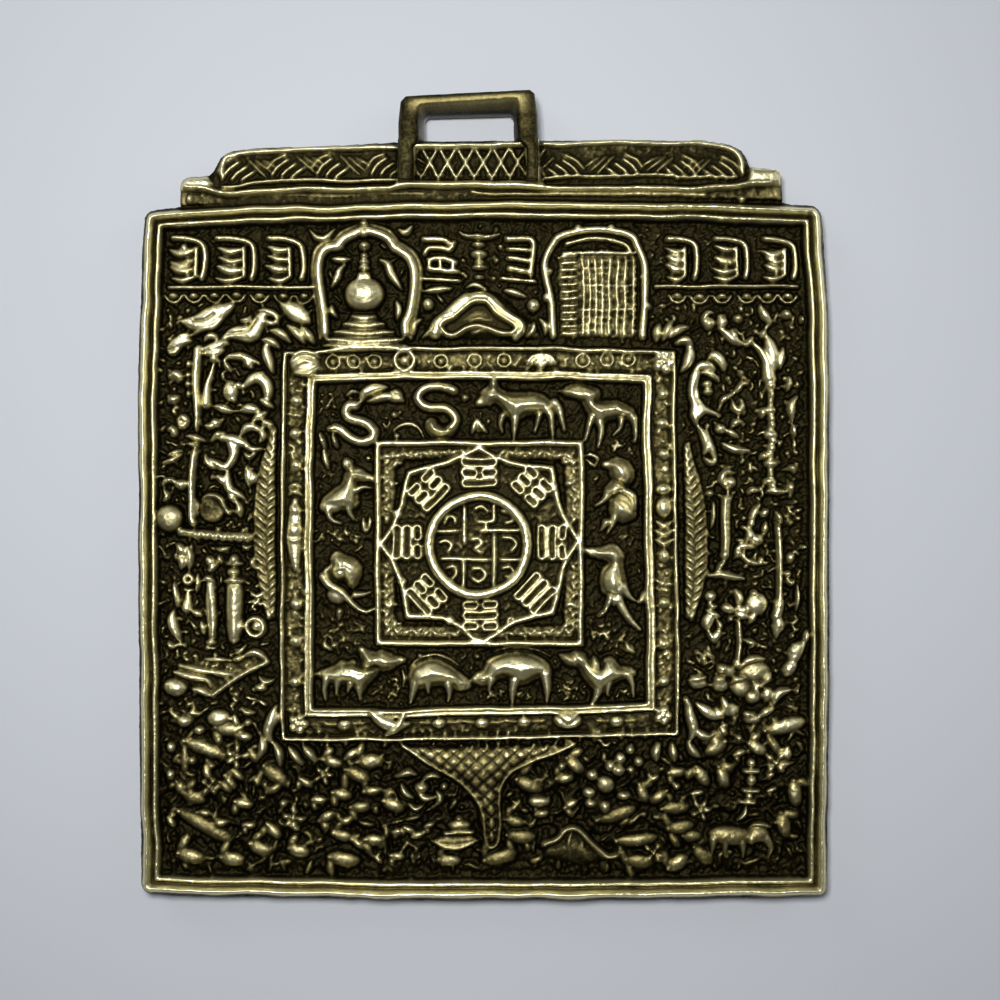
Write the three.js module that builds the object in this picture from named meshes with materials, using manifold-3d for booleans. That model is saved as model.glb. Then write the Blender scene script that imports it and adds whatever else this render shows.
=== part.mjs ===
// Cast brass calendar amulet: a square relief plaque with a strap loop on its top edge.
// Millimetres, +Z up, +X to the right as the face is seen, the face looks along -Y.
// The origin is on the underside of the loop's top bar, where the cord or strap bears.
//
// The real amulet is one lost-wax casting. It is modelled as the elements that its wax
// pattern is built up from: each lies flat on the ground plate, or on the element under it.
import * as THREE from 'three';
import { mergeVertices } from 'three/addons/utils/BufferGeometryUtils.js';
import Module from 'manifold-3d';

const wasm = await Module();
wasm.setup();

// Ground plate
const PANEL_WIDTH = 67.9;
const PANEL_HEIGHT = 68.8;
const SIDE_BOW = 0.6;
const END_BOW = 0.5;
const CORNER_RADIUS = 1.4;
const PLATE_THICKNESS = 2.0;
const BACK_CHAMFER = 0.35;

// Stepped head of the plaque: a ledge, then a rail, then the loop
const LEDGE_WIDTH = 59.8;
const LEDGE_HEIGHT = 3.0;
const LEDGE_RELIEF = 1.3;
const RAIL_WIDTH = 53.4;
const RAIL_HEIGHT = 3.1;
const RAIL_CORNER = 2.4;
const RAIL_RELIEF = 1.1;
const RAIL_CARVING = 0.4;
const HEAD_OFFSET = -0.3;

// Strap loop
const LOOP_OPENING_WIDTH = 9.6;
const LOOP_OPENING_HEIGHT = 3.6;
const LOOP_LEG_WIDTH = 2.2;
const LOOP_BAR_THICKNESS = 1.1;
const LOOP_CORNER = 0.8;
const LOOP_OFFSET = -1.5;
const STRAP_RELIEF = 1.6;
const LOOP_PANEL_RELIEF = 0.8;

// Rim
const RIM_WIDTH = 2.0;
const RIM_RELIEF = 1.5;

// Square shell frame, and the border, star and medallion inside it
const SHELL_WIDTH = 39.9;
const SHELL_HEIGHT = 39.7;
const SHELL_BAND = 3.4;
const SHELL_OFFSET_U = -0.45;
const SHELL_OFFSET_V = 0.65;
const SHELL_RELIEF = 1.1;
const STUD_RELIEF = 1.3;
const BORDER_WIDTH = 20.9;
const BORDER_HEIGHT = 20.6;
const BORDER_RELIEF = 0.8;
const STAR_RELIEF = 0.45;
const TABLET_RELIEF = 0.5;
const MEDALLION_RADIUS = 5.3;
const MEDALLION_RELIEF = 0.6;

// How far the figures stand above the plate
const ANIMAL_RELIEF = 1.5;
const HEAD_RELIEF = 1.7;
const PAW_RELIEF = 1.4;
const FLANK_RELIEF = 0.9;
const TAIL_RELIEF = 0.9;
const NICHE_RELIEF = 0.9;
const STUPA_RELIEF = 1.5;
const INSCRIPTION_RELIEF = 0.8;
const ROW_RELIEF = 0.9;
const OFFERING_RELIEF = 1.3;
const ORNAMENT_RELIEF = 0.8;

// Clearance between neighbours, and how deep a fused detail reaches into what carries it
const CLEARANCE = 0.3;
const SINK = 0.2;

// Places that follow from the driving dimensions, in face coordinates u (right), v (up)
const PANEL_TOP = PANEL_HEIGHT / 2;
const LEDGE_TOP = PANEL_TOP + LEDGE_HEIGHT;
const RAIL_TOP = LEDGE_TOP + RAIL_HEIGHT;
const BEARING_V = RAIL_TOP + LOOP_OPENING_HEIGHT;
const LOOP_HALF_OPENING = LOOP_OPENING_WIDTH / 2;
const LOOP_HALF_WIDTH = LOOP_HALF_OPENING + LOOP_LEG_WIDTH;
const LEDGE_LOW = PANEL_TOP + END_BOW + CLEARANCE;
const LEDGE_HIGH = LEDGE_LOW + 0.35 * LEDGE_HEIGHT;
const RAIL_LOW = LEDGE_HIGH + CLEARANCE;
const SHELL_LEFT = SHELL_OFFSET_U - SHELL_WIDTH / 2;
const SHELL_RIGHT = SHELL_OFFSET_U + SHELL_WIDTH / 2;
const SHELL_LOW = SHELL_OFFSET_V - SHELL_HEIGHT / 2;
const SHELL_HIGH = SHELL_OFFSET_V + SHELL_HEIGHT / 2;
const RIM_INNER_SIDE = PANEL_WIDTH / 2 - RIM_WIDTH;
const RIM_INNER_END = PANEL_TOP - RIM_WIDTH;

// The face is drawn on guide lines. Each guide has the place where it is drawn and the place
// that the driving dimensions give it, and what lies between two guides moves with them.
const DRAWN = {
  rim: { side: 31.95, end: 32.4 },
  shell: { left: -20.4, right: 19.5, low: -19.2, high: 20.5, band: 3.4 },
  border: { left: -10.9, right: 10.0, low: -9.6, high: 11.0, band: 0.65 },
  centre: { u: -0.45, v: 0.7 },
};

const GUIDES_U = [
  [-DRAWN.rim.side, -RIM_INNER_SIDE],
  [DRAWN.shell.left, SHELL_LEFT],
  [DRAWN.shell.left + DRAWN.shell.band, SHELL_LEFT + SHELL_BAND],
  [DRAWN.border.left, SHELL_OFFSET_U - BORDER_WIDTH / 2],
  [DRAWN.border.right, SHELL_OFFSET_U + BORDER_WIDTH / 2],
  [DRAWN.shell.right - DRAWN.shell.band, SHELL_RIGHT - SHELL_BAND],
  [DRAWN.shell.right, SHELL_RIGHT],
  [DRAWN.rim.side, RIM_INNER_SIDE],
];
const GUIDES_V = [
  [-DRAWN.rim.end, -RIM_INNER_END],
  [DRAWN.shell.low, SHELL_LOW],
  [DRAWN.shell.low + DRAWN.shell.band, SHELL_LOW + SHELL_BAND],
  [DRAWN.border.low, SHELL_OFFSET_V + 0.05 - BORDER_HEIGHT / 2],
  [DRAWN.border.high, SHELL_OFFSET_V + 0.05 + BORDER_HEIGHT / 2],
  [DRAWN.shell.high - DRAWN.shell.band, SHELL_HIGH - SHELL_BAND],
  [DRAWN.shell.high, SHELL_HIGH],
  [DRAWN.rim.end, RIM_INNER_END],
];

function onGuides(value, guides) {
  let k = 0;
  while (k < guides.length - 2 && value > guides[k + 1][0]) k += 1;
  const [drawn0, built0] = guides[k];
  const [drawn1, built1] = guides[k + 1];
  if (value < drawn0) return built0 + (value - drawn0);
  if (value > drawn1) return built1 + (value - drawn1);
  return built0 + ((value - drawn0) * (built1 - built0)) / (drawn1 - drawn0);
}

// Outlines, as lists of [u, v]

function arc(u, v, r, from, to, steps) {
  const start = THREE.MathUtils.degToRad(from);
  const end = THREE.MathUtils.degToRad(to);
  const curve = new THREE.EllipseCurve(u, v, r, r, start, end, to < from);
  return curve.getPoints(steps).map((p) => [p.x, p.y]);
}

function ellipse(u, v, ru, rv = ru, turn = 0, sides = 8) {
  const tilt = THREE.MathUtils.degToRad(turn);
  const curve = new THREE.EllipseCurve(u, v, ru, rv, 0, 2 * Math.PI, false, tilt);
  return curve.getPoints(sides).slice(0, sides).map((p) => [p.x, p.y]);
}

function smooth(points, steps) {
  const curve = new THREE.SplineCurve(points.map(([u, v]) => new THREE.Vector2(u, v)));
  return curve.getPoints((points.length - 1) * steps).map((p) => [p.x, p.y]);
}

function rectangle(u0, v0, u1, v1) {
  return [[u0, v0], [u1, v0], [u1, v1], [u0, v1]];
}

// The panel bows outwards between its corners, which are rounded or, at radius 0, sharp
function panelOutline(inset, radius) {
  const halfWidth = PANEL_WIDTH / 2 - inset;
  const halfHeight = PANEL_TOP - inset;
  return [0, 1, 2, 3].flatMap((quarter) => {
    const side = quarter < 2 ? 1 : -1;
    const end = quarter === 1 || quarter === 2 ? 1 : -1;
    const corner = [side * (halfWidth - radius), end * (halfHeight - radius)];
    const turned = radius > 0 ? arc(...corner, radius, 90 * quarter - 90, 90 * quarter, 3) : [corner];
    const bowed = [-0.8, -0.4, 0, 0.4, 0.8].map((t) => {
      const swell = 1 - t ** 4;
      if (quarter % 2 === 0) return [side * (halfWidth + SIDE_BOW * swell), side * t * halfHeight];
      return [-side * t * halfWidth, side * (halfHeight + END_BOW * swell)];
    });
    return [...turned, ...bowed];
  });
}

function steppedOutline(width, low, high, corner) {
  const right = HEAD_OFFSET + width / 2;
  const left = HEAD_OFFSET - width / 2;
  return [
    [left, low],
    [right, low],
    ...arc(right - corner, high - corner, corner, 0, 90, 3),
    ...arc(left + corner, high - corner, corner, 90, 180, 3),
  ];
}

// Solids, in face coordinates: u, v and the height h above the plate

function signedVolume(positions, index) {
  const [a, b, c] = [new THREE.Vector3(), new THREE.Vector3(), new THREE.Vector3()];
  let volume = 0;
  for (let i = 0; i < index.length; i += 3) {
    a.fromArray(positions, index[i] * 3);
    b.fromArray(positions, index[i + 1] * 3);
    c.fromArray(positions, index[i + 2] * 3);
    volume += a.dot(b.cross(c));
  }
  return volume;
}

function toSolid(geometry) {
  const bare = new THREE.BufferGeometry();
  bare.setAttribute('position', geometry.getAttribute('position').clone());
  if (geometry.index) bare.setIndex(geometry.index.clone());
  const merged = mergeVertices(bare, 1e-4);
  const corners = merged.index.array;
  const kept = [];
  for (let i = 0; i < corners.length; i += 3) {
    const [a, b, c] = [corners[i], corners[i + 1], corners[i + 2]];
    if (a !== b && b !== c && c !== a) kept.push(a, b, c);
  }
  const vertProperties = new Float32Array(merged.attributes.position.array);
  if (signedVolume(vertProperties, kept) < 0) kept.reverse();
  return new wasm.Manifold(new wasm.Mesh({ numProp: 3, vertProperties, triVerts: new Uint32Array(kept) }));
}

function join(solids) {
  return solids.reduce((whole, solid) => whole.add(solid));
}

function asGeometry(solid, map) {
  const { numProp, vertProperties, triVerts } = solid.getMesh();
  const positions = [];
  for (let i = 0; i < vertProperties.length; i += numProp) {
    positions.push(...map(vertProperties[i], vertProperties[i + 1], vertProperties[i + 2]));
  }
  const geometry = new THREE.BufferGeometry();
  geometry.setAttribute('position', new THREE.Float32BufferAttribute(positions, 3));
  geometry.setIndex(new THREE.BufferAttribute(new Uint32Array(triVerts), 1));
  return geometry;
}

function guided(solid) {
  return toSolid(asGeometry(solid, (u, v, h) => [onGuides(u, GUIDES_U), onGuides(v, GUIDES_V), h]));
}

// A tube of rings, all with the same number of points, closed at each end or joined end to end
function shell(rings, joined = false) {
  const n = rings[0].length;
  const index = [];
  for (let i = 0; i < rings.length - (joined ? 0 : 1); i += 1) {
    const next = ((i + 1) % rings.length) * n;
    for (let k = 0; k < n; k += 1) {
      const beside = (k + 1) % n;
      index.push(i * n + k, i * n + beside, next + beside, i * n + k, next + beside, next + k);
    }
  }
  const last = (rings.length - 1) * n;
  for (let k = 1; k < n - 1 && !joined; k += 1) index.push(0, k + 1, k, last, last + k, last + k + 1);
  const geometry = new THREE.BufferGeometry();
  geometry.setAttribute('position', new THREE.Float32BufferAttribute(rings.flat(2), 3));
  geometry.setIndex(index);
  return toSolid(geometry);
}

// A swelling over an outline: each profile entry is [share of the outline, share of the height]
const ROUNDED = [[1, 0], [0.86, 0.62], [0.45, 1]];
const BUTTON = [[1, 0], [0.6, 1]];

function mound(outline, top, base = 0, profile = ROUNDED) {
  const middle = [0, 1].map((axis) => outline.reduce((sum, p) => sum + p[axis], 0) / outline.length);
  return shell(profile.map(([spread, rise]) => outline.map(([u, v]) => [
    middle[0] + (u - middle[0]) * spread,
    middle[1] + (v - middle[1]) * spread,
    base + (top - base) * rise,
  ])));
}

function bead(u, v, r, top, base = 0) {
  return mound(ellipse(u, v, r, r, 30, 6), top, base, BUTTON);
}

function limb(u1, v1, r1, u2, v2, r2, top, base = 0) {
  const along = THREE.MathUtils.radToDeg(Math.atan2(v2 - v1, u2 - u1));
  const outline = [...arc(u1, v1, r1, along + 90, along + 270, 3), ...arc(u2, v2, r2, along - 90, along + 90, 3)];
  return mound(outline, top, base);
}

// A convex section of [offset, height] carried along a path; the offset is to its left
function sweep(path, section, joined = false, widthAt = () => 1) {
  const last = path.length - 1;
  const rings = path.map(([u, v], i) => {
    const before = path[i > 0 ? i - 1 : last];
    const after = path[i < last ? i + 1 : 0];
    const into = new THREE.Vector2(u - before[0], v - before[1]).normalize();
    const out = new THREE.Vector2(after[0] - u, after[1] - v).normalize();
    if (!joined && i === 0) into.copy(out);
    if (!joined && i === last) out.copy(into);
    const middle = into.add(out).normalize();
    const spread = widthAt(i / last) / Math.max(0.5, middle.dot(out));
    return section.map(([offset, h]) => [u - middle.y * offset * spread, v + middle.x * offset * spread, h]);
  });
  return shell(rings, joined);
}

function ridgeSection(width, top, base) {
  return [[-width / 2, base], [-width / 4, top], [width / 4, top], [width / 2, base]];
}

const EVEN = () => 1;
const LEAF = (t) => 0.25 + 0.75 * Math.sin(Math.PI * t);
const TAPER = (t) => 1 - 0.6 * t;
const SWELL = (t) => 0.7 + 0.5 * t;

function ridge(points, width, top, base = 0, widthAt = EVEN, steps = 2) {
  const path = points.length > 2 ? smooth(points, steps) : points;
  return sweep(path, ridgeSection(width, top, base), false, widthAt);
}

function leaf(u1, v1, u2, v2, width, top, base = 0) {
  const path = [0, 0.5, 1].map((t) => [u1 + (u2 - u1) * t, v1 + (v2 - v1) * t]);
  return sweep(path, ridgeSection(width, top, base), false, LEAF);
}

function ring(u, v, r, width, top, base = 0, sides = 8) {
  return sweep(ellipse(u, v, r, r, 0, sides), ridgeSection(width, top, base), true);
}

// A flat field with a chamfered edge; with its top below its base it is a field on the back
function slab(outline, top, base = 0, chamfer = 0.2) {
  const shape = new THREE.Shape(outline.map(([u, v]) => new THREE.Vector2(u, v)));
  const geometry = new THREE.ExtrudeGeometry(shape, {
    depth: 1,
    bevelSegments: 1,
    bevelThickness: 1,
    bevelSize: chamfer,
    bevelOffset: -chamfer,
  });
  const levels = [base, base, top - Math.sign(top - base) * chamfer, top];
  const position = geometry.getAttribute('position');
  for (let i = 0; i < position.count; i += 1) position.setZ(i, levels[Math.round(position.getZ(i)) + 1]);
  return toSolid(geometry);
}

function block(u0, v0, u1, v1, low, high) {
  const geometry = new THREE.BoxGeometry(u1 - u0, v1 - v0, high - low);
  geometry.translate((u0 + u1) / 2, (v0 + v1) / 2, (low + high) / 2);
  return toSolid(geometry);
}

// A turned form lying on its back: a profile of [radius, v], revolved about a line of constant u
function turned(u, profile, top, base = 0) {
  const widest = Math.max(...profile.map(([r]) => r));
  const geometry = new THREE.LatheGeometry(profile.map(([r, v]) => new THREE.Vector2(r, v)), 12);
  geometry.scale(1, 1, (top - base) / widest);
  geometry.translate(u, 0, base);
  const [low, high] = [profile[0][1] - 1, profile.at(-1)[1] + 1];
  return toSolid(geometry).subtract(block(u - widest - 1, low, u + widest + 1, high, 2 * base - top - 1, base));
}

// Scene

const PATINA = 0x51442a;
const WORN = 0x8f7641;
const POLISHED = 0xb3975a;

const amulet = new THREE.Group();
amulet.name = 'calendar_amulet';

function place(name, color, solid) {
  const geometry = asGeometry(solid, (u, v, h) => [u - LOOP_OFFSET, -h, v - BEARING_V]);
  geometry.computeVertexNormals();
  const mesh = new THREE.Mesh(geometry, new THREE.MeshStandardMaterial({ color, roughness: 0.42, metalness: 1 }));
  mesh.name = name;
  amulet.add(mesh);
}

// Small ornaments cast on the ground between the figures

function scroll(points, width) {
  return ridge(points, width, ORNAMENT_RELIEF, -SINK, EVEN, 1);
}

function drop(u, v, r) {
  return bead(u, v, r, ORNAMENT_RELIEF, -SINK);
}

function petal(u1, v1, u2, v2, width) {
  return leaf(u1, v1, u2, v2, width, ORNAMENT_RELIEF, -SINK);
}

function upperLeftOrnaments() {
  return [
    scroll([[-29.8, 22.6], [-27.9, 22.9], [-26.4, 23.7], [-25.2, 24.0]], 0.7),
    scroll([[-26.0, 21.4], [-24.8, 21.7], [-23.9, 22.7], [-22.6, 23.3]], 0.7),
    scroll([[-26.3, 13.9], [-23.6, 13.9]], 0.6),
    scroll([[-23.9, 16.2], [-23.0, 17.0], [-22.0, 17.0], [-21.5, 15.8], [-21.6, 14.8]], 0.6),
    scroll([[-24.3, 11.0], [-24.1, 12.0], [-23.3, 12.4], [-22.8, 11.8], [-22.9, 10.6]], 0.6),
    scroll([[-27.3, 9.9], [-26.9, 8.7], [-25.8, 8.4], [-25.0, 9.2], [-25.2, 10.7]], 0.7),
    scroll([[-25.7, 7.6], [-25.5, 6.7], [-24.4, 5.5]], 0.5),
    scroll([[-29.2, 9.6], [-29.2, 4.0]], 0.6),
    scroll([[-31.6, 6.4], [-31.1, 7.0], [-30.4, 6.4]], 0.5),
    petal(-31.8, 9.8, -30.2, 9.0, 0.8),
    petal(-23.4, 8.3, -23.4, 6.5, 0.7),
    drop(-30.9, 17.0, 0.6),
    drop(-30.9, 15.0, 0.6),
    drop(-25.2, 15.8, 0.8),
    drop(-27.0, 12.4, 0.7),
    drop(-30.1, 12.7, 0.5),
    drop(-31.1, 11.6, 0.5),
  ];
}

function lowerLeftOrnaments() {
  return [
    scroll([[-29.4, -0.2], [-29.4, -2.2]], 0.6),
    drop(-29.5, -2.9, 0.5),
    scroll([[-29.5, -3.6], [-29.5, -5.6]], 0.5),
    scroll([[-30.9, -0.4], [-30.8, -1.9]], 0.7),
    scroll([[-31.2, -3.3], [-30.9, -4.6], [-31.0, -6.4], [-30.6, -8.6]], 0.6),
    drop(-30.5, -10.2, 0.45),
    drop(-27.3, -1.2, 0.5),
    drop(-27.3, -3.2, 0.8),
    scroll([[-27.2, -4.8], [-27.1, -6.4], [-27.1, -8.4]], 0.9),
    drop(-27.1, -9.3, 0.55),
    drop(-22.8, -4.9, 0.55),
    ring(-22.4, -7.7, 0.8, 0.5, ORNAMENT_RELIEF, -SINK, 6),
    drop(-22.4, -7.7, 0.35),
    scroll([[-27.4, -11.0], [-24.9, -10.9], [-22.7, -10.2], [-21.6, -11.0], [-27.0, -14.3]], 0.6),
    scroll([[-30.3, -11.5], [-27.4, -12.2]], 0.5),
    scroll([[-31.0, -12.3], [-27.6, -13.3]], 0.5),
    drop(-31.0, -14.2, 0.8),
    drop(-28.2, -14.6, 0.6),
    drop(-22.4, -13.0, 0.5),
    drop(-23.4, -14.6, 0.4),
    drop(-22.5, -15.3, 0.4),
    drop(-30.1, -17.0, 0.7),
    petal(-28.5, -16.7, -28.2, -18.2, 0.8),
    mound(ellipse(-26.2, -16.5, 1.0), 1.1, -SINK),
    petal(-26.8, -17.9, -25.7, -18.8, 0.7),
    petal(-25.3, -18.3, -23.6, -18.0, 0.7),
    petal(-24.9, -19.3, -23.2, -19.0, 0.6),
    scroll([[-29.8, -19.1], [-28.5, -19.4], [-27.0, -20.1], [-25.9, -20.5]], 0.8),
    drop(-29.3, -21.0, 0.45),
    scroll([[-30.8, -22.9], [-30.5, -23.8], [-29.0, -24.2], [-27.9, -25.1]], 0.7),
    petal(-24.9, -21.8, -23.9, -22.9, 0.7),
    petal(-26.0, -22.6, -24.8, -23.8, 0.7),
    scroll([[-22.6, -21.4], [-21.4, -22.4], [-20.6, -23.6], [-21.8, -24.4]], 0.7),
    petal(-24.9, -25.0, -23.2, -25.6, 0.6),
    drop(-20.0, -25.5, 0.55),
    scroll([[-30.2, -26.1], [-29.3, -27.8], [-28.7, -28.8], [-27.0, -29.1], [-25.4, -28.8]], 0.8),
    petal(-31.5, -27.4, -30.7, -28.6, 0.6),
    petal(-24.1, -27.1, -22.7, -27.6, 0.7),
    scroll([[-21.7, -27.3], [-20.4, -28.6]], 0.6),
    drop(-18.8, -27.7, 0.55),
    petal(-18.6, -22.7, -17.2, -23.6, 0.6),
  ];
}

function lowerMiddleOrnaments() {
  return [
    scroll([[-16.2, -20.9], [-14.2, -21.6]], 0.7),
    drop(-15.6, -22.5, 0.5),
    petal(-13.7, -20.9, -12.3, -20.2, 0.6),
    scroll([[-13.2, -22.3], [-12.3, -21.6], [-11.0, -22.2], [-10.7, -23.0]], 0.6),
    scroll([[-15.1, -24.3], [-14.0, -24.1], [-13.2, -24.6]], 0.5),
    scroll([[-12.4, -25.0], [-11.5, -24.2], [-10.4, -24.5]], 0.7),
    petal(-16.6, -27.1, -15.0, -26.2, 0.6),
    petal(-14.4, -27.3, -12.9, -26.7, 0.5),
    scroll([[-15.0, -28.4], [-13.9, -28.5], [-13.0, -29.3], [-12.2, -29.7]], 0.8),
    scroll([[-11.8, -28.9], [-10.8, -28.5], [-9.9, -28.9]], 0.7),
    petal(-9.0, -27.2, -7.6, -26.9, 0.6),
    petal(-8.1, -28.2, -6.9, -28.6, 0.6),
    petal(-6.8, -27.5, -5.5, -27.1, 0.6),
    petal(-9.3, -30.5, -7.8, -30.5, 0.6),
    drop(-4.3, -31.0, 0.4),
    scroll([[2.1, -27.0], [4.0, -27.3]], 0.5),
    scroll([[2.3, -28.6], [4.6, -28.7]], 0.6),
    scroll([[0.6, -31.0], [1.8, -30.6], [3.1, -30.4]], 0.5),
    scroll([[3.3, -23.3], [4.6, -23.4], [5.6, -24.3]], 0.7),
    mound(ellipse(5.0, -25.5, 1.1, 0.6), ORNAMENT_RELIEF, -SINK),
    drop(7.9, -22.4, 0.6),
    petal(8.8, -20.6, 9.9, -21.7, 0.8),
    scroll([[11.2, -27.1], [12.4, -27.5], [13.4, -27.4], [14.3, -26.4]], 0.5),
    scroll([[13.9, -29.1], [14.7, -28.8], [15.4, -29.2], [17.1, -29.0]], 0.7),
    scroll([[16.1, -23.5], [16.7, -24.8], [17.6, -24.9], [18.2, -24.1]], 0.5),
    petal(15.8, -21.6, 17.0, -22.4, 0.6),
    scroll([[17.8, -26.0], [20.2, -25.9]], 0.5),
    scroll([[18.4, -27.9], [19.6, -27.6], [20.8, -27.5]], 0.5),
    petal(18.4, -31.5, 20.2, -30.7, 0.8),
  ];
}

function lowerRightOrnaments() {
  return [
    scroll([[22.0, -2.6], [24.0, -2.4], [25.6, -2.7]], 0.7),
    drop(26.8, 0.6, 0.65),
    drop(22.6, -4.8, 0.55),
    petal(22.2, -6.4, 23.0, -8.8, 0.7),
    scroll([[24.7, -4.0], [25.0, -5.0], [25.6, -5.5]], 0.5),
    scroll([[25.4, -7.1], [25.4, -10.7]], 0.5),
    petal(26.4, -9.2, 28.1, -9.9, 0.6),
    drop(30.9, -0.9, 0.5),
    drop(30.7, -2.7, 0.55),
    scroll([[31.4, -4.0], [31.3, -6.0]], 0.5),
    scroll([[31.7, -8.2], [31.0, -9.9], [31.0, -11.2], [30.4, -12.3]], 0.7),
    petal(21.0, -10.6, 22.2, -11.9, 0.7),
    petal(22.6, -10.4, 23.3, -11.5, 0.6),
    petal(22.0, -13.3, 23.0, -13.0, 0.5),
    mound(ellipse(24.4, -13.1, 0.8), 1.1, -SINK),
    ring(26.6, -13.4, 0.8, 0.5, ORNAMENT_RELIEF, -SINK, 6),
    scroll([[25.6, -11.8], [26.4, -11.2], [27.8, -11.2]], 0.6),
    petal(28.3, -13.5, 28.9, -12.5, 0.6),
    petal(23.2, -15.2, 24.1, -16.8, 0.8),
    petal(24.7, -15.0, 25.3, -16.8, 0.7),
    petal(26.0, -16.1, 27.5, -16.8, 0.7),
    scroll([[28.8, -15.9], [29.3, -14.6], [30.6, -14.0]], 0.5),
    scroll([[24.0, -18.0], [24.2, -19.0], [23.6, -20.0], [22.4, -20.5]], 0.8),
    scroll([[28.0, -18.1], [29.4, -17.7], [31.5, -17.6]], 0.6),
    drop(25.6, -18.7, 0.45),
    petal(26.6, -19.3, 28.3, -20.1, 0.6),
    scroll([[30.4, -19.7], [30.4, -21.1]], 0.5),
    scroll([[26.0, -22.0], [27.4, -22.0]], 0.7),
    scroll([[26.0, -23.7], [27.4, -23.8]], 0.6),
    scroll([[26.7, -21.3], [26.7, -24.9], [25.4, -26.5]], 0.5),
    drop(28.9, -22.4, 0.4),
    drop(28.9, -24.0, 0.5),
    drop(19.3, -23.5, 0.5),
    drop(21.4, -24.3, 0.5),
    drop(18.5, -22.4, 0.45),
  ];
}

function upperRightOrnaments() {
  return [
    drop(22.6, 22.5, 0.6),
    scroll([[23.9, 23.1], [24.8, 21.8], [25.7, 20.7]], 0.6),
    scroll([[26.8, 20.8], [27.6, 19.4], [28.1, 18.2]], 0.6),
    petal(27.5, 24.2, 28.6, 22.9, 0.7),
    petal(29.6, 20.1, 29.3, 18.4, 0.6),
    drop(30.1, 23.5, 0.5),
    scroll([[21.3, 17.5], [21.3, 15.9], [22.2, 14.2], [23.4, 13.3]], 0.5),
    petal(23.7, 12.1, 25.1, 11.3, 0.6),
    petal(24.2, 10.4, 26.2, 10.0, 0.6),
    scroll([[30.7, 14.2], [31.0, 10.4]], 0.4),
    drop(30.9, 6.9, 0.45),
    drop(24.1, 6.9, 0.6),
    petal(27.3, 4.4, 26.6, 3.0, 0.6),
    drop(-5.7, 24.5, 0.5),
    drop(5.1, 24.4, 0.5),
    petal(-4.9, 25.5, -3.4, 26.1, 0.5),
    petal(2.4, 26.0, 3.9, 25.5, 0.5),
  ];
}

function animalFieldOrnaments() {
  return [
    drop(-1.6, 15.1, 0.4),
    scroll([[-1.0, 12.1], [-0.6, 13.3], [0.1, 12.2]], 0.5),
    drop(-8.8, 13.9, 0.4),
    petal(-9.2, 12.0, -7.6, 12.6, 0.6),
    scroll([[7.8, 14.0], [8.1, 12.7]], 0.4),
    drop(11.3, 9.4, 0.6),
    mound(ellipse(11.5, -8.0, 0.8, 0.7), ORNAMENT_RELIEF, -SINK),
    drop(14.9, -9.6, 0.55),
    drop(-16.0, -9.4, 0.4),
    drop(-14.9, -9.5, 0.4),
    drop(-16.1, -7.7, 0.45),
    mound(ellipse(-12.2, 2.4, 0.7, 1.1), ORNAMENT_RELIEF, -SINK),
    scroll([[-16.2, 11.0], [-15.9, 10.0], [-15.7, 8.6]], 0.5),
  ];
}

function groundPlate() {
  const back = -PLATE_THICKNESS;
  const overlap = PANEL_TOP - 2;
  return join([
    slab(panelOutline(0, CORNER_RADIUS), back, 0, BACK_CHAMFER),
    slab(steppedOutline(LEDGE_WIDTH, overlap, LEDGE_TOP, 0.6), back, 0, BACK_CHAMFER),
    slab(steppedOutline(RAIL_WIDTH, overlap, RAIL_TOP, RAIL_CORNER), back, 0, BACK_CHAMFER),
    guided(join([
      ...upperLeftOrnaments(),
      ...lowerLeftOrnaments(),
      ...lowerMiddleOrnaments(),
      ...lowerRightOrnaments(),
      ...upperRightOrnaments(),
      ...animalFieldOrnaments(),
    ])),
  ]);
}

// Rim: two raised lines with a hollow between them, cut to the rounded corners of the panel
function rimFrame() {
  const profile = [[0, 0], [0.22, 0.7], [0.38, 1], [0.56, 0.85], [0.68, 0.6], [0.84, 0.9], [0.94, 0.75], [1, 0]];
  const section = profile.map(([across, rise]) => [across * (RIM_WIDTH - 0.15), rise * RIM_RELIEF]);
  const cutter = slab(panelOutline(0.1, CORNER_RADIUS), 2 * RIM_RELIEF, -1, 0.01);
  return sweep(panelOutline(0.15, 0), section, true).intersect(cutter);
}

// Head of the plaque

function lowerLedge() {
  const [left, right] = [HEAD_OFFSET - LEDGE_WIDTH / 2 + 0.2, HEAD_OFFSET + LEDGE_WIDTH / 2 - 0.2];
  const [inLeft, inRight] = [HEAD_OFFSET - RAIL_WIDTH / 2 - CLEARANCE, HEAD_OFFSET + RAIL_WIDTH / 2 + CLEARANCE];
  const high = LEDGE_TOP - 0.15;
  const outline = [
    [left, LEDGE_LOW], [right, LEDGE_LOW], [right, high - 0.5], [right - 0.5, high],
    [inRight, high], [inRight, LEDGE_HIGH], [inLeft, LEDGE_HIGH],
    [inLeft, high], [left + 0.5, high], [left, high - 0.5],
  ];
  return slab(outline, LEDGE_RELIEF, 0, 0.3);
}

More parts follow.
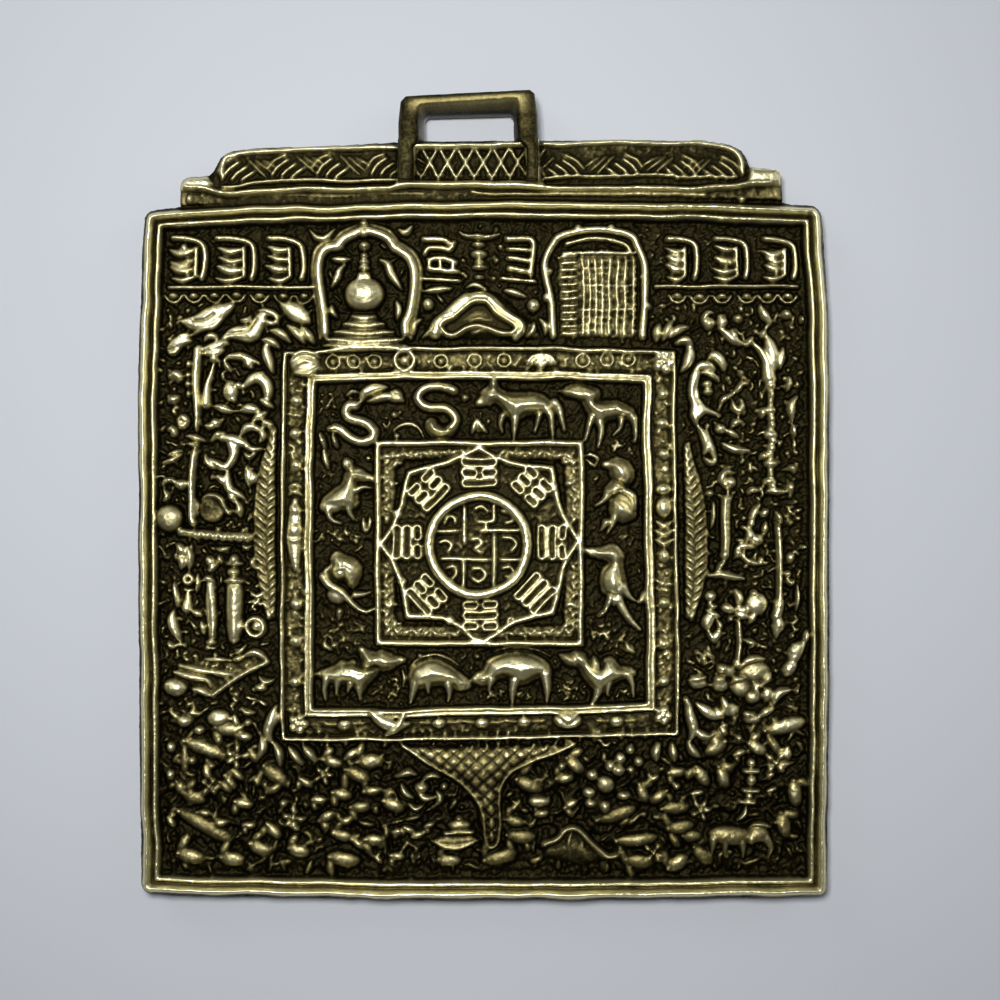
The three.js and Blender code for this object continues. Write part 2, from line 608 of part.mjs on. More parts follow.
// Cloud waves: fans of three concentric arcs, with a slanted stroke after each fan
function upperRail(side) {
  const inner = LOOP_OFFSET + side * (LOOP_HALF_WIDTH + CLEARANCE);
  const outer = HEAD_OFFSET + side * (RAIL_WIDTH / 2 - 0.15);
  const high = RAIL_TOP - 0.15;
  const shoulder = RAIL_CORNER;
  const outline = [
    [inner, RAIL_LOW], [outer, RAIL_LOW], [outer, high - shoulder],
    ...arc(0, high - shoulder, shoulder, 30, 60, 1).map(([u, v]) => [outer + side * (u - shoulder), v]),
    [outer - side * shoulder, high], [inner, high],
  ];
  const fans = 4;
  const pitch = (outer - side * 0.3 - inner) / fans;
  const waves = [];
  for (let k = 0; k < fans; k += 1) {
    const foot = inner + pitch * (k + 0.08);
    for (const reach of [0.26, 0.5, 0.74]) {
      const crest = arc(0, 0, 1, 4, 80, 4).map(([u, v]) => [
        foot + pitch * reach * u,
        RAIL_LOW + 0.25 + (RAIL_HEIGHT + 0.2) * (0.25 + reach * 0.8) * v,
      ]);
      waves.push(ridge(crest, 0.5, RAIL_RELIEF + RAIL_CARVING, RAIL_RELIEF - SINK, EVEN, 1));
    }
  }
  const field = slab(outline, RAIL_RELIEF, 0, 0.25);
  return field.add(join(waves).intersect(slab(outline, RAIL_RELIEF + 1, 0, 0.02)));
}

function hangingLoop() {
  const [left, right] = [LOOP_OFFSET - LOOP_HALF_WIDTH, LOOP_OFFSET + LOOP_HALF_WIDTH];
  const [inLeft, inRight] = [LOOP_OFFSET - LOOP_HALF_OPENING, LOOP_OFFSET + LOOP_HALF_OPENING];
  const high = BEARING_V + LOOP_BAR_THICKNESS;
  const arch = [
    [left, RAIL_TOP], [inLeft, RAIL_TOP], [inLeft, BEARING_V], [inRight, BEARING_V],
    [inRight, RAIL_TOP], [right, RAIL_TOP],
    ...arc(right - LOOP_CORNER, high - LOOP_CORNER, LOOP_CORNER, 0, 90, 2),
    ...arc(left + LOOP_CORNER, high - LOOP_CORNER, LOOP_CORNER, 90, 180, 2),
  ];
  const strap = [inLeft, inRight].map((u, k) => {
    const outline = rectangle(k ? u : left, RAIL_LOW, k ? right : u, RAIL_TOP + 1);
    return slab(outline, STRAP_RELIEF, 0, 0.25);
  });
  const low = RAIL_LOW + 0.3;
  const panel = block(inLeft - 0.3, low, inRight + 0.3, RAIL_TOP, 0, LOOP_PANEL_RELIEF);
  const lattice = [];
  const cells = 6;
  const pitch = LOOP_OPENING_WIDTH / cells;
  for (let k = 0; k < cells; k += 1) {
    const u = inLeft + k * pitch;
    for (const [from, to] of [[low, RAIL_TOP - 0.5], [RAIL_TOP - 0.5, low]]) {
      const bar = [[u, from], [u + pitch, to]];
      lattice.push(ridge(bar, 0.45, LOOP_PANEL_RELIEF + RAIL_CARVING, LOOP_PANEL_RELIEF - SINK));
    }
  }
  const sill = block(inLeft - 0.3, RAIL_TOP - 0.55, inRight + 0.3, RAIL_TOP, 0, LOOP_PANEL_RELIEF + RAIL_CARVING);
  const legs = slab(arch, PLATE_THICKNESS, -PLATE_THICKNESS, 0.25);
  return join([legs, ...strap, panel, sill, ...lattice]);
}

// Shell frame with its studs and clasps

function shellFrame() {
  const { left, right, low, high, band } = DRAWN.shell;
  const profile = [[0, 0], [0.1, 1], [0.42, 1], [0.58, 0.55], [band - 0.65, 0.55], [band - 0.5, 1], [band - 0.1, 1]];
  const section = [...profile.map(([across, rise]) => [across, rise * SHELL_RELIEF]), [band, 0]];
  const frame = sweep(rectangle(left, low, right, high), section, true);
  const floor = 0.5 * SHELL_RELIEF;
  const stud = (u, v, r) => bead(u, v, r, STUD_RELIEF, floor);
  const studs = [
    ...[-15.1, -13.0, -10.9, -4.3, -0.9, 2.0, 9.8, 12.2, 14.5].map((u) => stud(u, 18.8, 0.6)),
    ...[14.9, 11.6, 8.4, 5.4, -5.3, -9.0, -13.0].map((v) => stud(-18.6, v, 0.65)),
    ...[15.6, 12.6, 9.5, -5.2, -9.3, -13.0].map((v) => stud(17.8, v, 0.6)),
    ...[-13.9, -4.5, -0.2, 4.0, 13.2].map((u) => stud(u, -17.4, 0.6)),
    ...[[-18.6, 18.8], [17.8, 18.8], [-18.6, -17.4], [17.8, -17.4]].map(([u, v]) => stud(u, v, 0.8)),
  ];
  const clasps = [
    ring(-7.9, 18.8, 0.8, 0.55, STUD_RELIEF, floor),
    mound(ellipse(5.7, 18.8, 1.3, 0.9), STUD_RELIEF, floor),
    mound(ellipse(-18.6, 1.6, 0.9, 2.2), STUD_RELIEF, floor),
    mound(ellipse(17.8, 2.2, 0.85, 2.4), STUD_RELIEF, floor),
    mound(ellipse(-9.2, -17.4, 1.4, 0.8), STUD_RELIEF, floor),
    mound(ellipse(8.4, -17.4, 1.3, 0.8), STUD_RELIEF, floor),
  ];
  return join([frame, ...studs, ...clasps]);
}

// Tortoise: head, paws, flanks and tail round the shell frame

function tortoiseHead() {
  const skull = [[-5.9, 21.0], [5.7, 21.0], [5.8, 21.6], [4.5, 23.4], [2.2, 25.1], [0, 25.7], [-2, 25.3], [-4.6, 23.5], [-6, 21.6]];
  const base = 0.3 * HEAD_RELIEF;
  const mouth = [
    [-4.2, 22.2], [-3.2, 23.1], [-2.1, 23.7], [-1.2, 24.6], [0, 24.8], [0.9, 24.1],
    [1.9, 23.1], [3.1, 22.3], [2.3, 21.6], [0.6, 21.9], [-1, 22.2], [-2.7, 21.5],
  ];
  return join([
    slab(skull, 0.45 * HEAD_RELIEF, 0, 0.35),
    sweep(mouth, ridgeSection(0.7, HEAD_RELIEF, base), true),
    ridge([[-1, 23.5], [0.2, 23.6]], 0.5, 0.8 * HEAD_RELIEF, base),
    ridge([[-1.5, 22.9], [-0.5, 23.0], [0.6, 22.7]], 0.4, 0.7 * HEAD_RELIEF, base),
    mound(ellipse(-4.9, 21.7, 0.7, 0.5), 0.8 * HEAD_RELIEF, base),
    mound(ellipse(4.7, 21.8, 0.7, 0.5), 0.8 * HEAD_RELIEF, base),
  ]);
}

function paw(knuckles, claws) {
  return join([
    ridge(knuckles, 1.0, PAW_RELIEF),
    ...claws.map(([u1, v1, u2, v2]) => leaf(u1, v1, u2, v2, 0.8, 0.85 * PAW_RELIEF)),
  ]);
}

function flankScales(u, from, to) {
  const count = 8;
  const step = (to - from) / (count - 1);
  const scales = [];
  for (let k = 0; k < count; k += 1) {
    const v = from + k * step;
    scales.push(limb(u, v, 0.62, u, v + step * 0.8, 0.3, FLANK_RELIEF));
  }
  return join(scales);
}

function tailScales() {
  const outline = [
    [-7.8, -19.6], [-5.3, -21.0], [-3, -22.5], [-0.9, -24.4], [-0.1, -26.6], [0.2, -29.4], [1.3, -29.4],
    [1.4, -26.0], [1.7, -22.9], [3.4, -21.9], [5.2, -21.1], [8.8, -19.6],
  ].reverse();
  const rows = [];
  for (let k = -1; k < 6; k += 1) {
    for (const side of [1, -1]) {
      const start = [0.6 - side * 8 + side * k * 2, -19.4];
      rows.push(ridge([start, [start[0] + side * 7.5, -29.2]], 0.5, TAIL_RELIEF, 0.4 * TAIL_RELIEF));
    }
  }
  const inside = slab(outline, 2 * TAIL_RELIEF, 0, 0.02);
  return slab(outline, 0.6 * TAIL_RELIEF, 0, 0.2).add(join(rows).intersect(inside));
}

// Border, star, trigram tablets and nine-cell medallion

function innerBorder() {
  const { left, right, low, high, band } = DRAWN.border;
  const section = [[0, 0], [0.12, 1], [band - 0.12, 1], [band, 0]].map(([across, rise]) => [across, rise * BORDER_RELIEF]);
  return sweep(rectangle(left, low, right, high), section, true);
}

function starPlate() {
  const { u, v } = DRAWN.centre;
  const quarter = [[7.7, 7.8], [2.9, 8.5], [0, 9.25], [-2.9, 8.5]];
  const outline = [0, 90, 180, 270].flatMap((angle) => quarter.map(([a, b]) => {
    const p = new THREE.Vector2(a, b).rotateAround(new THREE.Vector2(), THREE.MathUtils.degToRad(angle));
    return [u + p.x, v + p.y];
  }));
  return slab(outline, STAR_RELIEF, 0, 0.15);
}

// Lines are listed from the medallion outwards: 1 is an unbroken line, 2 a line in two halves
const TRIGRAMS = {
  north: { angle: 90, lines: [1, 2, 1] },
  north_east: { angle: 45, lines: [2, 2, 2] },
  east: { angle: 0, lines: [1, 1, 2] },
  south_east: { angle: -45, lines: [1, 1, 1] },
  south: { angle: -90, lines: [2, 1, 2] },
  south_west: { angle: -135, lines: [2, 2, 1] },
  west: { angle: 180, lines: [2, 1, 1] },
  north_west: { angle: 135, lines: [1, 2, 2] },
};

function trigramTablet({ angle, lines }) {
  const inner = MEDALLION_RADIUS + CLEARANCE + 0.05;
  const outer = 8.55;
  const halfWidth = 1.6;
  const floor = STAR_RELIEF + 0.5 * TABLET_RELIEF;
  const pitch = (outer - inner) / 3;
  const direction = THREE.MathUtils.degToRad(angle);
  const across = ([r, t]) => [
    DRAWN.centre.u + r * Math.cos(direction) - t * Math.sin(direction),
    DRAWN.centre.v + r * Math.sin(direction) + t * Math.cos(direction),
  ];
  const bars = lines.flatMap((pieces, row) => {
    const r = inner + pitch * (row + 0.5);
    const spans = pieces === 1 ? [[-1.3, 1.3]] : [[-1.3, -0.3], [0.3, 1.3]];
    return spans.map(([a, b]) => {
      return ridge([[r, a], [r, b]].map(across), 0.55, STAR_RELIEF + TABLET_RELIEF, floor - 0.1);
    });
  });
  const field = [[inner, -halfWidth], [outer, -halfWidth], [outer, halfWidth], [inner, halfWidth]].map(across);
  return join([slab(field, floor, STAR_RELIEF, 0.12), ...bars]);
}

function medallion() {
  const { u, v } = DRAWN.centre;
  const base = STAR_RELIEF;
  const floor = base + 0.3 * MEDALLION_RELIEF;
  const top = base + MEDALLION_RELIEF;
  const band = 0.14 * MEDALLION_RADIUS;
  const reach = MEDALLION_RADIUS - 0.5 * band;
  const third = 0.28 * MEDALLION_RADIUS;
  const half = Math.sqrt(reach * reach - third * third);
  const cells = [-1, 0, 1].flatMap((a) => [-1, 0, 1].map((b) => {
    const spread = a !== 0 && b !== 0 ? 1.7 : 2;
    return bead(u + a * spread * third, v + b * spread * third, 0.42, top, floor - 0.1);
  }));
  const bars = [-third, third].flatMap((offset) => [
    ridge([[u + offset, v - half], [u + offset, v + half]], 0.5, top, floor - 0.1),
    ridge([[u - half, v + offset], [u + half, v + offset]], 0.5, top, floor - 0.1),
  ]);
  return join([
    slab(ellipse(u, v, MEDALLION_RADIUS, MEDALLION_RADIUS, 0, 24), floor, base, 0.05),
    ring(u, v, MEDALLION_RADIUS - band / 2 - 0.05, band, top, base, 24),
    ...bars,
    ...cells,
  ]);
}

// Animals of the twelve-year cycle, in the band between shell frame and border

const BODY = ANIMAL_RELIEF;
const LIMBS = 0.75 * ANIMAL_RELIEF;

function torso(u, v, ru, rv, turn = 0) {
  return mound(ellipse(u, v, ru, rv, turn), BODY);
}

function leg(u1, v1, u2, v2, width = 0.6) {
  return ridge([[u1, v1], [u2, v2]], width, LIMBS, 0, TAPER);
}

function dragon() {
  return join([
    torso(-12.2, 14.9, 0.8, 0.65),
    ridge([
      [-12.6, 14.9], [-13.8, 14.3], [-13.7, 13.4], [-12.4, 12.9], [-11.2, 12.6], [-10.9, 11.9],
      [-11.8, 11.5], [-13.2, 11.9], [-14.6, 12.4], [-15.6, 12.2],
    ], 0.8, BODY, 0, TAPER, 1),
    leaf(-12.4, 14.9, -10.3, 16.1, 0.6, LIMBS),
    leaf(-11.9, 14.9, -8.6, 15.2, 0.6, LIMBS),
  ]);
}

function snake() {
  return join([
    ridge([
      [-3.2, 15.9], [-4.4, 16.3], [-5.8, 16.1], [-6.7, 15.3], [-6.2, 14.4], [-5.0, 14.1],
      [-3.8, 14.1], [-2.9, 13.4], [-3.2, 12.4], [-4.2, 12.0], [-5.3, 12.3],
    ], 0.9, BODY, 0, SWELL, 1),
    torso(-5.4, 12.4, 0.7, 0.5),
  ]);
}

function horse() {
  return join([
    torso(0.7, 15.3, 0.85, 0.6, -20),
    leaf(0.8, 15.4, 1.0, 16.6, 0.5, LIMBS),
    limb(1.0, 15.3, 0.5, 3.0, 14.3, 0.65, BODY),
    torso(4.2, 14.1, 1.8, 0.85, -5),
    limb(5.6, 14.0, 0.5, 6.5, 13.1, 0.35, LIMBS),
    leg(6.5, 13.2, 6.7, 11.6),
    leg(3.0, 14.0, 3.0, 11.6),
  ]);
}

function sheep() {
  return join([
    torso(9.0, 15.6, 0.8, 0.5),
    leaf(8.6, 15.9, 9.9, 16.4, 0.5, LIMBS),
    limb(9.4, 15.4, 0.45, 10.9, 14.4, 0.6, BODY),
    torso(12.5, 13.7, 2.1, 0.85, -12),
    limb(13.9, 13.4, 0.5, 14.9, 12.8, 0.3, LIMBS),
    leg(14.9, 12.9, 15.2, 11.4),
    leg(11.5, 13.5, 11.5, 11.5),
  ]);
}

function monkey() {
  return join([
    torso(13.7, 8.0, 0.95, 0.9),
    torso(12.8, 8.2, 0.5, 0.4),
    limb(13.8, 7.1, 0.5, 13.8, 5.6, 0.6, BODY),
    torso(13.7, 4.6, 1.1, 1.3),
    ridge([[13.3, 6.2], [12.4, 5.7], [11.5, 4.6]], 0.5, LIMBS, 0, TAPER),
    ridge([[13.2, 3.9], [12.4, 3.1], [12.0, 2.1]], 0.6, LIMBS, 0, TAPER),
  ]);
}

function bird() {
  return join([
    torso(12.9, -0.4, 0.65, 0.65),
    leg(12.6, -0.4, 10.7, -0.2, 0.55),
    limb(13.0, -0.6, 0.4, 13.0, -2.0, 0.5, BODY),
    torso(13.0, -3.1, 1.05, 1.6, 15),
    leg(12.7, -4.2, 12.0, -6.1),
    limb(13.6, -3.8, 0.5, 15.2, -5.0, 0.4, LIMBS),
  ]);
}

function dog() {
  return join([
    limb(8.1, -10.8, 0.3, 9.4, -11.2, 0.5, BODY),
    leaf(9.2, -11.0, 9.9, -10.3, 0.5, LIMBS),
    limb(9.5, -11.4, 0.45, 11.0, -12.2, 0.55, BODY),
    torso(12.3, -12.1, 1.9, 0.85, -8),
    leg(13.7, -12.5, 14.2, -14.2),
    leg(11.2, -12.5, 11.1, -14.6),
  ]);
}

function pig() {
  return join([
    torso(2.9, -11.9, 2.8, 1.1),
    limb(0.7, -12.2, 0.5, -0.2, -12.9, 0.3, BODY),
    leg(1.3, -12.3, 1.1, -14.5),
    leg(4.7, -12.2, 5.1, -14.5),
  ]);
}

function mouse() {
  return join([
    torso(-4.8, -12.2, 2.2, 0.95, -6),
    limb(-3.3, -12.6, 0.5, -2.2, -13.3, 0.25, BODY),
    leg(-6.1, -12.3, -6.6, -14.5),
    leg(-4.0, -12.4, -3.9, -14.5),
  ]);
}

function ox() {
  return join([
    limb(-11.4, -10.9, 0.5, -8.9, -11.2, 0.4, BODY),
    leaf(-12.6, -10.5, -11.2, -10.7, 0.5, LIMBS),
    limb(-11.5, -11.3, 0.5, -13.0, -12.0, 0.6, BODY),
    torso(-13.9, -12.1, 2.0, 0.75),
    leg(-15.2, -12.4, -15.5, -14.2),
    leg(-12.6, -12.4, -12.4, -14.4),
  ]);
}

function tiger() {
  return join([
    torso(-13.9, -2.0, 1.4, 1.25),
    leaf(-14.5, -1.3, -15.0, -0.2, 0.6, LIMBS),
    ridge([[-14.9, -2.7], [-14.9, -3.8], [-13.9, -4.7], [-12.9, -5.6], [-12.0, -6.2]], 1.0, BODY, 0, TAPER, 1),
    limb(-13.4, -2.9, 0.4, -11.7, -4.1, 0.25, LIMBS),
  ]);
}

function hare() {
  return join([
    limb(-13.4, 7.6, 0.5, -11.7, 7.3, 0.35, BODY),
    leaf(-13.3, 7.7, -13.9, 9.2, 0.6, LIMBS),
    limb(-13.6, 7.2, 0.5, -14.2, 5.6, 0.85, BODY),
    torso(-15.0, 5.0, 1.1, 0.7),
    leg(-13.6, 5.4, -13.2, 3.7),
  ]);
}

// Niches and rows above the shell frame

function nicheArch(line) {
  return ridge(line, 0.6, NICHE_RELIEF, 0, EVEN, 1);
}

function stupa() {
  const u = -11.9;
  const steps = [[3.1, 21.1], [2.5, 21.8], [1.9, 22.5], [1.3, 23.1]];
  const terraces = steps.map(([halfWidth, low], k) => {
    return slab(rectangle(u - halfWidth, low, u + halfWidth, low + 0.8), STUPA_RELIEF * (0.55 + 0.08 * k), 0, 0.15);
  });
  const vase = turned(u, [[0, 23.6], [1.0, 23.7], [1.5, 24.7], [1.4, 25.7], [0.9, 26.6], [0.6, 26.9], [0, 27.1]], STUPA_RELIEF);
  const spire = turned(u, [
    [0, 26.6], [0.9, 26.7], [0.9, 27.1], [0.5, 27.3], [0.65, 27.8], [0.45, 28.1], [0.55, 28.5],
    [0.35, 28.9], [0.75, 29.2], [0.25, 29.5], [0.42, 29.9], [0.42, 30.3], [0, 30.7],
  ], 0.8 * STUPA_RELIEF);
  return join([...terraces, vase, spire]);
}

// Plain ruled lines stand where the original carries writing
function inscriptionTablet() {
  const field = slab(rectangle(7.5, 21.2, 14.8, 29.7), 0.6 * INSCRIPTION_RELIEF, 0, 0.15);
  const base = 0.3 * INSCRIPTION_RELIEF;
  const ruled = [10.2, 11.1, 12.0, 12.9, 13.7, 14.4].map((u) => {
    return ridge([[u, 21.6], [u, 28.8]], 0.4, INSCRIPTION_RELIEF, base);
  });
  const index = [];
  for (let v = 21.9; v < 29.2; v += 0.9) index.push(ridge([[7.8, v], [9.4, v]], 0.4, INSCRIPTION_RELIEF, base));
  const header = ridge([[10.0, 29.3], [14.6, 29.3]], 0.4, INSCRIPTION_RELIEF, base);
  return join([field, ...ruled, ...index, header]);
}

// A row of ruled bars on posts, standing on a ledge; plain bars where the original has letters
function ornamentRow(left, right, sill, posts, scallops) {
  const base = 0;
  const groups = posts.flatMap(([u, reach]) => [
    ridge([[u, sill], [u, sill + 4.5]], 0.55, ROW_RELIEF, base),
    ...[4.2, 3.0, 1.7].map((rise) => ridge([[u, sill + rise], [u + reach, sill + rise]], 0.55, ROW_RELIEF, base)),
  ]);
  const fringe = scallops.map((u) => bead(u, sill - 0.75, 0.7, ROW_RELIEF));
  return join([ridge([[left, sill], [right, sill]], 0.7, ROW_RELIEF), ...groups, ...fringe]);
}

// Offerings and treasures in the side and lower fields

const RAISED = OFFERING_RELIEF;

function bannerStaff() {
  return join([
    ridge([[-28.6, 20.4], [-28.6, 11.4]], 0.9, RAISED),
    ring(-29.2, 20.7, 0.7, 0.5, 0.8 * RAISED),
    ridge([[-29.3, 17.8], [-29.3, 15.0]], 0.8, 0.8 * RAISED),
    ridge([[-27.0, 18.0], [-27.6, 16.0], [-28.4, 14.4]], 0.6, 0.8 * RAISED),
  ]);
}

function ropeBar() {
  const strands = [ridge([[-29.6, 1.7], [-23.5, 1.3]], 0.7, 0.5 * RAISED)];
  for (let k = 0; k < 8; k += 1) {
    const [u, v] = [-29.3 + 0.75 * k, 1.7 - 0.05 * k];
    strands.push(leaf(u - 0.1, v - 0.55, u + 0.5, v + 0.55, 0.6, 0.8 * RAISED));
  }
  return join(strands);
}

function tallVase() {
  return turned(-24.8, [
    [0, -9.3], [0.7, -9.2], [0.9, -8.2], [0.95, -6.0], [0.85, -3.9], [0.5, -3.3], [0.75, -3.0], [0.35, -2.6],
    [0.6, -2.1], [0.25, -1.7], [0.35, -1.2], [0, -0.7],
  ], RAISED);
}

function plumeColumn() {
  const puffs = [16.3, 14.9, 13.5, 12.1, 10.8, 9.6, 8.4, 7.3];
  return join([
    ridge([[28.6, 16.6], [28.6, 5.9]], 0.7, 0.7 * RAISED),
    ...puffs.map((v, k) => bead(28.6, v, k % 2 ? 0.85 : 0.75, RAISED)),
    ridge([[27.1, 5.8], [30.0, 5.8]], 0.6, 0.8 * RAISED),
  ]);
}

function staffRight() {
  return join([
    ridge([[24.1, 5.2], [24.1, -1.2]], 0.8, RAISED),
    ridge([[23.4, 5.1], [24.8, 5.1]], 0.6, RAISED),
    ridge([[23.6, -1.2], [24.6, -1.2]], 0.5, 0.8 * RAISED),
  ]);
}

function spear() {
  return join([
    ridge([[29.2, 2.0], [29.2, -6.3]], 0.5, 0.7 * RAISED),
    leaf(29.2, -5.6, 29.0, -8.6, 1.1, RAISED),
  ]);
}

function jar() {
  return turned(27.3, [
    [0, -6.9], [0.5, -6.8], [0.85, -6.1], [0.8, -5.3], [0.4, -4.7], [0.6, -4.3], [0, -4.1],
  ], RAISED);
}

function lotusLeft() {
  const petals = [100, 150, 205, 255, 300, 350, 45].map((angle) => {
    const turn = THREE.MathUtils.degToRad(angle);
    return leaf(-6.3, -23.9, -6.3 + 1.9 * Math.cos(turn), -23.9 + 1.9 * Math.sin(turn), 1.0, 0.8 * RAISED);
  });
  return join([mound(ellipse(-6.3, -23.9, 0.8), RAISED), ...petals]);
}

function flowerRight() {
  return join([
    mound(ellipse(12.1, -23.4, 0.95), RAISED),
    leaf(12.1, -23.4, 10.0, -24.4, 0.9, 0.8 * RAISED),
    leaf(12.1, -23.4, 12.0, -26.2, 0.9, 0.8 * RAISED),
    leaf(12.1, -23.4, 14.9, -24.8, 0.8, 0.8 * RAISED),
    leaf(12.1, -23.4, 13.7, -20.9, 0.9, 0.8 * RAISED),
    leaf(12.1, -23.4, 10.6, -21.6, 0.8, 0.8 * RAISED),
    mound(ellipse(14.2, -20.6, 0.7), 0.8 * RAISED),
  ]);
}

function offeringBowl() {
  return join([
    mound(ellipse(-2.5, -27.5, 1.3, 0.85), RAISED),
    limb(-3.8, -28.2, 0.4, -1.3, -28.2, 0.4, 0.8 * RAISED),
    ridge([[-5.0, -29.0], [-3.9, -29.5], [-2.9, -29.5], [-1.6, -29.3], [-0.8, -29.0]], 0.6, 0.8 * RAISED),
    limb(-2.6, -28.3, 0.5, -2.6, -29.3, 0.5, 0.7 * RAISED),
  ]);
}

function mountain() {
  const ranges = [
    [[5.5, -30.6], [10.4, -30.6], [9.6, -28.9], [8.7, -27.6], [7.3, -28.6], [6.1, -29.4]],
    [[8.6, -30.6], [13.2, -30.6], [12.0, -29.9], [10.7, -28.9], [9.8, -28.4], [9.0, -29.4]],
  ];
  return join(ranges.map((outline, k) => mound(outline, (1 - 0.15 * k) * RAISED)));
}

function elephant() {
  return join([
    mound(ellipse(25.0, -28.6, 2.6, 1.15), RAISED),
    mound(ellipse(28.0, -28.4, 1.1, 0.95), RAISED),
    ridge([[28.6, -28.6], [29.3, -29.4], [29.4, -30.7]], 0.6, 0.8 * RAISED, 0, TAPER),
    ...[23.2, 24.9, 26.8].map((u) => ridge([[u, -29.0], [u, -30.8]], 0.7, 0.8 * RAISED)),
  ]);
}

place('ground_plate', PATINA, groundPlate());
place('rim_frame', POLISHED, rimFrame());
place('lower_ledge', POLISHED, lowerLedge());
place('upper_rail_left', WORN, upperRail(-1));
place('upper_rail_right', WORN, upperRail(1));
place('hanging_loop', POLISHED, hangingLoop());

place('shell_frame', POLISHED, guided(shellFrame()));
place('tortoise_head', POLISHED, guided(tortoiseHead()));
place('flank_scales_left', WORN, guided(flankScales(-21.5, 10.9, -3.4)));
place('flank_scales_right', WORN, guided(flankScales(20.8, 9.9, -6.4)));
place('tail_scales', WORN, guided(tailScales()));
place('paw_upper_left', POLISHED, guided(paw(
  [[-22.3, 19.2], [-21.9, 20.8], [-20.7, 21.9], [-19.0, 22.1], [-17.6, 21.5]],
  [[-22.0, 20.9, -23.1, 21.7], [-20.9, 21.9, -21.5, 23.1], [-19.2, 22.1, -19.2, 23.5]],
)));
place('paw_upper_right', POLISHED, guided(paw(
  [[17.3, 21.4], [18.4, 22.1], [20.0, 21.8], [20.9, 20.4], [20.8, 18.8]],
  [[18.6, 22.1, 18.7, 23.5], [20.0, 21.9, 20.7, 23.0], [20.8, 20.7, 22.1, 21.2]],
)));
place('paw_lower_left', POLISHED, guided(paw(
  [[-21.4, -16.4], [-21.8, -18.2], [-21.5, -19.6], [-20.3, -20.4], [-18.6, -20.4]],
  [[-21.7, -18.4, -23.0, -18.4], [-21.4, -19.8, -22.2, -20.8], [-20.0, -20.4, -20.2, -21.7]],
)));
place('paw_lower_right', POLISHED, guided(paw(
  [[20.5, -14.9], [20.9, -16.6], [21.1, -18.4], [20.2, -20.0], [18.0, -20.3]],
  [[21.1, -17.8, 22.4, -18.1], [20.8, -19.4, 21.5, -20.8], [18.8, -20.3, 18.9, -21.6]],
)));

place('inner_border', POLISHED, guided(innerBorder()));
place('star_plate', WORN, guided(starPlate()));
for (const [name, trigram] of Object.entries(TRIGRAMS)) {
  place(`tablet_${name}`, WORN, guided(trigramTablet(trigram)));
}
place('medallion', POLISHED, guided(medallion()));

const ANIMALS = { dragon, snake, horse, sheep, monkey, bird, dog, pig, mouse, ox, tiger, hare };
for (const [name, build] of Object.entries(ANIMALS)) place(`animal_${name}`, POLISHED, guided(build()));

place('stupa', POLISHED, guided(stupa()));
place('stupa_niche_arch', WORN, guided(nicheArch([
  [-15.9, 21.2], [-16.2, 24.0], [-16.3, 27.4], [-15.7, 29.3], [-14.0, 30.8], [-11.9, 31.6],
  [-9.6, 31.1], [-7.7, 29.5], [-7.1, 27.5], [-7.1, 24.6], [-7.3, 21.9],
])));
place('tablet_niche_arch', WORN, guided(nicheArch([
  [6.8, 21.4], [6.6, 24.4], [6.4, 27.0], [6.4, 29.0], [7.1, 30.6], [8.4, 31.6], [11.2, 31.9],
  [14.0, 31.5], [15.3, 30.4], [15.9, 28.5], [16.0, 25.6], [15.8, 21.4],
])));
place('inscription_tablet', WORN, guided(inscriptionTablet()));
place('ornament_row_left', WORN, guided(ornamentRow(
  -31.2, -17.0, 26.3, [[-28.1, -2.6], [-23.3, -2.6], [-18.4, -2.6]], [-30.4, -28.4, -26.4, -24.4, -22.4, -20.4, -18.4],
)));
place('ornament_row_middle', WORN, guided(ornamentRow(-5.7, 5.0, 27.1, [[-3.2, -2.3], [0.2, -1.6], [4.6, -2.3]], [])));
place('ornament_row_right', WORN, guided(ornamentRow(
  17.3, 31.0, 26.3, [[18.3, 2.5], [23.1, 2.6], [28.0, 2.6]], [19.4, 21.4, 23.5, 25.6, 27.7, 29.8],
)));

place('banner_staff', POLISHED, guided(bannerStaff()));
place('mirror_disc', POLISHED, guided(mound(ellipse(-27.1, 4.2, 1.3), RAISED)));
place('jewel_sphere', POLISHED, guided(mound(ellipse(-31.2, 3.5, 0.9), RAISED)));
place('rope_bar', WORN, guided(ropeBar()));
place('tall_vase', POLISHED, guided(tallVase()));
place('plume_column', POLISHED, guided(plumeColumn()));
place('staff_right', POLISHED, guided(staffRight()));
place('spear', POLISHED, guided(spear()));
place('jar', POLISHED, guided(jar()));
place('lotus_left', POLISHED, guided(lotusLeft()));
place('flower_right', POLISHED, guided(flowerRight()));
place('offering_bowl', POLISHED, guided(offeringBowl()));
place('mountain', WORN, guided(mountain()));
place('elephant', POLISHED, guided(elephant()));

export default amulet;
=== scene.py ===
"""Looks of a cast brass calendar amulet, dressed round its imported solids.

The carved face is worked as one height field, as a founder works the wax, and is then cut into one
closed piece for each element, so that every seam lies where an element meets its ground.
"""

import logging
import math
from collections.abc import Callable, Sequence
from dataclasses import dataclass
from enum import Enum

import bpy
import numpy as np
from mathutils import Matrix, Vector
from mathutils.geometry import delaunay_2d_cdt

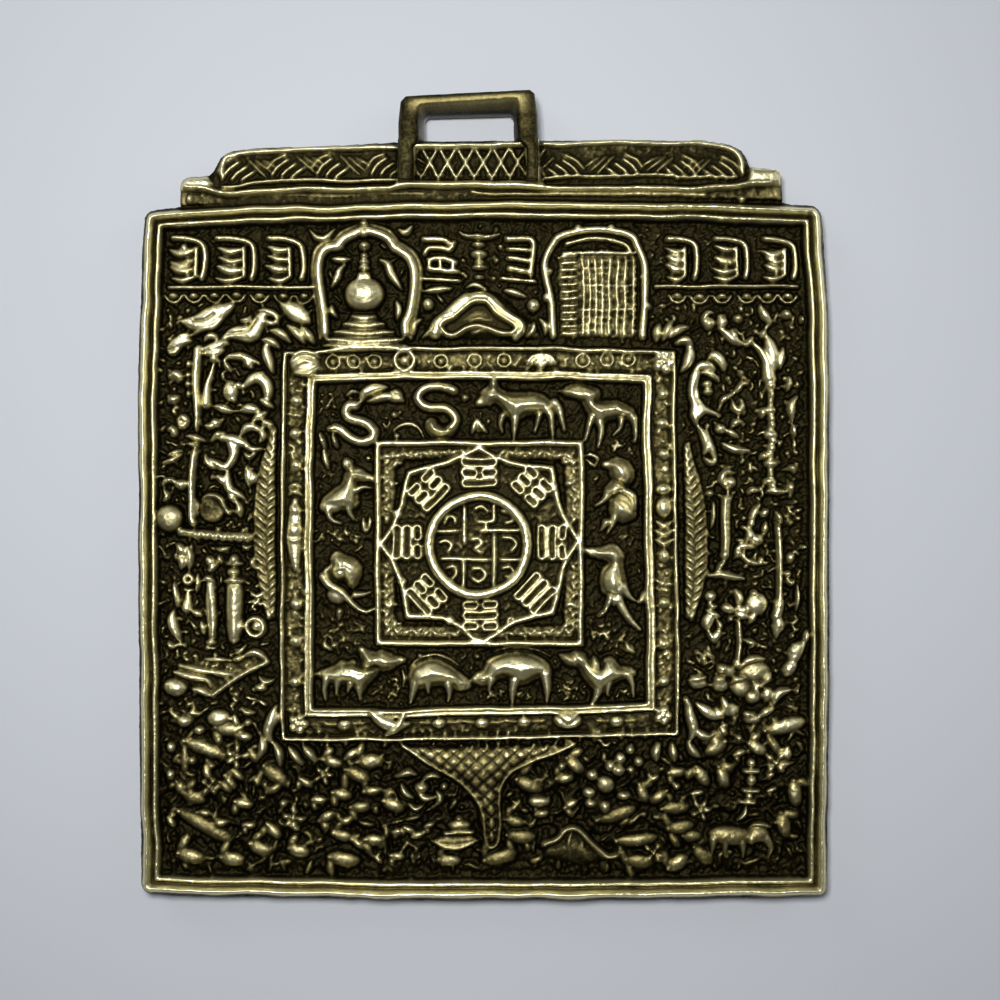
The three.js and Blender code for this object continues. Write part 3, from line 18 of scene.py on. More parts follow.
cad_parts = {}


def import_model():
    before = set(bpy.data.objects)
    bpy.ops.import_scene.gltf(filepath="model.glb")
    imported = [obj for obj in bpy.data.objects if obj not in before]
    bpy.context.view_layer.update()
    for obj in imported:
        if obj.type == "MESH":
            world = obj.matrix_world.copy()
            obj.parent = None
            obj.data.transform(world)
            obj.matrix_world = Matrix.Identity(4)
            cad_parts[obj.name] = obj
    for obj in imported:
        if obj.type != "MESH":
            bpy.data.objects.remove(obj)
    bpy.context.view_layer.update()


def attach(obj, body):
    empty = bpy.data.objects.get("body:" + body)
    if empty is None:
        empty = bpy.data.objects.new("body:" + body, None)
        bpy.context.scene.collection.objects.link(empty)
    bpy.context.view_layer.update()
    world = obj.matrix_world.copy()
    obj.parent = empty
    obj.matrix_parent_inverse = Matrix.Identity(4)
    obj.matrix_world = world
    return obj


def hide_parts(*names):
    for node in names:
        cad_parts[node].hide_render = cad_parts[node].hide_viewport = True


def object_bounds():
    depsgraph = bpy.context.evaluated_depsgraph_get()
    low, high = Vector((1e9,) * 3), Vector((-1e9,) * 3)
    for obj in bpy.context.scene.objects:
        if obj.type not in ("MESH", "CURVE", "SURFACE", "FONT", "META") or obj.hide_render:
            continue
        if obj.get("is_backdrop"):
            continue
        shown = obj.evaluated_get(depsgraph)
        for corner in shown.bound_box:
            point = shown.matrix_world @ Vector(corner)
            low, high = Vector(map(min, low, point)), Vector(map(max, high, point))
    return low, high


LOG = logging.getLogger("amulet")

MM = 0.001
FACE_SHIFT = 1.5
BEARING_HEIGHT = 44.1
PLATE_THICKNESS = 2.0
CARVING_PITCH = 0.13
FACE_LOW, FACE_HIGH = (-35.2, -35.7), (35.2, 42.2)
GRAIN_SEED = 41
CIRCLE_POINTS = 32
TINY = 1e-9

Point = tuple[float, float]
Path = Sequence[Point]
Tint = tuple[float, float, float, float]
Field = np.ndarray
Measure = float | np.ndarray
Patch = tuple[slice, slice, Field, Field]


def in_frame(u: Measure, v: Measure, h: Measure) -> tuple[Measure, Measure, Measure]:
    """Turns places on the face (right, up, out, in mm) into the frame's metres."""
    return ((u + FACE_SHIFT) * MM, -h * MM, (v - BEARING_HEIGHT) * MM)


def rounded(path: Path, step: float = 0.3) -> np.ndarray:
    """Draws a smooth line through the points of a path.

    Args:
        path: the points that the line passes through.
        step: the longest piece of line, in mm.

    Returns:
        The line's points, one row each.
    """
    points = np.asarray(path, float)
    if len(points) < 3:
        return points
    ends = np.vstack([2 * points[0] - points[1], points, 2 * points[-1] - points[-2]])
    drawn = []
    for k in range(1, len(points)):
        before, start, end, after = ends[k - 1], ends[k], ends[k + 1], ends[k + 2]
        count = max(2, int(np.ceil(np.hypot(*(end - start)) / step)))
        t = np.arange(count)[:, None] / count
        bend = 2 * before - 5 * start + 4 * end - after
        swing = 3 * start - before - 3 * end + after
        drawn.append(0.5 * (2 * start + (end - before) * t + bend * t**2 + swing * t**3))
    return np.vstack([*drawn, points[-1:]])


def circle(
        u: float, v: float, across: float, upright: float | None = None,
        turn: float = 0.0) -> list[Point]:
    """The points of an ellipse, turned by an angle in degrees.

    Args:
        u: its middle's right coordinate.
        v: its middle's up coordinate.
        across: half its width, in mm.
        upright: half its height, or None where it is round.
        turn: the angle that it is turned by, in degrees.

    Returns:
        The points, once round.
    """
    upright = across if upright is None else upright
    c, s = math.cos(math.radians(turn)), math.sin(math.radians(turn))
    turns = np.linspace(0, 2 * math.pi, CIRCLE_POINTS + 1)[:-1]
    ring = [(across * math.cos(a), upright * math.sin(a)) for a in turns]
    return [(u + x * c - y * s, v + x * s + y * c) for x, y in ring]


def box(left: float, low: float, right: float, high: float) -> list[Point]:
    """The corners of an upright rectangle."""
    return [(left, low), (right, low), (right, high), (left, high)]


class Taper(Enum):
    """How a stroke's width runs from its start to its end."""

    EVEN = "even"
    LEAF = "leaf"
    TAIL = "tail"
    DROP = "drop"

    def share(self, along: np.ndarray) -> np.ndarray:
        """The share of the full width at each place, from 0 at the start to 1 at the end.

        Args:
            along: how far along the stroke each place is, from 0 to 1.

        Returns:
            The share of the full width at each place.
        """
        if self is Taper.LEAF:
            return 0.25 + 0.75 * np.sin(math.pi * np.clip(along * 0.92 + 0.04, 0, 1))
        if self is Taper.TAIL:
            return 1.0 - 0.72 * along
        if self is Taper.DROP:
            return 0.28 + 0.72 * along
        return np.ones_like(along)


def line_gap(u: Field, v: Field, a: np.ndarray, b: np.ndarray) -> tuple[Field, Field]:
    """Measures how far places lie from a straight piece of line.

    Args:
        u: the places' right coordinates.
        v: the places' up coordinates.
        a: the line's start.
        b: the line's end.

    Returns:
        How far along the line each place is, from 0 to 1, and its distance from the line.
    """
    span = max(float(((b - a) ** 2).sum()), TINY)
    along = np.clip(((u - a[0]) * (b[0] - a[0]) + (v - a[1]) * (b[1] - a[1])) / span, 0, 1)
    return along, np.hypot(u - a[0] - along * (b[0] - a[0]), v - a[1] - along * (b[1] - a[1]))


def soften(field: Field, spread: float) -> Field:
    """Blurs a field.

    Args:
        field: the field to blur.
        spread: the blur's spread, in cells.

    Returns:
        The blurred field.
    """
    reach = max(1, int(3 * spread))
    taps = np.exp(-0.5 * (np.arange(-reach, reach + 1) / spread) ** 2)
    taps /= taps.sum()
    for axis in (0, 1):
        pad = [(0, 0), (0, 0)]
        pad[axis] = (reach, reach)
        wide = np.pad(field, pad, mode="edge")
        total = np.zeros_like(field)
        for k, tap in enumerate(taps):
            total += tap * (
                wide[k:k + field.shape[0], :] if axis == 0 else wide[:, k:k + field.shape[1]])
        field = total
    return field


class Relief:
    """The carved face: its height over the plate, and the element that each place belongs to."""

    ridge_share: Point = (0.55, 0.45)
    ridge_fullness: float = 2.5
    lump_share: Point = (0.6, 0.4)
    lump_fullness: float = 1.15
    plate_reach: float = 6.0
    pattern_reach: float = 0.4
    pattern_edge: float = 0.3

    def __init__(self, low: Point, high: Point, pitch: float = CARVING_PITCH) -> None:
        """Lays out a bare face.

        Args:
            low: the lowest corner of the face, in mm.
            high: the highest corner of the face, in mm.
            pitch: the distance between two places, in mm.
        """
        self.pitch = pitch
        self.low = low
        self.us = np.arange(low[0], high[0] + pitch, pitch)
        self.vs = np.arange(low[1], high[1] + pitch, pitch)
        self.height = np.zeros((len(self.vs), len(self.us)))
        self.owner = np.zeros(self.height.shape, np.int16)
        self.names = ["ground_plate"]
        self.mine = 0
        self.base = 0.0
        self.girth = 1.0

    def element(self, name: str, base: float = 0.0) -> "Relief":
        """Names the element that the next cuts belong to, and the height it stands on.

        Args:
            name: the element's name.
            base: the height it stands on, in mm.

        Returns:
            The face itself.
        """
        if name not in self.names:
            self.names.append(name)
        self.mine = self.names.index(name)
        self.base = base
        return self

    def window(self, u0: float, v0: float, u1: float, v1: float) -> Patch:
        """The rows and columns round a rectangle, and their places.

        Args:
            u0: the rectangle's left side.
            v0: its lower side.
            u1: its right side.
            v1: its upper side.

        Returns:
            Rows, columns, and the right and up coordinates of the places in them.
        """
        rows = slice(
            max(0, int((v0 - self.low[1]) / self.pitch)),
            max(0, int((v1 - self.low[1]) / self.pitch) + 2))
        cols = slice(
            max(0, int((u0 - self.low[0]) / self.pitch)),
            max(0, int((u1 - self.low[0]) / self.pitch) + 2))
        return rows, cols, *np.meshgrid(self.us[cols], self.vs[rows])

    def lay(self, rows: slice, cols: slice, inside: Field, value: Field) -> None:
        """Keeps the higher of the old and the new surface.

        Args:
            rows: the rows of the patch.
            cols: its columns.
            inside: where in it the new surface is.
            value: the new surface's height.
        """
        old = self.height[rows, cols]
        wins = inside & (value > old)
        old[wins] = value[wins]
        self.owner[rows, cols][wins] = self.mine

    def stroke(self, path: Path, width: float, height: float, taper: Taper = Taper.EVEN,
               round_off: float = 0.6, straight: bool = False) -> None:
        """Lays a rounded ridge along a path.

        Args:
            path: the ridge's middle line.
            width: its full width, in mm.
            height: its height over the element's base, in mm.
            taper: how the width runs.
            round_off: 0.5 for a round back, 1 for a flatter, softer one.
            straight: True keeps the path's corners.
        """
        line = np.asarray(path, float) if straight else rounded(path)
        steps = np.hypot(*np.diff(line, axis=0).T)
        along = np.concatenate([[0.0], np.cumsum(steps)]) / max(steps.sum(), TINY)
        width *= self.girth
        shares = taper.share(along)
        for k in range(len(line) - 1):
            a, b = line[k], line[k + 1]
            ra, rb = shares[k] * width / 2, shares[k + 1] * width / 2
            reach = max(ra, rb)
            rows, cols, u, v = self.window(
                *(np.minimum(a, b) - reach), *(np.maximum(a, b) + reach))
            t, gap = line_gap(u, v, a, b)
            r = ra + (rb - ra) * t
            ratio = np.minimum(gap / r, 1.0)
            tall = height * (self.ridge_share[0] + self.ridge_share[1] * r * 2 / width)
            rise = tall * (1 - ratio**self.ridge_fullness) ** round_off
            self.lay(rows, cols, gap < r, self.base + rise)

    def leaf(self, path: Path, width: float, height: float) -> None:
        """A ridge that is thin at both ends."""
        self.stroke(path, width, height, Taper.LEAF)

    def tail(self, path: Path, width: float, height: float) -> None:
        """A ridge that thins to its end."""
        self.stroke(path, width, height, Taper.TAIL)

    def dome(self, u: float, v: float, across: float, upright: float, height: float,
             turn: float = 0.0, round_off: float = 0.6) -> None:
        """A rounded lump of two half widths, turned by an angle in degrees.

        Args:
            u: its middle's right coordinate.
            v: its middle's up coordinate.
            across: half its width, in mm.
            upright: half its height, in mm.
            height: how high it stands over the element's base, in mm.
            turn: the angle that it is turned by.
            round_off: 0.5 for a round back, 1 for a flatter, softer one.
        """
        stouter = self.lump_share[0] + self.lump_share[1] * self.girth
        across, upright = across * stouter, upright * stouter
        reach = max(across, upright)
        rows, cols, x, y = self.window(u - reach, v - reach, u + reach, v + reach)
        c, s = math.cos(math.radians(turn)), math.sin(math.radians(turn))
        x, y = (x - u) * c + (y - v) * s, (y - v) * c - (x - u) * s
        ratio = np.minimum((x / across) ** 2 + (y / upright) ** 2, 1.0)
        rise = height * (1 - ratio**self.lump_fullness) ** round_off
        self.lay(rows, cols, ratio < 1, self.base + rise)

    def bead(self, u: float, v: float, radius: float, height: float) -> None:
        """A round lump."""
        self.dome(u, v, radius, radius, height)

    def ring(
            self, u: float, v: float, radius: float, width: float, height: float,
            upright: float | None = None) -> None:
        """A ridge that closes on itself."""
        loop = circle(u, v, radius, upright)
        self.stroke([*loop, loop[0]], width, height, straight=True)

    def depth_inside(self, outline: Path, reach: float) -> Patch:
        """Measures how far inside an outline each place lies.

        Args:
            outline: the corners, in order.
            reach: the greatest depth that matters, in mm.

        Returns:
            Rows, columns, whether each place is inside, and its distance to the outline.
        """
        points = np.asarray(outline, float)
        rows, cols, u, v = self.window(*points.min(0), *points.max(0))
        inside = np.zeros(u.shape, bool)
        near = np.full(u.shape, reach)
        for a, b in zip(points, np.roll(points, -1, axis=0)):
            if a[1] != b[1]:
                crosses = (v >= min(a[1], b[1])) & (v < max(a[1], b[1]))
                inside ^= crosses & (u < a[0] + (v - a[1]) * (b[0] - a[0]) / (b[1] - a[1]))
            near = np.minimum(near, line_gap(u, v, a, b)[1])
        return rows, cols, inside, near

    def plate(self, outline: Path, height: float, edge: float = 0.3, crown: float = 0.0) -> None:
        """A flat raised form with a rounded edge.

        Args:
            outline: its corners.
            height: its height over the base, in mm.
            edge: how far in the rounding runs, in mm.
            crown: how much its middle stands higher, in mm.
        """
        rows, cols, inside, near = self.depth_inside(outline, self.plate_reach)
        edge_share = np.clip(near / edge, 0, 1)
        middle = near / max(float(near[inside].max(initial=1e-6)), 1e-6)
        rise = height * np.sqrt(1 - (1 - edge_share) ** 2) + crown * np.clip(middle, 0, 1)
        self.lay(rows, cols, inside, self.base + rise)

    def moulding(self, outline: Path, section: Path) -> None:
        """Runs a moulding along the inside of an outline.

        Args:
            outline: the moulding's outer edge.
            section: pairs of the distance inward and the height there, in mm.
        """
        across, rise = np.asarray(section, float).T
        rows, cols, inside, near = self.depth_inside(outline, across[-1] + 1)
        value = self.base + np.interp(near, across, rise)
        self.lay(rows, cols, inside & (near >= across[0]) & (near <= across[-1]), value)

    def groove(self, path: Path, width: float, depth: float, straight: bool = False) -> None:
        """Cuts a groove into whatever stands there.

        Args:
            path: the groove's middle line.
            width: its full width, in mm.
            depth: its depth in the middle, in mm.
            straight: True keeps the path's corners.
        """
        line = np.asarray(path, float) if straight else rounded(path)
        reach = width / 2
        rows, cols, u, v = self.window(*(line.min(0) - reach), *(line.max(0) + reach))
        bite = np.zeros(u.shape)
        for a, b in zip(line, line[1:]):
            gap = line_gap(u, v, a, b)[1]
            bite = np.maximum(bite, depth * (1 - np.minimum(gap / reach, 1) ** 2))
        self.height[rows, cols] -= bite

    def pattern(self, outline: Path, height: Callable[[Field, Field], Field]) -> None:
        """Raises a pattern over everything inside an outline.

        Args:
            outline: the outline's corners.
            height: gives the rise at each place, in mm.
        """
        rows, cols, inside, near = self.depth_inside(outline, self.pattern_reach)
        _, _, u, v = self.window(*np.min(outline, axis=0), *np.max(outline, axis=0))
        fade = np.clip(near / self.pattern_edge, 0, 1)
        self.height[rows, cols] += np.where(inside, height(u, v) * fade, 0.0)


class PlateOutline:
    """The edge of the whole plate, as it was cast: bowed sides and a stepped, tilted head."""

    def panel(self) -> list[Point]:
        """The square panel alone.

        Returns:
            The corners, in order.
        """
        return [(-33.3, -34.3), (-28.0, -34.55), (-18.0, -34.7), (-7.0, -34.9), (4.0, -34.9),
                (15.0, -34.85), (25.0, -34.7), (33.2, -34.5), (33.9, -34.3), (34.2, -33.7),
                (34.35, -25.0), (34.5, -10.0), (34.5, 3.0), (34.45, 15.0), (34.3, 24.5),
                (33.9, 31.0), (33.7, 33.4), (33.4, 34.1), (32.8, 34.4), (20.0, 34.85),
                (12.0, 34.95), (3.0, 35.1), (-5.0, 35.0), (-18.0, 34.7), (-25.0, 34.45),
                (-32.6, 34.0), (-33.5, 33.8), (-33.9, 33.1), (-34.1, 30.0), (-34.5, 18.0),
                (-34.5, 5.0), (-34.5, -8.0), (-34.4, -20.0), (-34.2, -33.3), (-33.9, -34.0)]

    def whole(self) -> list[Point]:
        """The panel with the ledge and the rails behind its top edge.

        Returns:
            The corners, in order.
        """
        panel = self.panel()
        head = [(31.0, 34.5), (29.8, 34.75), (29.75, 36.0), (29.65, 37.4), (29.2, 37.85),
                (27.4, 38.05), (26.5, 38.2), (26.3, 39.0), (25.7, 39.9), (24.5, 40.5),
                (22.0, 40.85), (16.5, 40.95), (5.0, 40.9), (-8.0, 40.8), (-14.5, 40.35),
                (-22.0, 40.15), (-25.0, 39.85), (-26.3, 39.2), (-27.0, 37.8), (-27.5, 37.35),
                (-29.7, 37.15), (-30.2, 36.6), (-30.3, 35.4), (-30.3, 34.3)]
        return [*panel[:19], *head, *panel[25:]]


# How much less than its neighbours each element is rubbed, where the photograph shows it so:
# partly its own patina, partly painted shade (positive values, on the jewel, mirror, stupa and
# vase) and painted highlight (negative values, on the ledge, tablets and shell band).
PATINA_AND_PAINTED_LIGHT = {
    "upper_rail_left": 0.16, "upper_rail_right": 0.18, "lower_ledge": -0.06, "tail_scales": 0.02,
    "mirror_disc": 0.34, "tall_vase": 0.18, "ornament_row_left": 0.12, "ornament_row_right": 0.16,
    "flank_scales_left": 0.05, "flank_scales_right": 0.12, "elephant": 0.12, "mountain": 0.12,
    "stupa": 0.18, "offering_bowl": 0.12, "jewel_sphere": 0.36, "shell_frame": -0.02,
    "rim_frame": 0.08, "inscription_tablet": -0.10, "tablet_niche_arch": -0.06}


@dataclass(frozen=True)
class RubbingAndPaintedLight:
    """What handling polished and what stayed black, from the shape of the face, with painted shade
    on the field's foot and a painted highlight on the rim's foot.
    """

    near: Point = (0.35, 0.16)
    wide: Point = (1.0, 0.34)
    full_lift: float = 0.9
    wear_and_painted_light: tuple[float, float, float, float] = (0.18, 0.34, 0.12, 0.34)
    patina_and_painted_shade: tuple[float, float, float, float] = (0.64, 1.15, 0.2, 0.55)
    # Painted shade: below this level, over a band this deep, the field is painted duller and
    # darker by these shares.
    painted_shade_band: Point = (-15.0, 8.0)
    painted_shade_dulling: float = 0.31
    painted_shade_darkening: float = 0.10
    # Painted highlight: below this level the rim is painted more rubbed, brighter and glossier, by
    # this share.
    painted_highlight_band: Point = (-29.0, 2.0)
    painted_highlight_shine: float = 0.12
    back_wear: float = 0.32
    back_hollow: float = 0.3

    @staticmethod
    def over(height: Field, cells: float, blur: Point) -> Field:
        """How far each place stands over its surroundings, given their spread and a full step."""
        return np.clip((height - soften(height, blur[0] * cells)) / blur[1], -1, 1)

    @staticmethod
    def below(v: Field, band: Point) -> Field:
        """How far below a level each row lies, from 0 at the level to 1 a band's depth below."""
        return np.clip((band[0] - v) / band[1], 0, 1)[:, None]

    def marks(self, relief: Relief) -> tuple[Field, Field]:
        """How rubbed and how patinated each place is, from 0 to 1, with painted shade and painted
        highlight mixed in.

        Args:
            relief: the finished face.

        Returns:
            The rubbed share, which carries painted shade and painted highlight, and the patina
            share, which carries painted shade.
        """
        cells = 1.0 / relief.pitch
        proud = self.over(relief.height, cells, self.near)
        stand = self.over(relief.height, cells, self.wide)
        lift = np.clip(relief.height / self.full_lift, 0, 1)
        # Each element's own dulling: partly patina, partly painted shade and painted highlight.
        dulling_and_painted_light = np.array([PATINA_AND_PAINTED_LIGHT.get(name, 0.0) for name in relief.names])[relief.owner]
        in_field = relief.owner != relief.names.index("rim_frame")
        # Painted shade: the field is painted duller and darker towards its foot.
        painted_shade = in_field * self.below(relief.vs, self.painted_shade_band)
        dulling_and_painted_light = dulling_and_painted_light + self.painted_shade_dulling * painted_shade
        # Painted highlight: the rim's foot is painted more rubbed, brighter and glossier.
        dulling_and_painted_light = dulling_and_painted_light - self.painted_highlight_shine * ~in_field * self.below(relief.vs, self.painted_highlight_band)
        start, by_lift, by_proud, by_stand = self.wear_and_painted_light
        wear_and_painted_light = np.clip(start - dulling_and_painted_light + by_lift * lift + by_proud * proud + by_stand * stand, 0, 1)
        start, by_lift, by_proud, by_stand = self.patina_and_painted_shade
        patina_and_painted_shade = start + self.painted_shade_darkening * painted_shade - by_lift * lift - by_proud * proud
        return wear_and_painted_light, np.clip(patina_and_painted_shade - by_stand * stand, 0, 1)


class CastSkin:
    """Cuts the finished face into one closed piece for each element."""

    side_steps: Path = (
        (-0.25, 0.0), (-0.9, 0.03), (-1.5, 0.02), (-1.8, 0.12), (-PLATE_THICKNESS, 0.4))
    side_wave: float = 0.02
    side_wave_rate: float = 0.05
    back_pitch: float = 1.1
    back_low: Point = (-33.2, -33.4)
    back_high: Point = (33.3, 39.9)
    back_margin: float = 0.5
    back_sag: Point = (0.05, 0.035)
    sag_limit: float = 0.08
    merge_within: float = 1e-6
    fit_reach: float = 9.0

    def __init__(self, relief: Relief, outline: list[Point]) -> None:
        """Fits the face to the plate's edge.

        Args:
            relief: the finished face.
            outline: the plate's edge.
        """
        self.relief = relief
        self.rubbing_and_painted_light = RubbingAndPaintedLight()
        self.u, self.v = np.meshgrid(relief.us, relief.vs)
        self.height = relief.height
        self.wear_and_painted_light, self.patina_and_painted_shade = self.rubbing_and_painted_light.marks(relief)
        inside = np.zeros(self.u.shape, bool)
        rows, cols, within, _ = relief.depth_inside(outline, 1.0)
        inside[rows, cols] = within
        self.kept = inside[:-1, :-1] & inside[1:, :-1] & inside[:-1, 1:] & inside[1:, 1:]
        highest = self.corners(self.height).argmax(0)[None]
        self.cell = np.take_along_axis(self.corners(relief.owner), highest, 0)[0]
        self.fit_edge(outline)
        self.normals = self.slopes()

    @staticmethod
    def corners(field: Field) -> np.ndarray:
        """A field's values at the four corners of every cell."""
        return np.stack([field[:-1, :-1], field[:-1, 1:], field[1:, 1:], field[1:, :-1]])

    def slopes(self) -> Field:
        """The outward direction at each place, in the frame.

        Returns:
            A direction of length 1 for each place.
        """
        rise_v, rise_u = np.gradient(self.height, self.relief.pitch)
        out = np.stack([-rise_u, -np.ones_like(rise_u), -rise_v], axis=-1)
        return out / np.linalg.norm(out, axis=-1, keepdims=True)

    def open_edges(self, mask: Field) -> np.ndarray:
        """The directed edges of a set of cells that have no neighbour in the set.

        Args:
            mask: which cells are in the set.

        Returns:
            Pairs of point numbers, in the direction in which their cell runs.
        """
        wide = np.pad(mask, 1)
        columns = self.u.shape[1]
        found = []
        sides = (
            ((0, -1), (0, 0), (0, 1)), ((1, 0), (0, 1), (1, 1)), ((0, 1), (1, 1), (1, 0)),
            ((-1, 0), (1, 0), (0, 0)))
        for (dc, dr), (r0, c0), (r1, c1) in sides:
            lone = mask & ~wide[1 + dr:1 + dr + mask.shape[0], 1 + dc:1 + dc + mask.shape[1]]
            rows, cols = np.nonzero(lone)
            ends = [(rows + r0) * columns + cols + c0, (rows + r1) * columns + cols + c1]
            found.append(np.stack(ends, axis=1))
        return np.vstack(found)

    def fit_edge(self, outline: list[Point]) -> None:
        """Moves the outermost points onto the plate's edge.

        Args:
            outline: the plate's edge.
        """
        line = np.asarray(outline, float)
        ends = np.roll(line, -1, axis=0)
        edge = np.unique(self.open_edges(self.kept))
        flat_u, flat_v = self.u.ravel(), self.v.ravel()
        places = np.stack([flat_u[edge], flat_v[edge]], axis=1)
        best = np.full(len(edge), self.fit_reach)
        target = places.copy()
        for a, b in zip(line, ends):
            span = max(float(((b - a) ** 2).sum()), TINY)
            t = np.clip((places - a) @ (b - a) / span, 0, 1)[:, None]
            foot = a + t * (b - a)
            gap = np.linalg.norm(places - foot, axis=1)
            closer = gap < best
            best[closer], target[closer] = gap[closer], foot[closer]
        flat_u[edge], flat_v[edge] = target[:, 0], target[:, 1]
        self.u, self.v = flat_u.reshape(self.u.shape), flat_v.reshape(self.v.shape)

    def cells(self, mask: Field) -> np.ndarray:
        """The corner numbers of every cell in a set, seen from the front.

        Args:
            mask: which cells are in the set.

        Returns:
            Four point numbers for each cell.
        """
        rows, cols = np.nonzero(mask)
        columns = self.u.shape[1]
        first = rows * columns + cols
        return np.stack([first, first + 1, first + columns + 1, first + columns], axis=1)

    def shape(
            self, name: str, points: np.ndarray, faces: np.ndarray, marks: dict[str, np.ndarray],
            directions: np.ndarray | None = None,
            triangles: np.ndarray | None = None) -> bpy.types.Object:
        """Makes a mesh object.

        Args:
            name: the piece's name.
            points: face places (right, up, out), one row each.
            faces: corner numbers of its four-sided faces.
            marks: values for each point, by attribute name.
            directions: the outward direction of each corner of the first faces.
            triangles: corner numbers of its three-sided faces.

        Returns:
            The object, linked to the scene.
        """
        placed = np.stack(in_frame(*points.T), axis=1)
        three = np.zeros((0, 3), int) if triangles is None else triangles
        corners = np.concatenate([faces.ravel(), three.ravel()])
        starts = np.concatenate([np.arange(len(faces)) * 4,
                                 len(faces) * 4 + np.arange(len(three)) * 3])
        mesh = bpy.data.meshes.new(name)
        mesh.vertices.add(len(placed))
        mesh.vertices.foreach_set("co", placed.ravel().astype(np.float32))
        mesh.loops.add(len(corners))
        mesh.loops.foreach_set("vertex_index", corners.astype(np.int32))
        mesh.polygons.add(len(starts))
        mesh.polygons.foreach_set("loop_start", starts.astype(np.int32))
        mesh.update(calc_edges=True)
        for mark, values in marks.items():
            mesh.attributes.new(mark, "FLOAT", "POINT").data.foreach_set(
                "value", values.astype(np.float32))
        smooth = np.zeros(len(starts), bool)
        smooth[:len(starts) if directions is None else len(directions) // 4] = True
        mesh.polygons.foreach_set("use_smooth", smooth)
        if directions is not None:
            turned = np.zeros((len(corners), 3))
            turned[:len(directions)] = directions
            mesh.normals_split_custom_set(turned.tolist())
        item = bpy.data.objects.new(name, mesh)
        bpy.context.scene.collection.objects.link(item)
        return item

    def element(self, name: str, foot: float = -0.3) -> bpy.types.Object | None:
        """Cuts out the piece of one element, closed down to its foot.

        Args:
            name: the element's name.
            foot: how deep its foot goes into the plate, in mm.

        Returns:
            The piece, or None where nothing of it shows.
        """
        mask = self.kept & (self.cell == self.relief.names.index(name))
        front = self.cells(mask)
        if not len(front):
            return None
        edges = self.open_edges(mask)
        used, inverse = np.unique(front, return_inverse=True)
        front = inverse.reshape(front.shape)
        rim = np.searchsorted(used, edges)
        count = len(used)
        top = np.stack(
            [self.u.ravel()[used], self.v.ravel()[used], self.height.ravel()[used]], axis=1)
        under = top.copy()
        under[:, 2] = foot
        walls = np.stack([rim[:, 1], rim[:, 0], rim[:, 0] + count, rim[:, 1] + count], axis=1)
        faces = np.vstack([front, walls, front[:, ::-1] + count])
        marks = {
            "wear_and_painted_light": np.tile(self.wear_and_painted_light.ravel()[used], 2),
            "patina_and_painted_shade": np.tile(self.patina_and_painted_shade.ravel()[used], 2),
        }
        directions = self.normals.reshape(-1, 3)[used][front.ravel()]
        return self.shape(name + "_cast", np.vstack([top, under]), faces, marks, directions)

    def edge_loop(self, edges: np.ndarray) -> np.ndarray:
        """Puts the edge's points in order.

        Args:
            edges: pairs of point numbers, in any order.

        Returns:
            The point numbers, once round.
        """
        after = dict(edges.tolist())
        first = int(edges[0, 0])
        loop = [first]
        while after[loop[-1]] != first:
            loop.append(after[loop[-1]])
        return np.array(loop)

    def ground(self, floor: float = -0.2) -> bpy.types.Object:
        """Cuts out the plate: its ground between the elements, its sides and its uneven back.

        Args:
            floor: how deep the plate is hollowed where an element stands on it, in mm.

        Returns:
            The piece.
        """
        front = self.cells(self.kept)
        bare = self.cells(self.kept & (self.cell == 0))
        height = np.full(self.height.size, floor)
        seen = np.unique(np.concatenate([bare.ravel(), self.open_edges(self.kept).ravel()]))
        height[seen] = self.height.ravel()[seen]
        used, inverse = np.unique(front, return_inverse=True)
        front = inverse.reshape(front.shape)
        loop = np.searchsorted(used, self.edge_loop(self.open_edges(self.kept)))
        top = np.stack([self.u.ravel()[used], self.v.ravel()[used], height[used]], axis=1)
        ends = top[loop]
        run = np.roll(ends, -3, axis=0) - np.roll(ends, 3, axis=0)
        inward = np.stack([-run[:, 1], run[:, 0]], axis=1)
        inward /= np.linalg.norm(run[:, :2], axis=1, keepdims=True)
        points, faces = [top], [front]
        last = loop
        for drop, inset in self.side_steps:
            ring = ends.copy()
            ring[:, :2] += inward * inset
            wave = self.side_wave * np.sin(np.arange(len(ring)) * self.side_wave_rate)
            wave *= drop > -PLATE_THICKNESS
            ring[:, :2] += inward * wave[:, None]
            ring[:, 2] = drop
            start = sum(len(p) for p in points)
            this = start + np.arange(len(ring))
            faces.append(np.stack([np.roll(last, -1), last, this, np.roll(this, -1)], axis=1))
            points.append(ring)
            last = this
        inner_u, inner_v = np.meshgrid(
            *(np.arange(self.back_low[k], self.back_high[k], self.back_pitch) for k in (0, 1)))
        inner = np.stack([inner_u.ravel(), inner_v.ravel()], axis=1)
        low_corner, high_corner = points[-1][:, :2].min(0), points[-1][:, :2].max(0)
        within = (inner > low_corner + self.back_margin) & (inner < high_corner - self.back_margin)
        inner = inner[within.all(1)]
        border = points[-1][:, :2]
        count = len(border)
        chain = [(k, (k + 1) % count) for k in range(count)]
        flat = [Vector(p) for p in [*border.tolist(), *inner.tolist()]]
        verts, _, tris, sources, _, _ = delaunay_2d_cdt(flat, chain, [], 1, self.merge_within)
        number = np.full(len(verts), -1)
        fresh = []
        start = sum(len(p) for p in points)
        for k, source in enumerate(sources):
            on_border = [s for s in source if s < count]
            if on_border:
                number[k] = last[on_border[0]]
            else:
                number[k] = start + len(fresh)
                fresh.append((verts[k][0], verts[k][1]))
        back = np.array(fresh)
        broad = self.back_sag[0] * np.sin(back[:, 0] * 0.21 + 1.0) * np.cos(back[:, 1] * 0.17)
        sag = broad + self.back_sag[1] * np.sin(back[:, 0] * 0.73 + back[:, 1] * 0.51)
        points.append(np.column_stack([back, -PLATE_THICKNESS + np.clip(sag, 0, self.sag_limit)]))
        triangles = number[np.array([t[:3] for t in tris])]
        whole = np.vstack(points)
        a, b, c = (whole[triangles[:, k]][:, :2] for k in range(3))
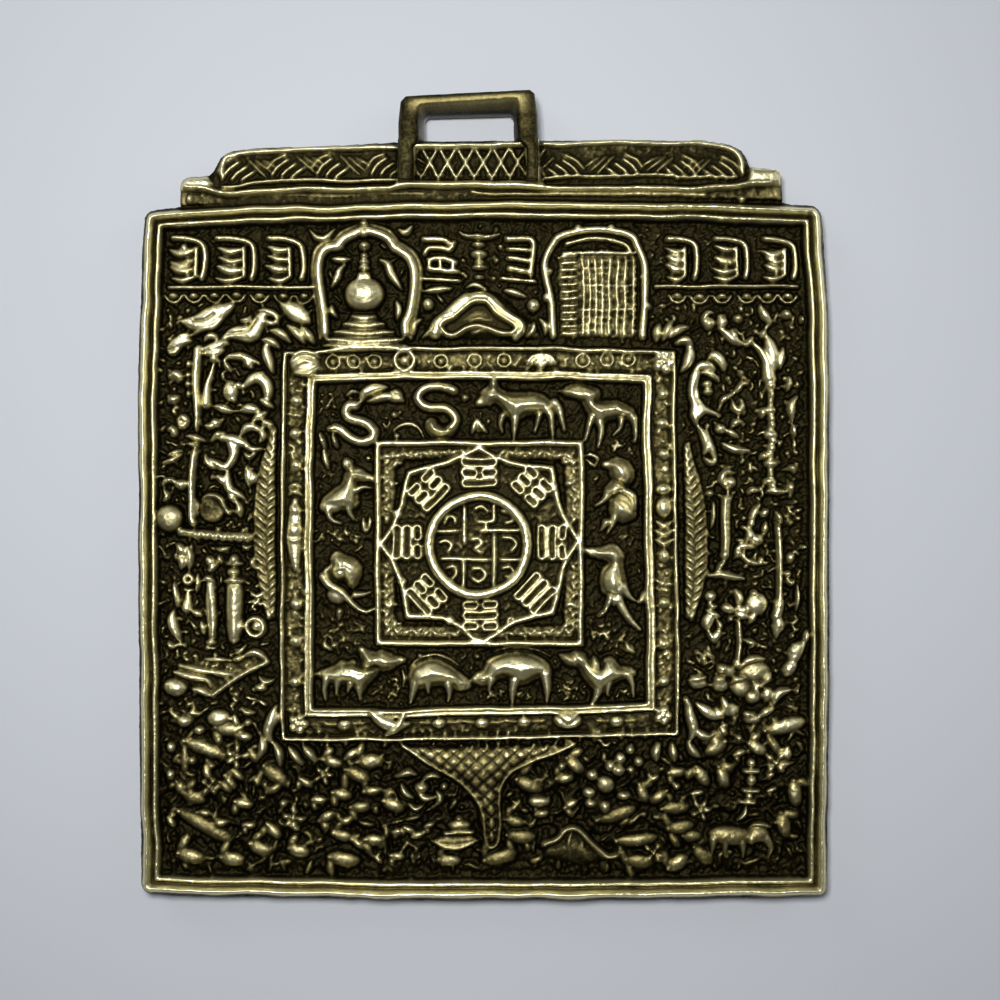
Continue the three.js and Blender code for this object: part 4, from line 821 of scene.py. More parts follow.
        turn = (b - a)[:, 0] * (c - a)[:, 1] - (b - a)[:, 1] * (c - a)[:, 0]
        triangles[turn > 0] = triangles[turn > 0][:, ::-1]
        spare = len(whole) - len(used)
        marks = {
            "wear_and_painted_light": np.append(self.wear_and_painted_light.ravel()[used], np.full(spare, self.rubbing_and_painted_light.back_wear)),
            "patina_and_painted_shade": np.append(
                self.patina_and_painted_shade.ravel()[used], np.full(spare, self.rubbing_and_painted_light.back_hollow))}
        directions = self.normals.reshape(-1, 3)[used][front.ravel()]
        return self.shape(
            "ground_plate_cast", whole, np.vstack(faces), marks, directions, triangles)


@dataclass
class Casting:
    """What the mould did to the whole face: softened edges, cast grain and a rolling surface."""

    softness: float = 0.085
    grain: float = 0.014
    rolling: float = 0.035
    swell_limit: float = 2.0
    swell_share: float = 0.6
    field_grain: float = 0.038
    field_fine: float = 0.04
    field_top: float = 0.5
    fine_spread: float = 0.12
    coarse_spread: float = 0.15
    broad_spread: float = 1.6
    waver: float = 0.05
    lowest: float = -0.15
    highest: float = 1.95

    def finish(self, relief: Relief) -> None:
        """Gives the finished carving its cast surface.

        Args:
            relief: the face.
        """
        rng = np.random.default_rng(GRAIN_SEED)
        cells = 1.0 / relief.pitch
        shape = relief.height.shape
        self.wander(relief, rng, cells)
        relief.height = soften(relief.height, self.softness * cells)
        fine = soften(rng.normal(0, 1, shape), self.fine_spread * cells)
        coarse = soften(rng.normal(0, 1, shape), self.coarse_spread * cells)
        broad = soften(rng.normal(0, 1, shape), self.broad_spread * cells)
        low = np.clip(1.0 - relief.height / self.field_top, 0, 1)
        swell = np.clip(broad / broad.std(), -self.swell_limit, self.swell_limit)
        relief.height += self.grain * fine / fine.std() + self.rolling * swell * self.swell_share
        relief.height += low * (
            self.field_grain * coarse / coarse.std() + self.field_fine * fine / fine.std())
        relief.height = np.clip(relief.height, self.lowest, self.highest)

    def wander(self, relief: Relief, rng: np.random.Generator, cells: float) -> None:
        """Lets every line waver a little, as lines cut by hand in wax do.

        Args:
            relief: the face.
            rng: where the wavering is drawn from.
            cells: how many places lie along one mm.
        """
        spots = []
        for places in np.indices(relief.height.shape, dtype=float):
            shift = soften(rng.normal(0, 1, places.shape), 1.0 * cells)
            spots.append(
                np.clip(places + shift * self.waver * cells / shift.std(), 0,
                        places.max() - 0.001))
        row, col = (spot.astype(int) for spot in spots)
        down, over = spots[0] - row, spots[1] - col
        tall = relief.height
        near = tall[row, col] * (1 - over) + tall[row, col + 1] * over
        far = tall[row + 1, col] * (1 - over) + tall[row + 1, col + 1] * over
        relief.height = near * (1 - down) + far * down
        relief.owner = relief.owner[np.rint(spots[0]).astype(int), np.rint(spots[1]).astype(int)]


@dataclass
class Rim:
    """The moulded frame: a dark outer slope, then two worn ridges with a valley between them."""

    width: float = 2.25
    relief: float = 1.42
    drawn_relief: float = 1.42

    def carve(self, relief: Relief) -> None:
        """Runs the moulding round the panel's edge.

        Args:
            relief: the face.
        """
        relief.girth = 1.0
        relief.element("rim_frame")
        section = [
            (0.0, 0.12), (0.12, 0.35), (0.3, 0.66), (0.46, 0.95), (0.58, 1.3), (0.72, 1.42),
            (0.88, 1.34), (1.02, 0.9), (1.14, 0.5), (1.26, 0.4), (1.38, 0.52), (1.5, 0.92),
            (1.64, 1.12), (1.78, 1.02), (1.92, 0.6), (2.1, 0.16), (self.width, 0.02)]
        scaled = [(d, h * self.relief / self.drawn_relief) for d, h in section]
        relief.moulding(PlateOutline().panel(), scaled)


@dataclass
class Head:
    """The ledge and the two wave rails on the panel, and the crossed panel between the straps."""

    ledge_relief: float = 1.25
    rail_relief: float = 0.95
    floor: float = 0.42
    carving: float = 0.5
    strap_relief: float = 1.3

    def carve(self, relief: Relief) -> None:
        """Carves the ledge, the rails and the latticed panel.

        Args:
            relief: the face.
        """
        relief.girth = 1.0
        self.rail(
            relief, "upper_rail_left",
            [(-27.4, 36.2), (-26.9, 37.9), (-26.3, 39.1), (-25.1, 39.8), (-22.0, 40.15),
             (-14.5, 40.3), (-8.4, 40.75), (-8.4, 36.5), (-16.0, 36.4), (-24.4, 35.9)],
            [(-26.1, 37.4), (-25.9, 38.8), (-25.0, 39.3), (-22.0, 39.65), (-18.0, 39.9),
             (-14.0, 40.0), (-8.8, 40.15)],
            [(-26.0, 36.2), (-24.4, 36.25), (-22.6, 36.6), (-18.0, 36.85), (-14.5, 36.85),
             (-8.8, 36.85)], ((-24.9, 0.0), (-20.0, 0.3), (-15.6, 0.4), (-10.1, 0.5)), 1)
        self.rail(
            relief, "upper_rail_right",
            [(5.6, 36.6), (5.6, 40.8), (16.5, 40.9), (22.0, 40.8), (24.6, 40.4), (25.8, 39.7),
             (26.4, 38.2), (26.0, 36.9), (21.7, 36.5)],
            [(5.9, 40.5), (8.0, 40.4), (12.0, 40.55), (20.0, 40.5), (23.4, 40.25), (25.0, 39.7),
             (25.6, 38.6), (25.7, 37.4)],
            [(5.9, 37.1), (9.4, 37.3), (14.0, 37.3), (18.0, 37.3), (24.8, 37.1)],
            ((24.0, 0.1), (20.1, 0.25), (14.3, 0.35), (8.3, 0.35)), -1)
        self.ledge(relief)
        self.lattice(relief)

    def ledge(self, relief: Relief) -> None:
        """Carves the ledge with its worn crest and its two rounded ends.

        Args:
            relief: the face.
        """
        relief.element("lower_ledge")
        body = [(-30.4, 34.3), (29.8, 34.9), (29.65, 37.5), (29.1, 38.0), (26.3, 38.2),
                (25.9, 36.9), (20.0, 36.7), (5.6, 36.6), (-8.6, 36.5), (-16.0, 36.3),
                (-24.4, 35.95), (-26.8, 36.7), (-27.4, 37.3), (-29.7, 37.15), (-30.4, 36.4)]
        relief.plate(body, 0.42, 0.3)
        relief.plate(
            [(-30.3, 36.05), (-27.2, 35.95), (-26.7, 36.5), (-27.4, 37.3), (-29.7, 37.15),
             (-30.35, 36.5)], 0.98, 0.55, 0.1)
        relief.plate(
            [(26.0, 36.3), (29.6, 36.2), (29.65, 37.45), (29.1, 38.0), (26.4, 38.15)], 0.98, 0.55,
            0.1)
        crest = [
            (-29.9, 36.15), (-28.0, 36.05), (-27.0, 35.85), (-26.2, 35.6), (-25.0, 35.5),
            (-23.5, 35.6), (-20.0, 35.8), (-18.0, 35.95), (-15.5, 36.0), (-12.0, 36.0),
            (-9.5, 36.02), (-8.5, 36.2), (-6.0, 36.4), (0.0, 36.35), (5.6, 36.15), (8.0, 36.0),
            (12.0, 36.05), (20.0, 36.0), (24.5, 36.15), (26.5, 36.5), (28.4, 36.55)]
        for path, width, height in (
                (crest, 0.62, self.ledge_relief),
                ([(-1.2, 35.75), (0.6, 35.55), (8.0, 35.5), (18.0, 35.5), (22.0, 35.4)], 0.36,
                 0.85), ([(-24.0, 35.2), (-18.0, 35.4), (-12.0, 35.5), (-6.0, 35.6)], 0.3, 0.6)):
            relief.stroke(path, width, height)
        for u, v, across, upright, height in (
                (-29.3, 35.0, 0.36, 0.62, 0.95), (-28.1, 35.3, 0.26, 0.2, 0.75),
                (25.6, 34.9, 0.5, 0.4, 0.95)):
            relief.dome(u, v, across, upright, height)

    def rail(self, relief: Relief, name: str, outline: Path, brow: Path, sill: Path,
             fans: Sequence[tuple[float, float]], lean: int) -> None:
        """Carves one rail: an edge ridge and a sill with nested waves between them.

        Args:
            relief: the face.
            name: the rail's element.
            outline: its edge.
            brow: the ridge under its top edge.
            sill: the ridge along its foot.
            fans: the place of each fan of waves and how much higher it sits.
            lean: 1 where they rise to the right, -1 to the left.
        """
        relief.element(name)
        relief.plate(outline, self.floor, 0.3)
        relief.stroke(brow, 0.55, self.rail_relief)
        relief.stroke(sill, 0.42, self.rail_relief)
        relief.base = self.floor * 0.8
        for u, rise in fans:
            for k in range(3):
                relief.stroke(
                    [(u + lean * (0.95 * k - 1.1), 37.0 + rise - 0.08 * k),
                     (u + lean * (0.86 * k - 0.55), 37.8 + rise - 0.34 * k),
                     (u + lean * (0.76 * k + 0.4), 38.5 + rise - 0.44 * k)], 0.46, self.carving)
                relief.leaf(
                    [(u + lean * (1.3 + 0.75 * k), 38.9 + rise - 0.05 * k),
                     (u + lean * (2.4 + 0.6 * k), 37.85 + rise + 0.25 * k),
                     (u + lean * (3.4 + 0.45 * k), 37.0 + rise + 0.48 * k)], 0.42,
                    self.carving * 0.85)
            relief.stroke(
                [(u - lean * 1.5, 37.7 + rise), (u - lean * 0.9, 38.5 + rise),
                 (u + lean * 0.2, 39.1 + rise * 0.8)], 0.42, self.carving * 0.8)

    def lattice(self, relief: Relief) -> None:
        """Carves the crossed panel, the sill over it, the bar under it and the straps' fronts.

        Args:
            relief: the face.
        """
        relief.element("hanging_loop")
        relief.plate(box(-8.7, 36.2, 6.0, 40.85), 0.3, 0.2)
        relief.plate([(-8.7, 36.15), (6.0, 36.15), (6.0, 36.95), (-8.7, 36.95)], 0.85, 0.3)
        relief.base = 0.22
        for k in range(8):
            u = -8.1 + k * 1.78
            relief.stroke([(u, 37.1), (u + 1.62, 39.9)], 0.4, 0.55)
            relief.stroke([(u + 0.16, 39.9), (u + 1.78, 37.1)], 0.4, 0.55)
            relief.leaf([(u - 0.5, 37.35), (u + 0.55, 37.3)], 0.5, 0.75)
        relief.base = 0.0
        relief.stroke([(-6.9, 40.2), (-1.5, 40.28), (4.2, 40.45)], 0.62, 1.2)
        relief.stroke([(-8.6, 36.4), (-1.5, 36.5), (5.8, 36.4)], 0.6, 1.2)
        relief.plate(
            [(-8.7, 36.8), (-6.9, 36.8), (-6.7, 41.0), (-8.6, 41.0)], self.strap_relief, 0.4)
        relief.plate([(4.3, 36.8), (5.7, 36.8), (5.5, 41.2), (4.0, 41.2)], self.strap_relief, 0.4)


@dataclass
class ShellFrame:
    """The square band of the tortoise's shell, with its studs, rings and clasps."""

    relief: float = 1.15
    floor: float = 0.4
    stud: float = 0.62

    def carve(self, relief: Relief) -> None:
        """Carves the band from its outer bead to its inner double bead.

        Args:
            relief: the face.
        """
        relief.girth = 1.0
        relief.element("shell_frame")
        outline = [
            (-20.35, -19.1), (-10.0, -19.15), (8.0, -18.85), (19.5, -18.55), (19.6, -10.0),
            (19.35, 0.0), (19.2, 10.0), (19.25, 19.9), (8.0, 20.35), (-8.0, 20.3), (-20.1, 19.9),
            (-20.35, 8.0), (-20.4, -6.0)]
        section = [
            (0.0, 0.1), (0.1, 0.8), (0.26, self.relief), (0.42, 0.85), (0.54, 0.12),
            (0.78, self.floor), (2.2, self.floor), (2.42, 0.1), (2.56, 0.95), (2.7, 0.98),
            (2.84, 0.4), (2.96, 0.75), (3.14, self.relief), (3.3, 0.8), (3.46, 0.0)]
        relief.moulding(outline, section)
        relief.base = self.floor
        rng = np.random.default_rng(GRAIN_SEED + 8)
        for v in (19.35, -18.0):
            self.pebbles(relief, rng, (-19.0, v - 1.6), (18.2, v), 0.3)
        for u in (-19.4, 17.2):
            self.pebbles(relief, rng, (u, -17.6), (u + 1.5, 19.0), 0.36)
        for u in (-15.1, -13.0, -10.9, -4.3, -0.9, 2.0, 9.8, 12.2, 14.5):
            self.ringed(relief, u, 18.7 + 0.012 * (u + 15), 0.56)
        relief.ring(-8.0, 18.85, 0.95, 0.42, self.stud)
        relief.bead(-8.0, 18.85, 0.5, 0.5)
        for reach in (0.5, 0.95, 1.4):
            relief.stroke(
                [(5.7 + reach * math.cos(a), 18.5 + reach * 0.72 * math.sin(a)) for a in (
                     0.1, 0.9, 1.6, 2.3, 3.0)], 0.36, self.stud)
        relief.bead(5.7, 18.35, 0.42, self.stud)
        relief.dome(-17.9, 18.6, 1.55, 1.35, 0.6, -15)
        for path in (
                [(-19.3, 18.7), (-18.6, 19.7), (-17.4, 19.8), (-16.4, 19.2)],
                [(-19.0, 18.2), (-17.9, 18.9), (-16.9, 18.6)],
                [(-18.8, 17.6), (-17.6, 17.5), (-16.5, 18.2)]):
            relief.leaf(path, 0.55, 0.85)
        self.flower(relief, 18.0, 18.7, 1.25)
        self.left_side(relief)
        self.right_side(relief)
        self.low_side(relief)

    def pebbles(
            self, relief: Relief, rng: np.random.Generator, low: Point, high: Point,
            tall: float) -> None:
        """Scatters small worn grains over part of the band's floor.

        Args:
            relief: the face.
            rng: where the places are drawn from.
            low: the left lower corner of the part.
            high: its right upper corner.
            tall: how high the tallest stands, in mm.
        """
        for _ in range(int((high[0] - low[0]) * (high[1] - low[1]) * 2.2)):
            u, v = rng.uniform(low[0], high[0]), rng.uniform(low[1], high[1])
            relief.dome(
                u, v, rng.uniform(0.16, 0.36), rng.uniform(0.14, 0.3),
                tall * rng.uniform(0.4, 1.0), rng.uniform(0, 180))

    def ringed(self, relief: Relief, u: float, v: float, radius: float) -> None:
        """A small boss in a dark sunk ring.

        Args:
            relief: the face.
            u: its middle's right coordinate.
            v: its middle's up coordinate.
            radius: the ring's radius, in mm.
        """
        relief.ring(u, v, radius * 1.15, 0.3, self.stud * 0.5)
        relief.dome(u, v, radius * 0.62, radius * 0.62, self.stud)
        relief.groove(
            [(u + radius * 0.7 * math.cos(0.7 * k),
              v + radius * 0.7 * math.sin(0.7 * k)) for k in range(10)], 0.26, 0.24)

    def flower(self, relief: Relief, u: float, v: float, radius: float) -> None:
        """A round of five petals.

        Args:
            relief: the face.
            u: its middle's right coordinate.
            v: its middle's up coordinate.
            radius: its radius, in mm.
        """
        for k in range(5):
            turn = 1.2 + k * math.pi * 0.4
            relief.dome(
                u + 0.58 * radius * math.cos(turn), v + 0.58 * radius * math.sin(turn),
                0.42 * radius, 0.42 * radius, self.stud + 0.05)
        relief.bead(u, v, 0.3 * radius, self.stud + 0.2)

    def left_side(self, relief: Relief) -> None:
        """Studs and the long clasp of the left side.

        Args:
            relief: the face.
        """
        for v in (14.9, 11.6, 8.4, -5.3, -9.0, -13.0):
            relief.dome(-18.7, v, 0.66, 0.6, self.stud + 0.12)
        for v in (6.4, 5.7):
            relief.leaf(
                [(-19.5, v - 0.2), (-18.8, v + 0.15), (-18.1, v - 0.2)], 0.5, self.stud + 0.1)
        relief.stroke(
            [(-18.8, 5.0), (-18.85, 3.4), (-18.85, 1.6), (-18.8, 0.2), (-18.75, -1.9)], 1.75, 0.7,
            Taper.LEAF)
        relief.dome(-18.85, 4.0, 0.66, 0.75, 0.85)
        relief.dome(-18.8, 2.0, 0.85, 0.9, 1.0)
        relief.leaf([(-19.6, 1.3), (-18.8, 0.9), (-18.0, 1.3)], 0.4, 1.0)

    def right_side(self, relief: Relief) -> None:
        """Studs and the vase-shaped clasp of the right side.

        Args:
            relief: the face.
        """
        for v in (15.6, 12.6, 9.5, -5.2, -9.3, -13.0):
            relief.dome(17.9, v, 0.6, 0.55, self.stud + 0.12)
        relief.dome(17.8, 6.1, 0.85, 0.62, 0.8)
        relief.dome(17.9, 4.3, 0.85, 1.1, 1.0)
        for v, half in ((2.6, 0.75), (1.7, 0.85), (0.8, 0.8)):
            relief.leaf(
                [(17.9 - half, v + 0.25), (17.9, v - 0.2), (17.9 + half, v + 0.25)], 0.7, 0.9)
        relief.dome(17.9, -0.6, 0.55, 0.75, 0.8)
        self.flower(relief, 17.8, -16.5, 1.0)

    def low_side(self, relief: Relief) -> None:
        """Lumps and two leaf clasps of the low side.

        Args:
            relief: the face.
        """
        for u, v in ((-13.9, -17.4), (-4.5, -17.25), (-0.2, -17.2), (4.0, -17.1), (13.2, -17.1)):
            relief.dome(u, v, 0.75, 0.55, self.stud)
            relief.leaf([(u - 2.0, v + 0.1), (u - 0.9, v)], 0.6, 0.36)
            relief.leaf([(u + 0.9, v), (u + 2.0, v + 0.05)], 0.6, 0.36)
        relief.leaf([(-11.3, -16.0), (-10.2, -16.9), (-8.9, -17.4), (-7.6, -17.2)], 1.5, 0.9)
        relief.leaf([(-9.8, -18.4), (-8.7, -17.6), (-8.0, -16.2)], 0.95, 1.0)
        relief.dome(8.3, -16.9, 1.5, 0.95, 0.95)
        relief.groove([(7.2, -16.5), (8.3, -17.3), (9.4, -16.6)], 0.3, 0.35)
        self.flower(relief, -18.5, -17.3, 1.1)


@dataclass
class Tortoise:
    """The tortoise outside its shell: head, paws, scaled flanks and scaled tail."""

    head: float = 1.6
    paw: float = 1.35
    scales: float = 0.8

    def carve(self, relief: Relief) -> None:
        """Carves the parts of the animal from its head down.

        Args:
            relief: the face.
        """
        relief.girth = 1.55
        self.carve_head(relief)
        self.carve_paws(relief)
        self.carve_flanks(relief)
        self.carve_tail(relief)

    def carve_head(self, relief: Relief) -> None:
        """The broad muzzle with its open mouth, its brows and the leaves over them.

        Args:
            relief: the face.
        """
        relief.element("tortoise_head")
        relief.girth = 1.0
        mound = [
            (-6.2, 21.0), (-5.7, 22.6), (-4.4, 23.7), (-3.1, 24.9), (-2.0, 25.8), (-0.3, 26.1),
            (1.3, 25.7), (2.6, 24.7), (3.9, 23.5), (5.2, 22.6), (5.9, 21.0)]
        relief.plate(mound, 0.4, 0.9, 0.2)
        for path, width, height in (
                ([(-4.9, 21.7), (-4.6, 22.6), (-3.6, 23.35), (-2.6, 24.2), (-1.7, 25.0)], 1.5,
                 1.3), ([(-1.7, 25.0), (-0.4, 25.3), (0.7, 24.9), (1.6, 24.0)], 1.25, 1.2),
                ([(1.6, 24.0), (2.7, 23.2), (3.6, 22.6), (3.7, 21.8), (3.1, 21.2)], 1.0, 1.15)):
            relief.stroke(path, width, height)
        lip = [(-4.4, 22.3), (-4.0, 22.85), (-3.2, 23.1), (-2.3, 23.8), (-1.5, 24.5), (-0.9, 24.8),
               (0.1, 24.8), (0.6, 24.4), (1.2, 23.6), (2.1, 23.0), (2.9, 22.5), (3.2, 22.05),
               (2.9, 21.6), (2.2, 21.5), (1.4, 21.6), (0.5, 22.0), (-0.5, 22.3), (-1.3, 22.2),
               (-2.0, 21.9), (-2.6, 21.5), (-3.3, 21.35), (-3.9, 21.6), (-4.4, 22.3)]
        for path, width, height in (
                (lip, 0.55, self.head),
                ([(0.5, 25.1), (1.4, 24.2), (2.4, 23.4), (3.3, 22.95), (3.9, 22.3), (3.5, 21.5)],
                 0.4, 1.45),
                ([(-4.9, 22.0), (-4.6, 22.9), (-3.9, 23.3), (-3.1, 23.6)], 0.4, 1.45)):
            relief.stroke(path, width, height)
        for path, width, height in (
                ([(-0.9, 23.7), (0.3, 23.7)], 0.4, 0.8),
                ([(-1.6, 22.85), (-0.5, 23.1), (0.8, 22.8)], 0.4, 0.85),
                ([(-1.3, 21.6), (-0.2, 21.85), (0.3, 21.8)], 0.42, 1.0),
                ([(-1.9, 26.1), (-1.0, 26.45), (0.3, 25.95)], 0.62, 0.9),
                ([(-5.9, 25.7), (-4.6, 25.9), (-3.1, 26.1)], 0.85, 0.9),
                ([(-4.7, 25.4), (-4.3, 25.0), (-3.9, 24.5)], 0.4, 0.75),
                ([(2.0, 25.9), (3.1, 25.7), (4.2, 25.3)], 0.8, 0.9)):
            relief.leaf(path, width, height)
        relief.bead(-5.5, 24.5, 0.62, 1.1)
        relief.dome(4.9, 24.4, 0.66, 0.72, 1.15)
        for path, width, height in (
                ([(-7.0, 21.4), (-6.9, 22.6), (-6.1, 23.2)], 0.7, 0.9),
                ([(5.5, 23.1), (6.1, 22.4), (6.1, 21.4)], 0.75, 0.95),
                ([(-6.2, 21.2), (-5.5, 21.8), (-5.2, 22.6)], 0.6, 0.9),
                ([(4.2, 21.2), (4.9, 21.9), (5.0, 22.8)], 0.65, 0.95)):
            relief.leaf(path, width, height)
        relief.girth = 1.55

    def carve_paws(self, relief: Relief) -> None:
        """The four clawed paws that reach round the shell's corners.

        Args:
            relief: the face.
        """
        relief.girth = 1.0
        paws = {"upper_left": (
                    [(-21.0, 17.7), (-21.4, 18.8), (-21.7, 20.0), (-21.4, 20.9)],
                    ([(-22.1, 21.0), (-21.2, 20.9), (-20.4, 20.2)],
                     [(-21.3, 22.0), (-20.2, 21.7), (-19.3, 20.8)],
                     [(-19.6, 22.5), (-18.7, 21.8), (-17.9, 20.7)],
                     [(-18.2, 22.3), (-17.5, 21.5), (-17.0, 20.7)])),
                "upper_right": (
                    [(19.7, 17.8), (20.3, 18.6), (20.6, 19.7), (20.3, 20.6)],
                    ([(20.8, 20.3), (20.1, 20.9), (19.1, 20.6)],
                     [(20.3, 22.2), (19.4, 22.0), (18.5, 21.2)],
                     [(18.7, 22.8), (18.3, 22.0), (17.8, 20.9)],
                     [(17.5, 22.6), (17.2, 21.8), (17.1, 20.8)])),
                "lower_left": (
                    [(-20.7, -15.6), (-21.2, -16.9), (-21.6, -18.2), (-21.2, -19.3)],
                    ([(-22.2, -18.6), (-22.0, -19.7), (-22.4, -20.7)],
                     [(-21.0, -19.2), (-20.4, -20.3), (-20.2, -21.5)],
                     [(-19.5, -19.6), (-18.7, -20.5), (-18.0, -21.4)],
                     [(-18.0, -19.5), (-17.3, -20.2), (-16.7, -21.1)])),
                "lower_right": (
                    [(20.2, -15.0), (20.6, -16.5), (20.9, -17.9), (20.5, -19.0)],
                    ([(21.0, -17.8), (21.8, -18.4), (22.6, -18.5)],
                     [(20.3, -19.0), (20.8, -19.9), (21.6, -20.6)],
                     [(18.7, -19.2), (18.8, -20.1), (19.0, -21.0)],
                     [(17.4, -19.3), (17.1, -20.1), (17.1, -21.0)]))}
        for side, (wrist, claws) in paws.items():
            relief.element(f"paw_{side}")
            relief.stroke(wrist, 1.25, self.paw * 0.9, Taper.LEAF)
            for claw in claws:
                relief.leaf(claw, 1.05, self.paw)

    def carve_flanks(self, relief: Relief) -> None:
        """A bulging strip of plaited scales along each of the shell's two sides.

        Args:
            relief: the face.
        """
        for side, edge, top in (("left", -20.65, 12.6), ("right", 19.95, 10.8)):
            relief.element(f"flank_scales_{side}")
            out = -1 if side == "left" else 1
            reach = [0.5, 1.1, 1.75, 2.15, 2.3, 2.3, 2.1, 1.6, 0.8]
            length = top + 6.9
            outline = [(edge + out * r, top - length * k / 8) for k, r in enumerate(reach)]
            relief.plate([(edge, top), *outline, (edge, -6.9)], self.scales * 0.55, 0.3)
            for k in range(int(length / 0.86)):
                v = top - 0.3 - 0.86 * k
                wide = float(np.interp(v, [p[1] for p in outline[::-1]], reach[::-1]))
                middle = edge + out * wide * 0.5
                relief.leaf(
                    [(edge + out * 0.1, v), (edge + out * wide * 0.3, v - 0.3),
                     (middle, v - 0.95)], 0.5, self.scales * 0.95)
                relief.leaf(
                    [(edge + out * wide, v - 0.2), (edge + out * wide * 0.75, v - 0.6),
                     (middle, v - 1.2)], 0.5, self.scales * 0.9)
            relief.stroke(outline, 0.22, self.scales * 0.8)
        relief.girth = 1.55

    def carve_tail(self, relief: Relief) -> None:
        """The tail that narrows from the shell, cut all over with crossed scales.

        Args:
            relief: the face.
        """
        relief.element("tail_scales")
        outline = [
            (-8.1, -19.55), (-6.3, -20.7), (-4.6, -21.8), (-2.9, -22.8), (-1.4, -24.0),
            (-0.5, -25.2), (0.0, -26.8), (0.1, -28.4), (0.5, -29.6), (1.3, -29.3), (1.6, -27.5),
            (1.5, -25.4), (1.7, -23.6), (2.7, -22.1), (4.6, -21.2), (6.8, -20.4), (9.1, -19.4)]
        relief.plate(outline, self.scales * 0.8, 0.7, 0.3)
        relief.stroke(outline, 0.36, self.scales)
        relief.pattern(outline, self.crossed)

    @staticmethod
    def crossed(u: Field, v: Field) -> Field:
        """Crossed cuts that leave small lozenges.

        Args:
            u: the places' right coordinates.
            v: the places' up coordinates.

        Returns:
            The rise at each place, in mm.
        """
        one = np.abs(((u + v * 1.1) / 1.5) % 1.0 - 0.5)
        two = np.abs(((u - v * 1.1) / 1.5) % 1.0 - 0.5)
        return 0.08 - 0.22 * np.maximum(np.clip(one - 0.3, 0, 1), np.clip(two - 0.3, 0, 1)) / 0.2


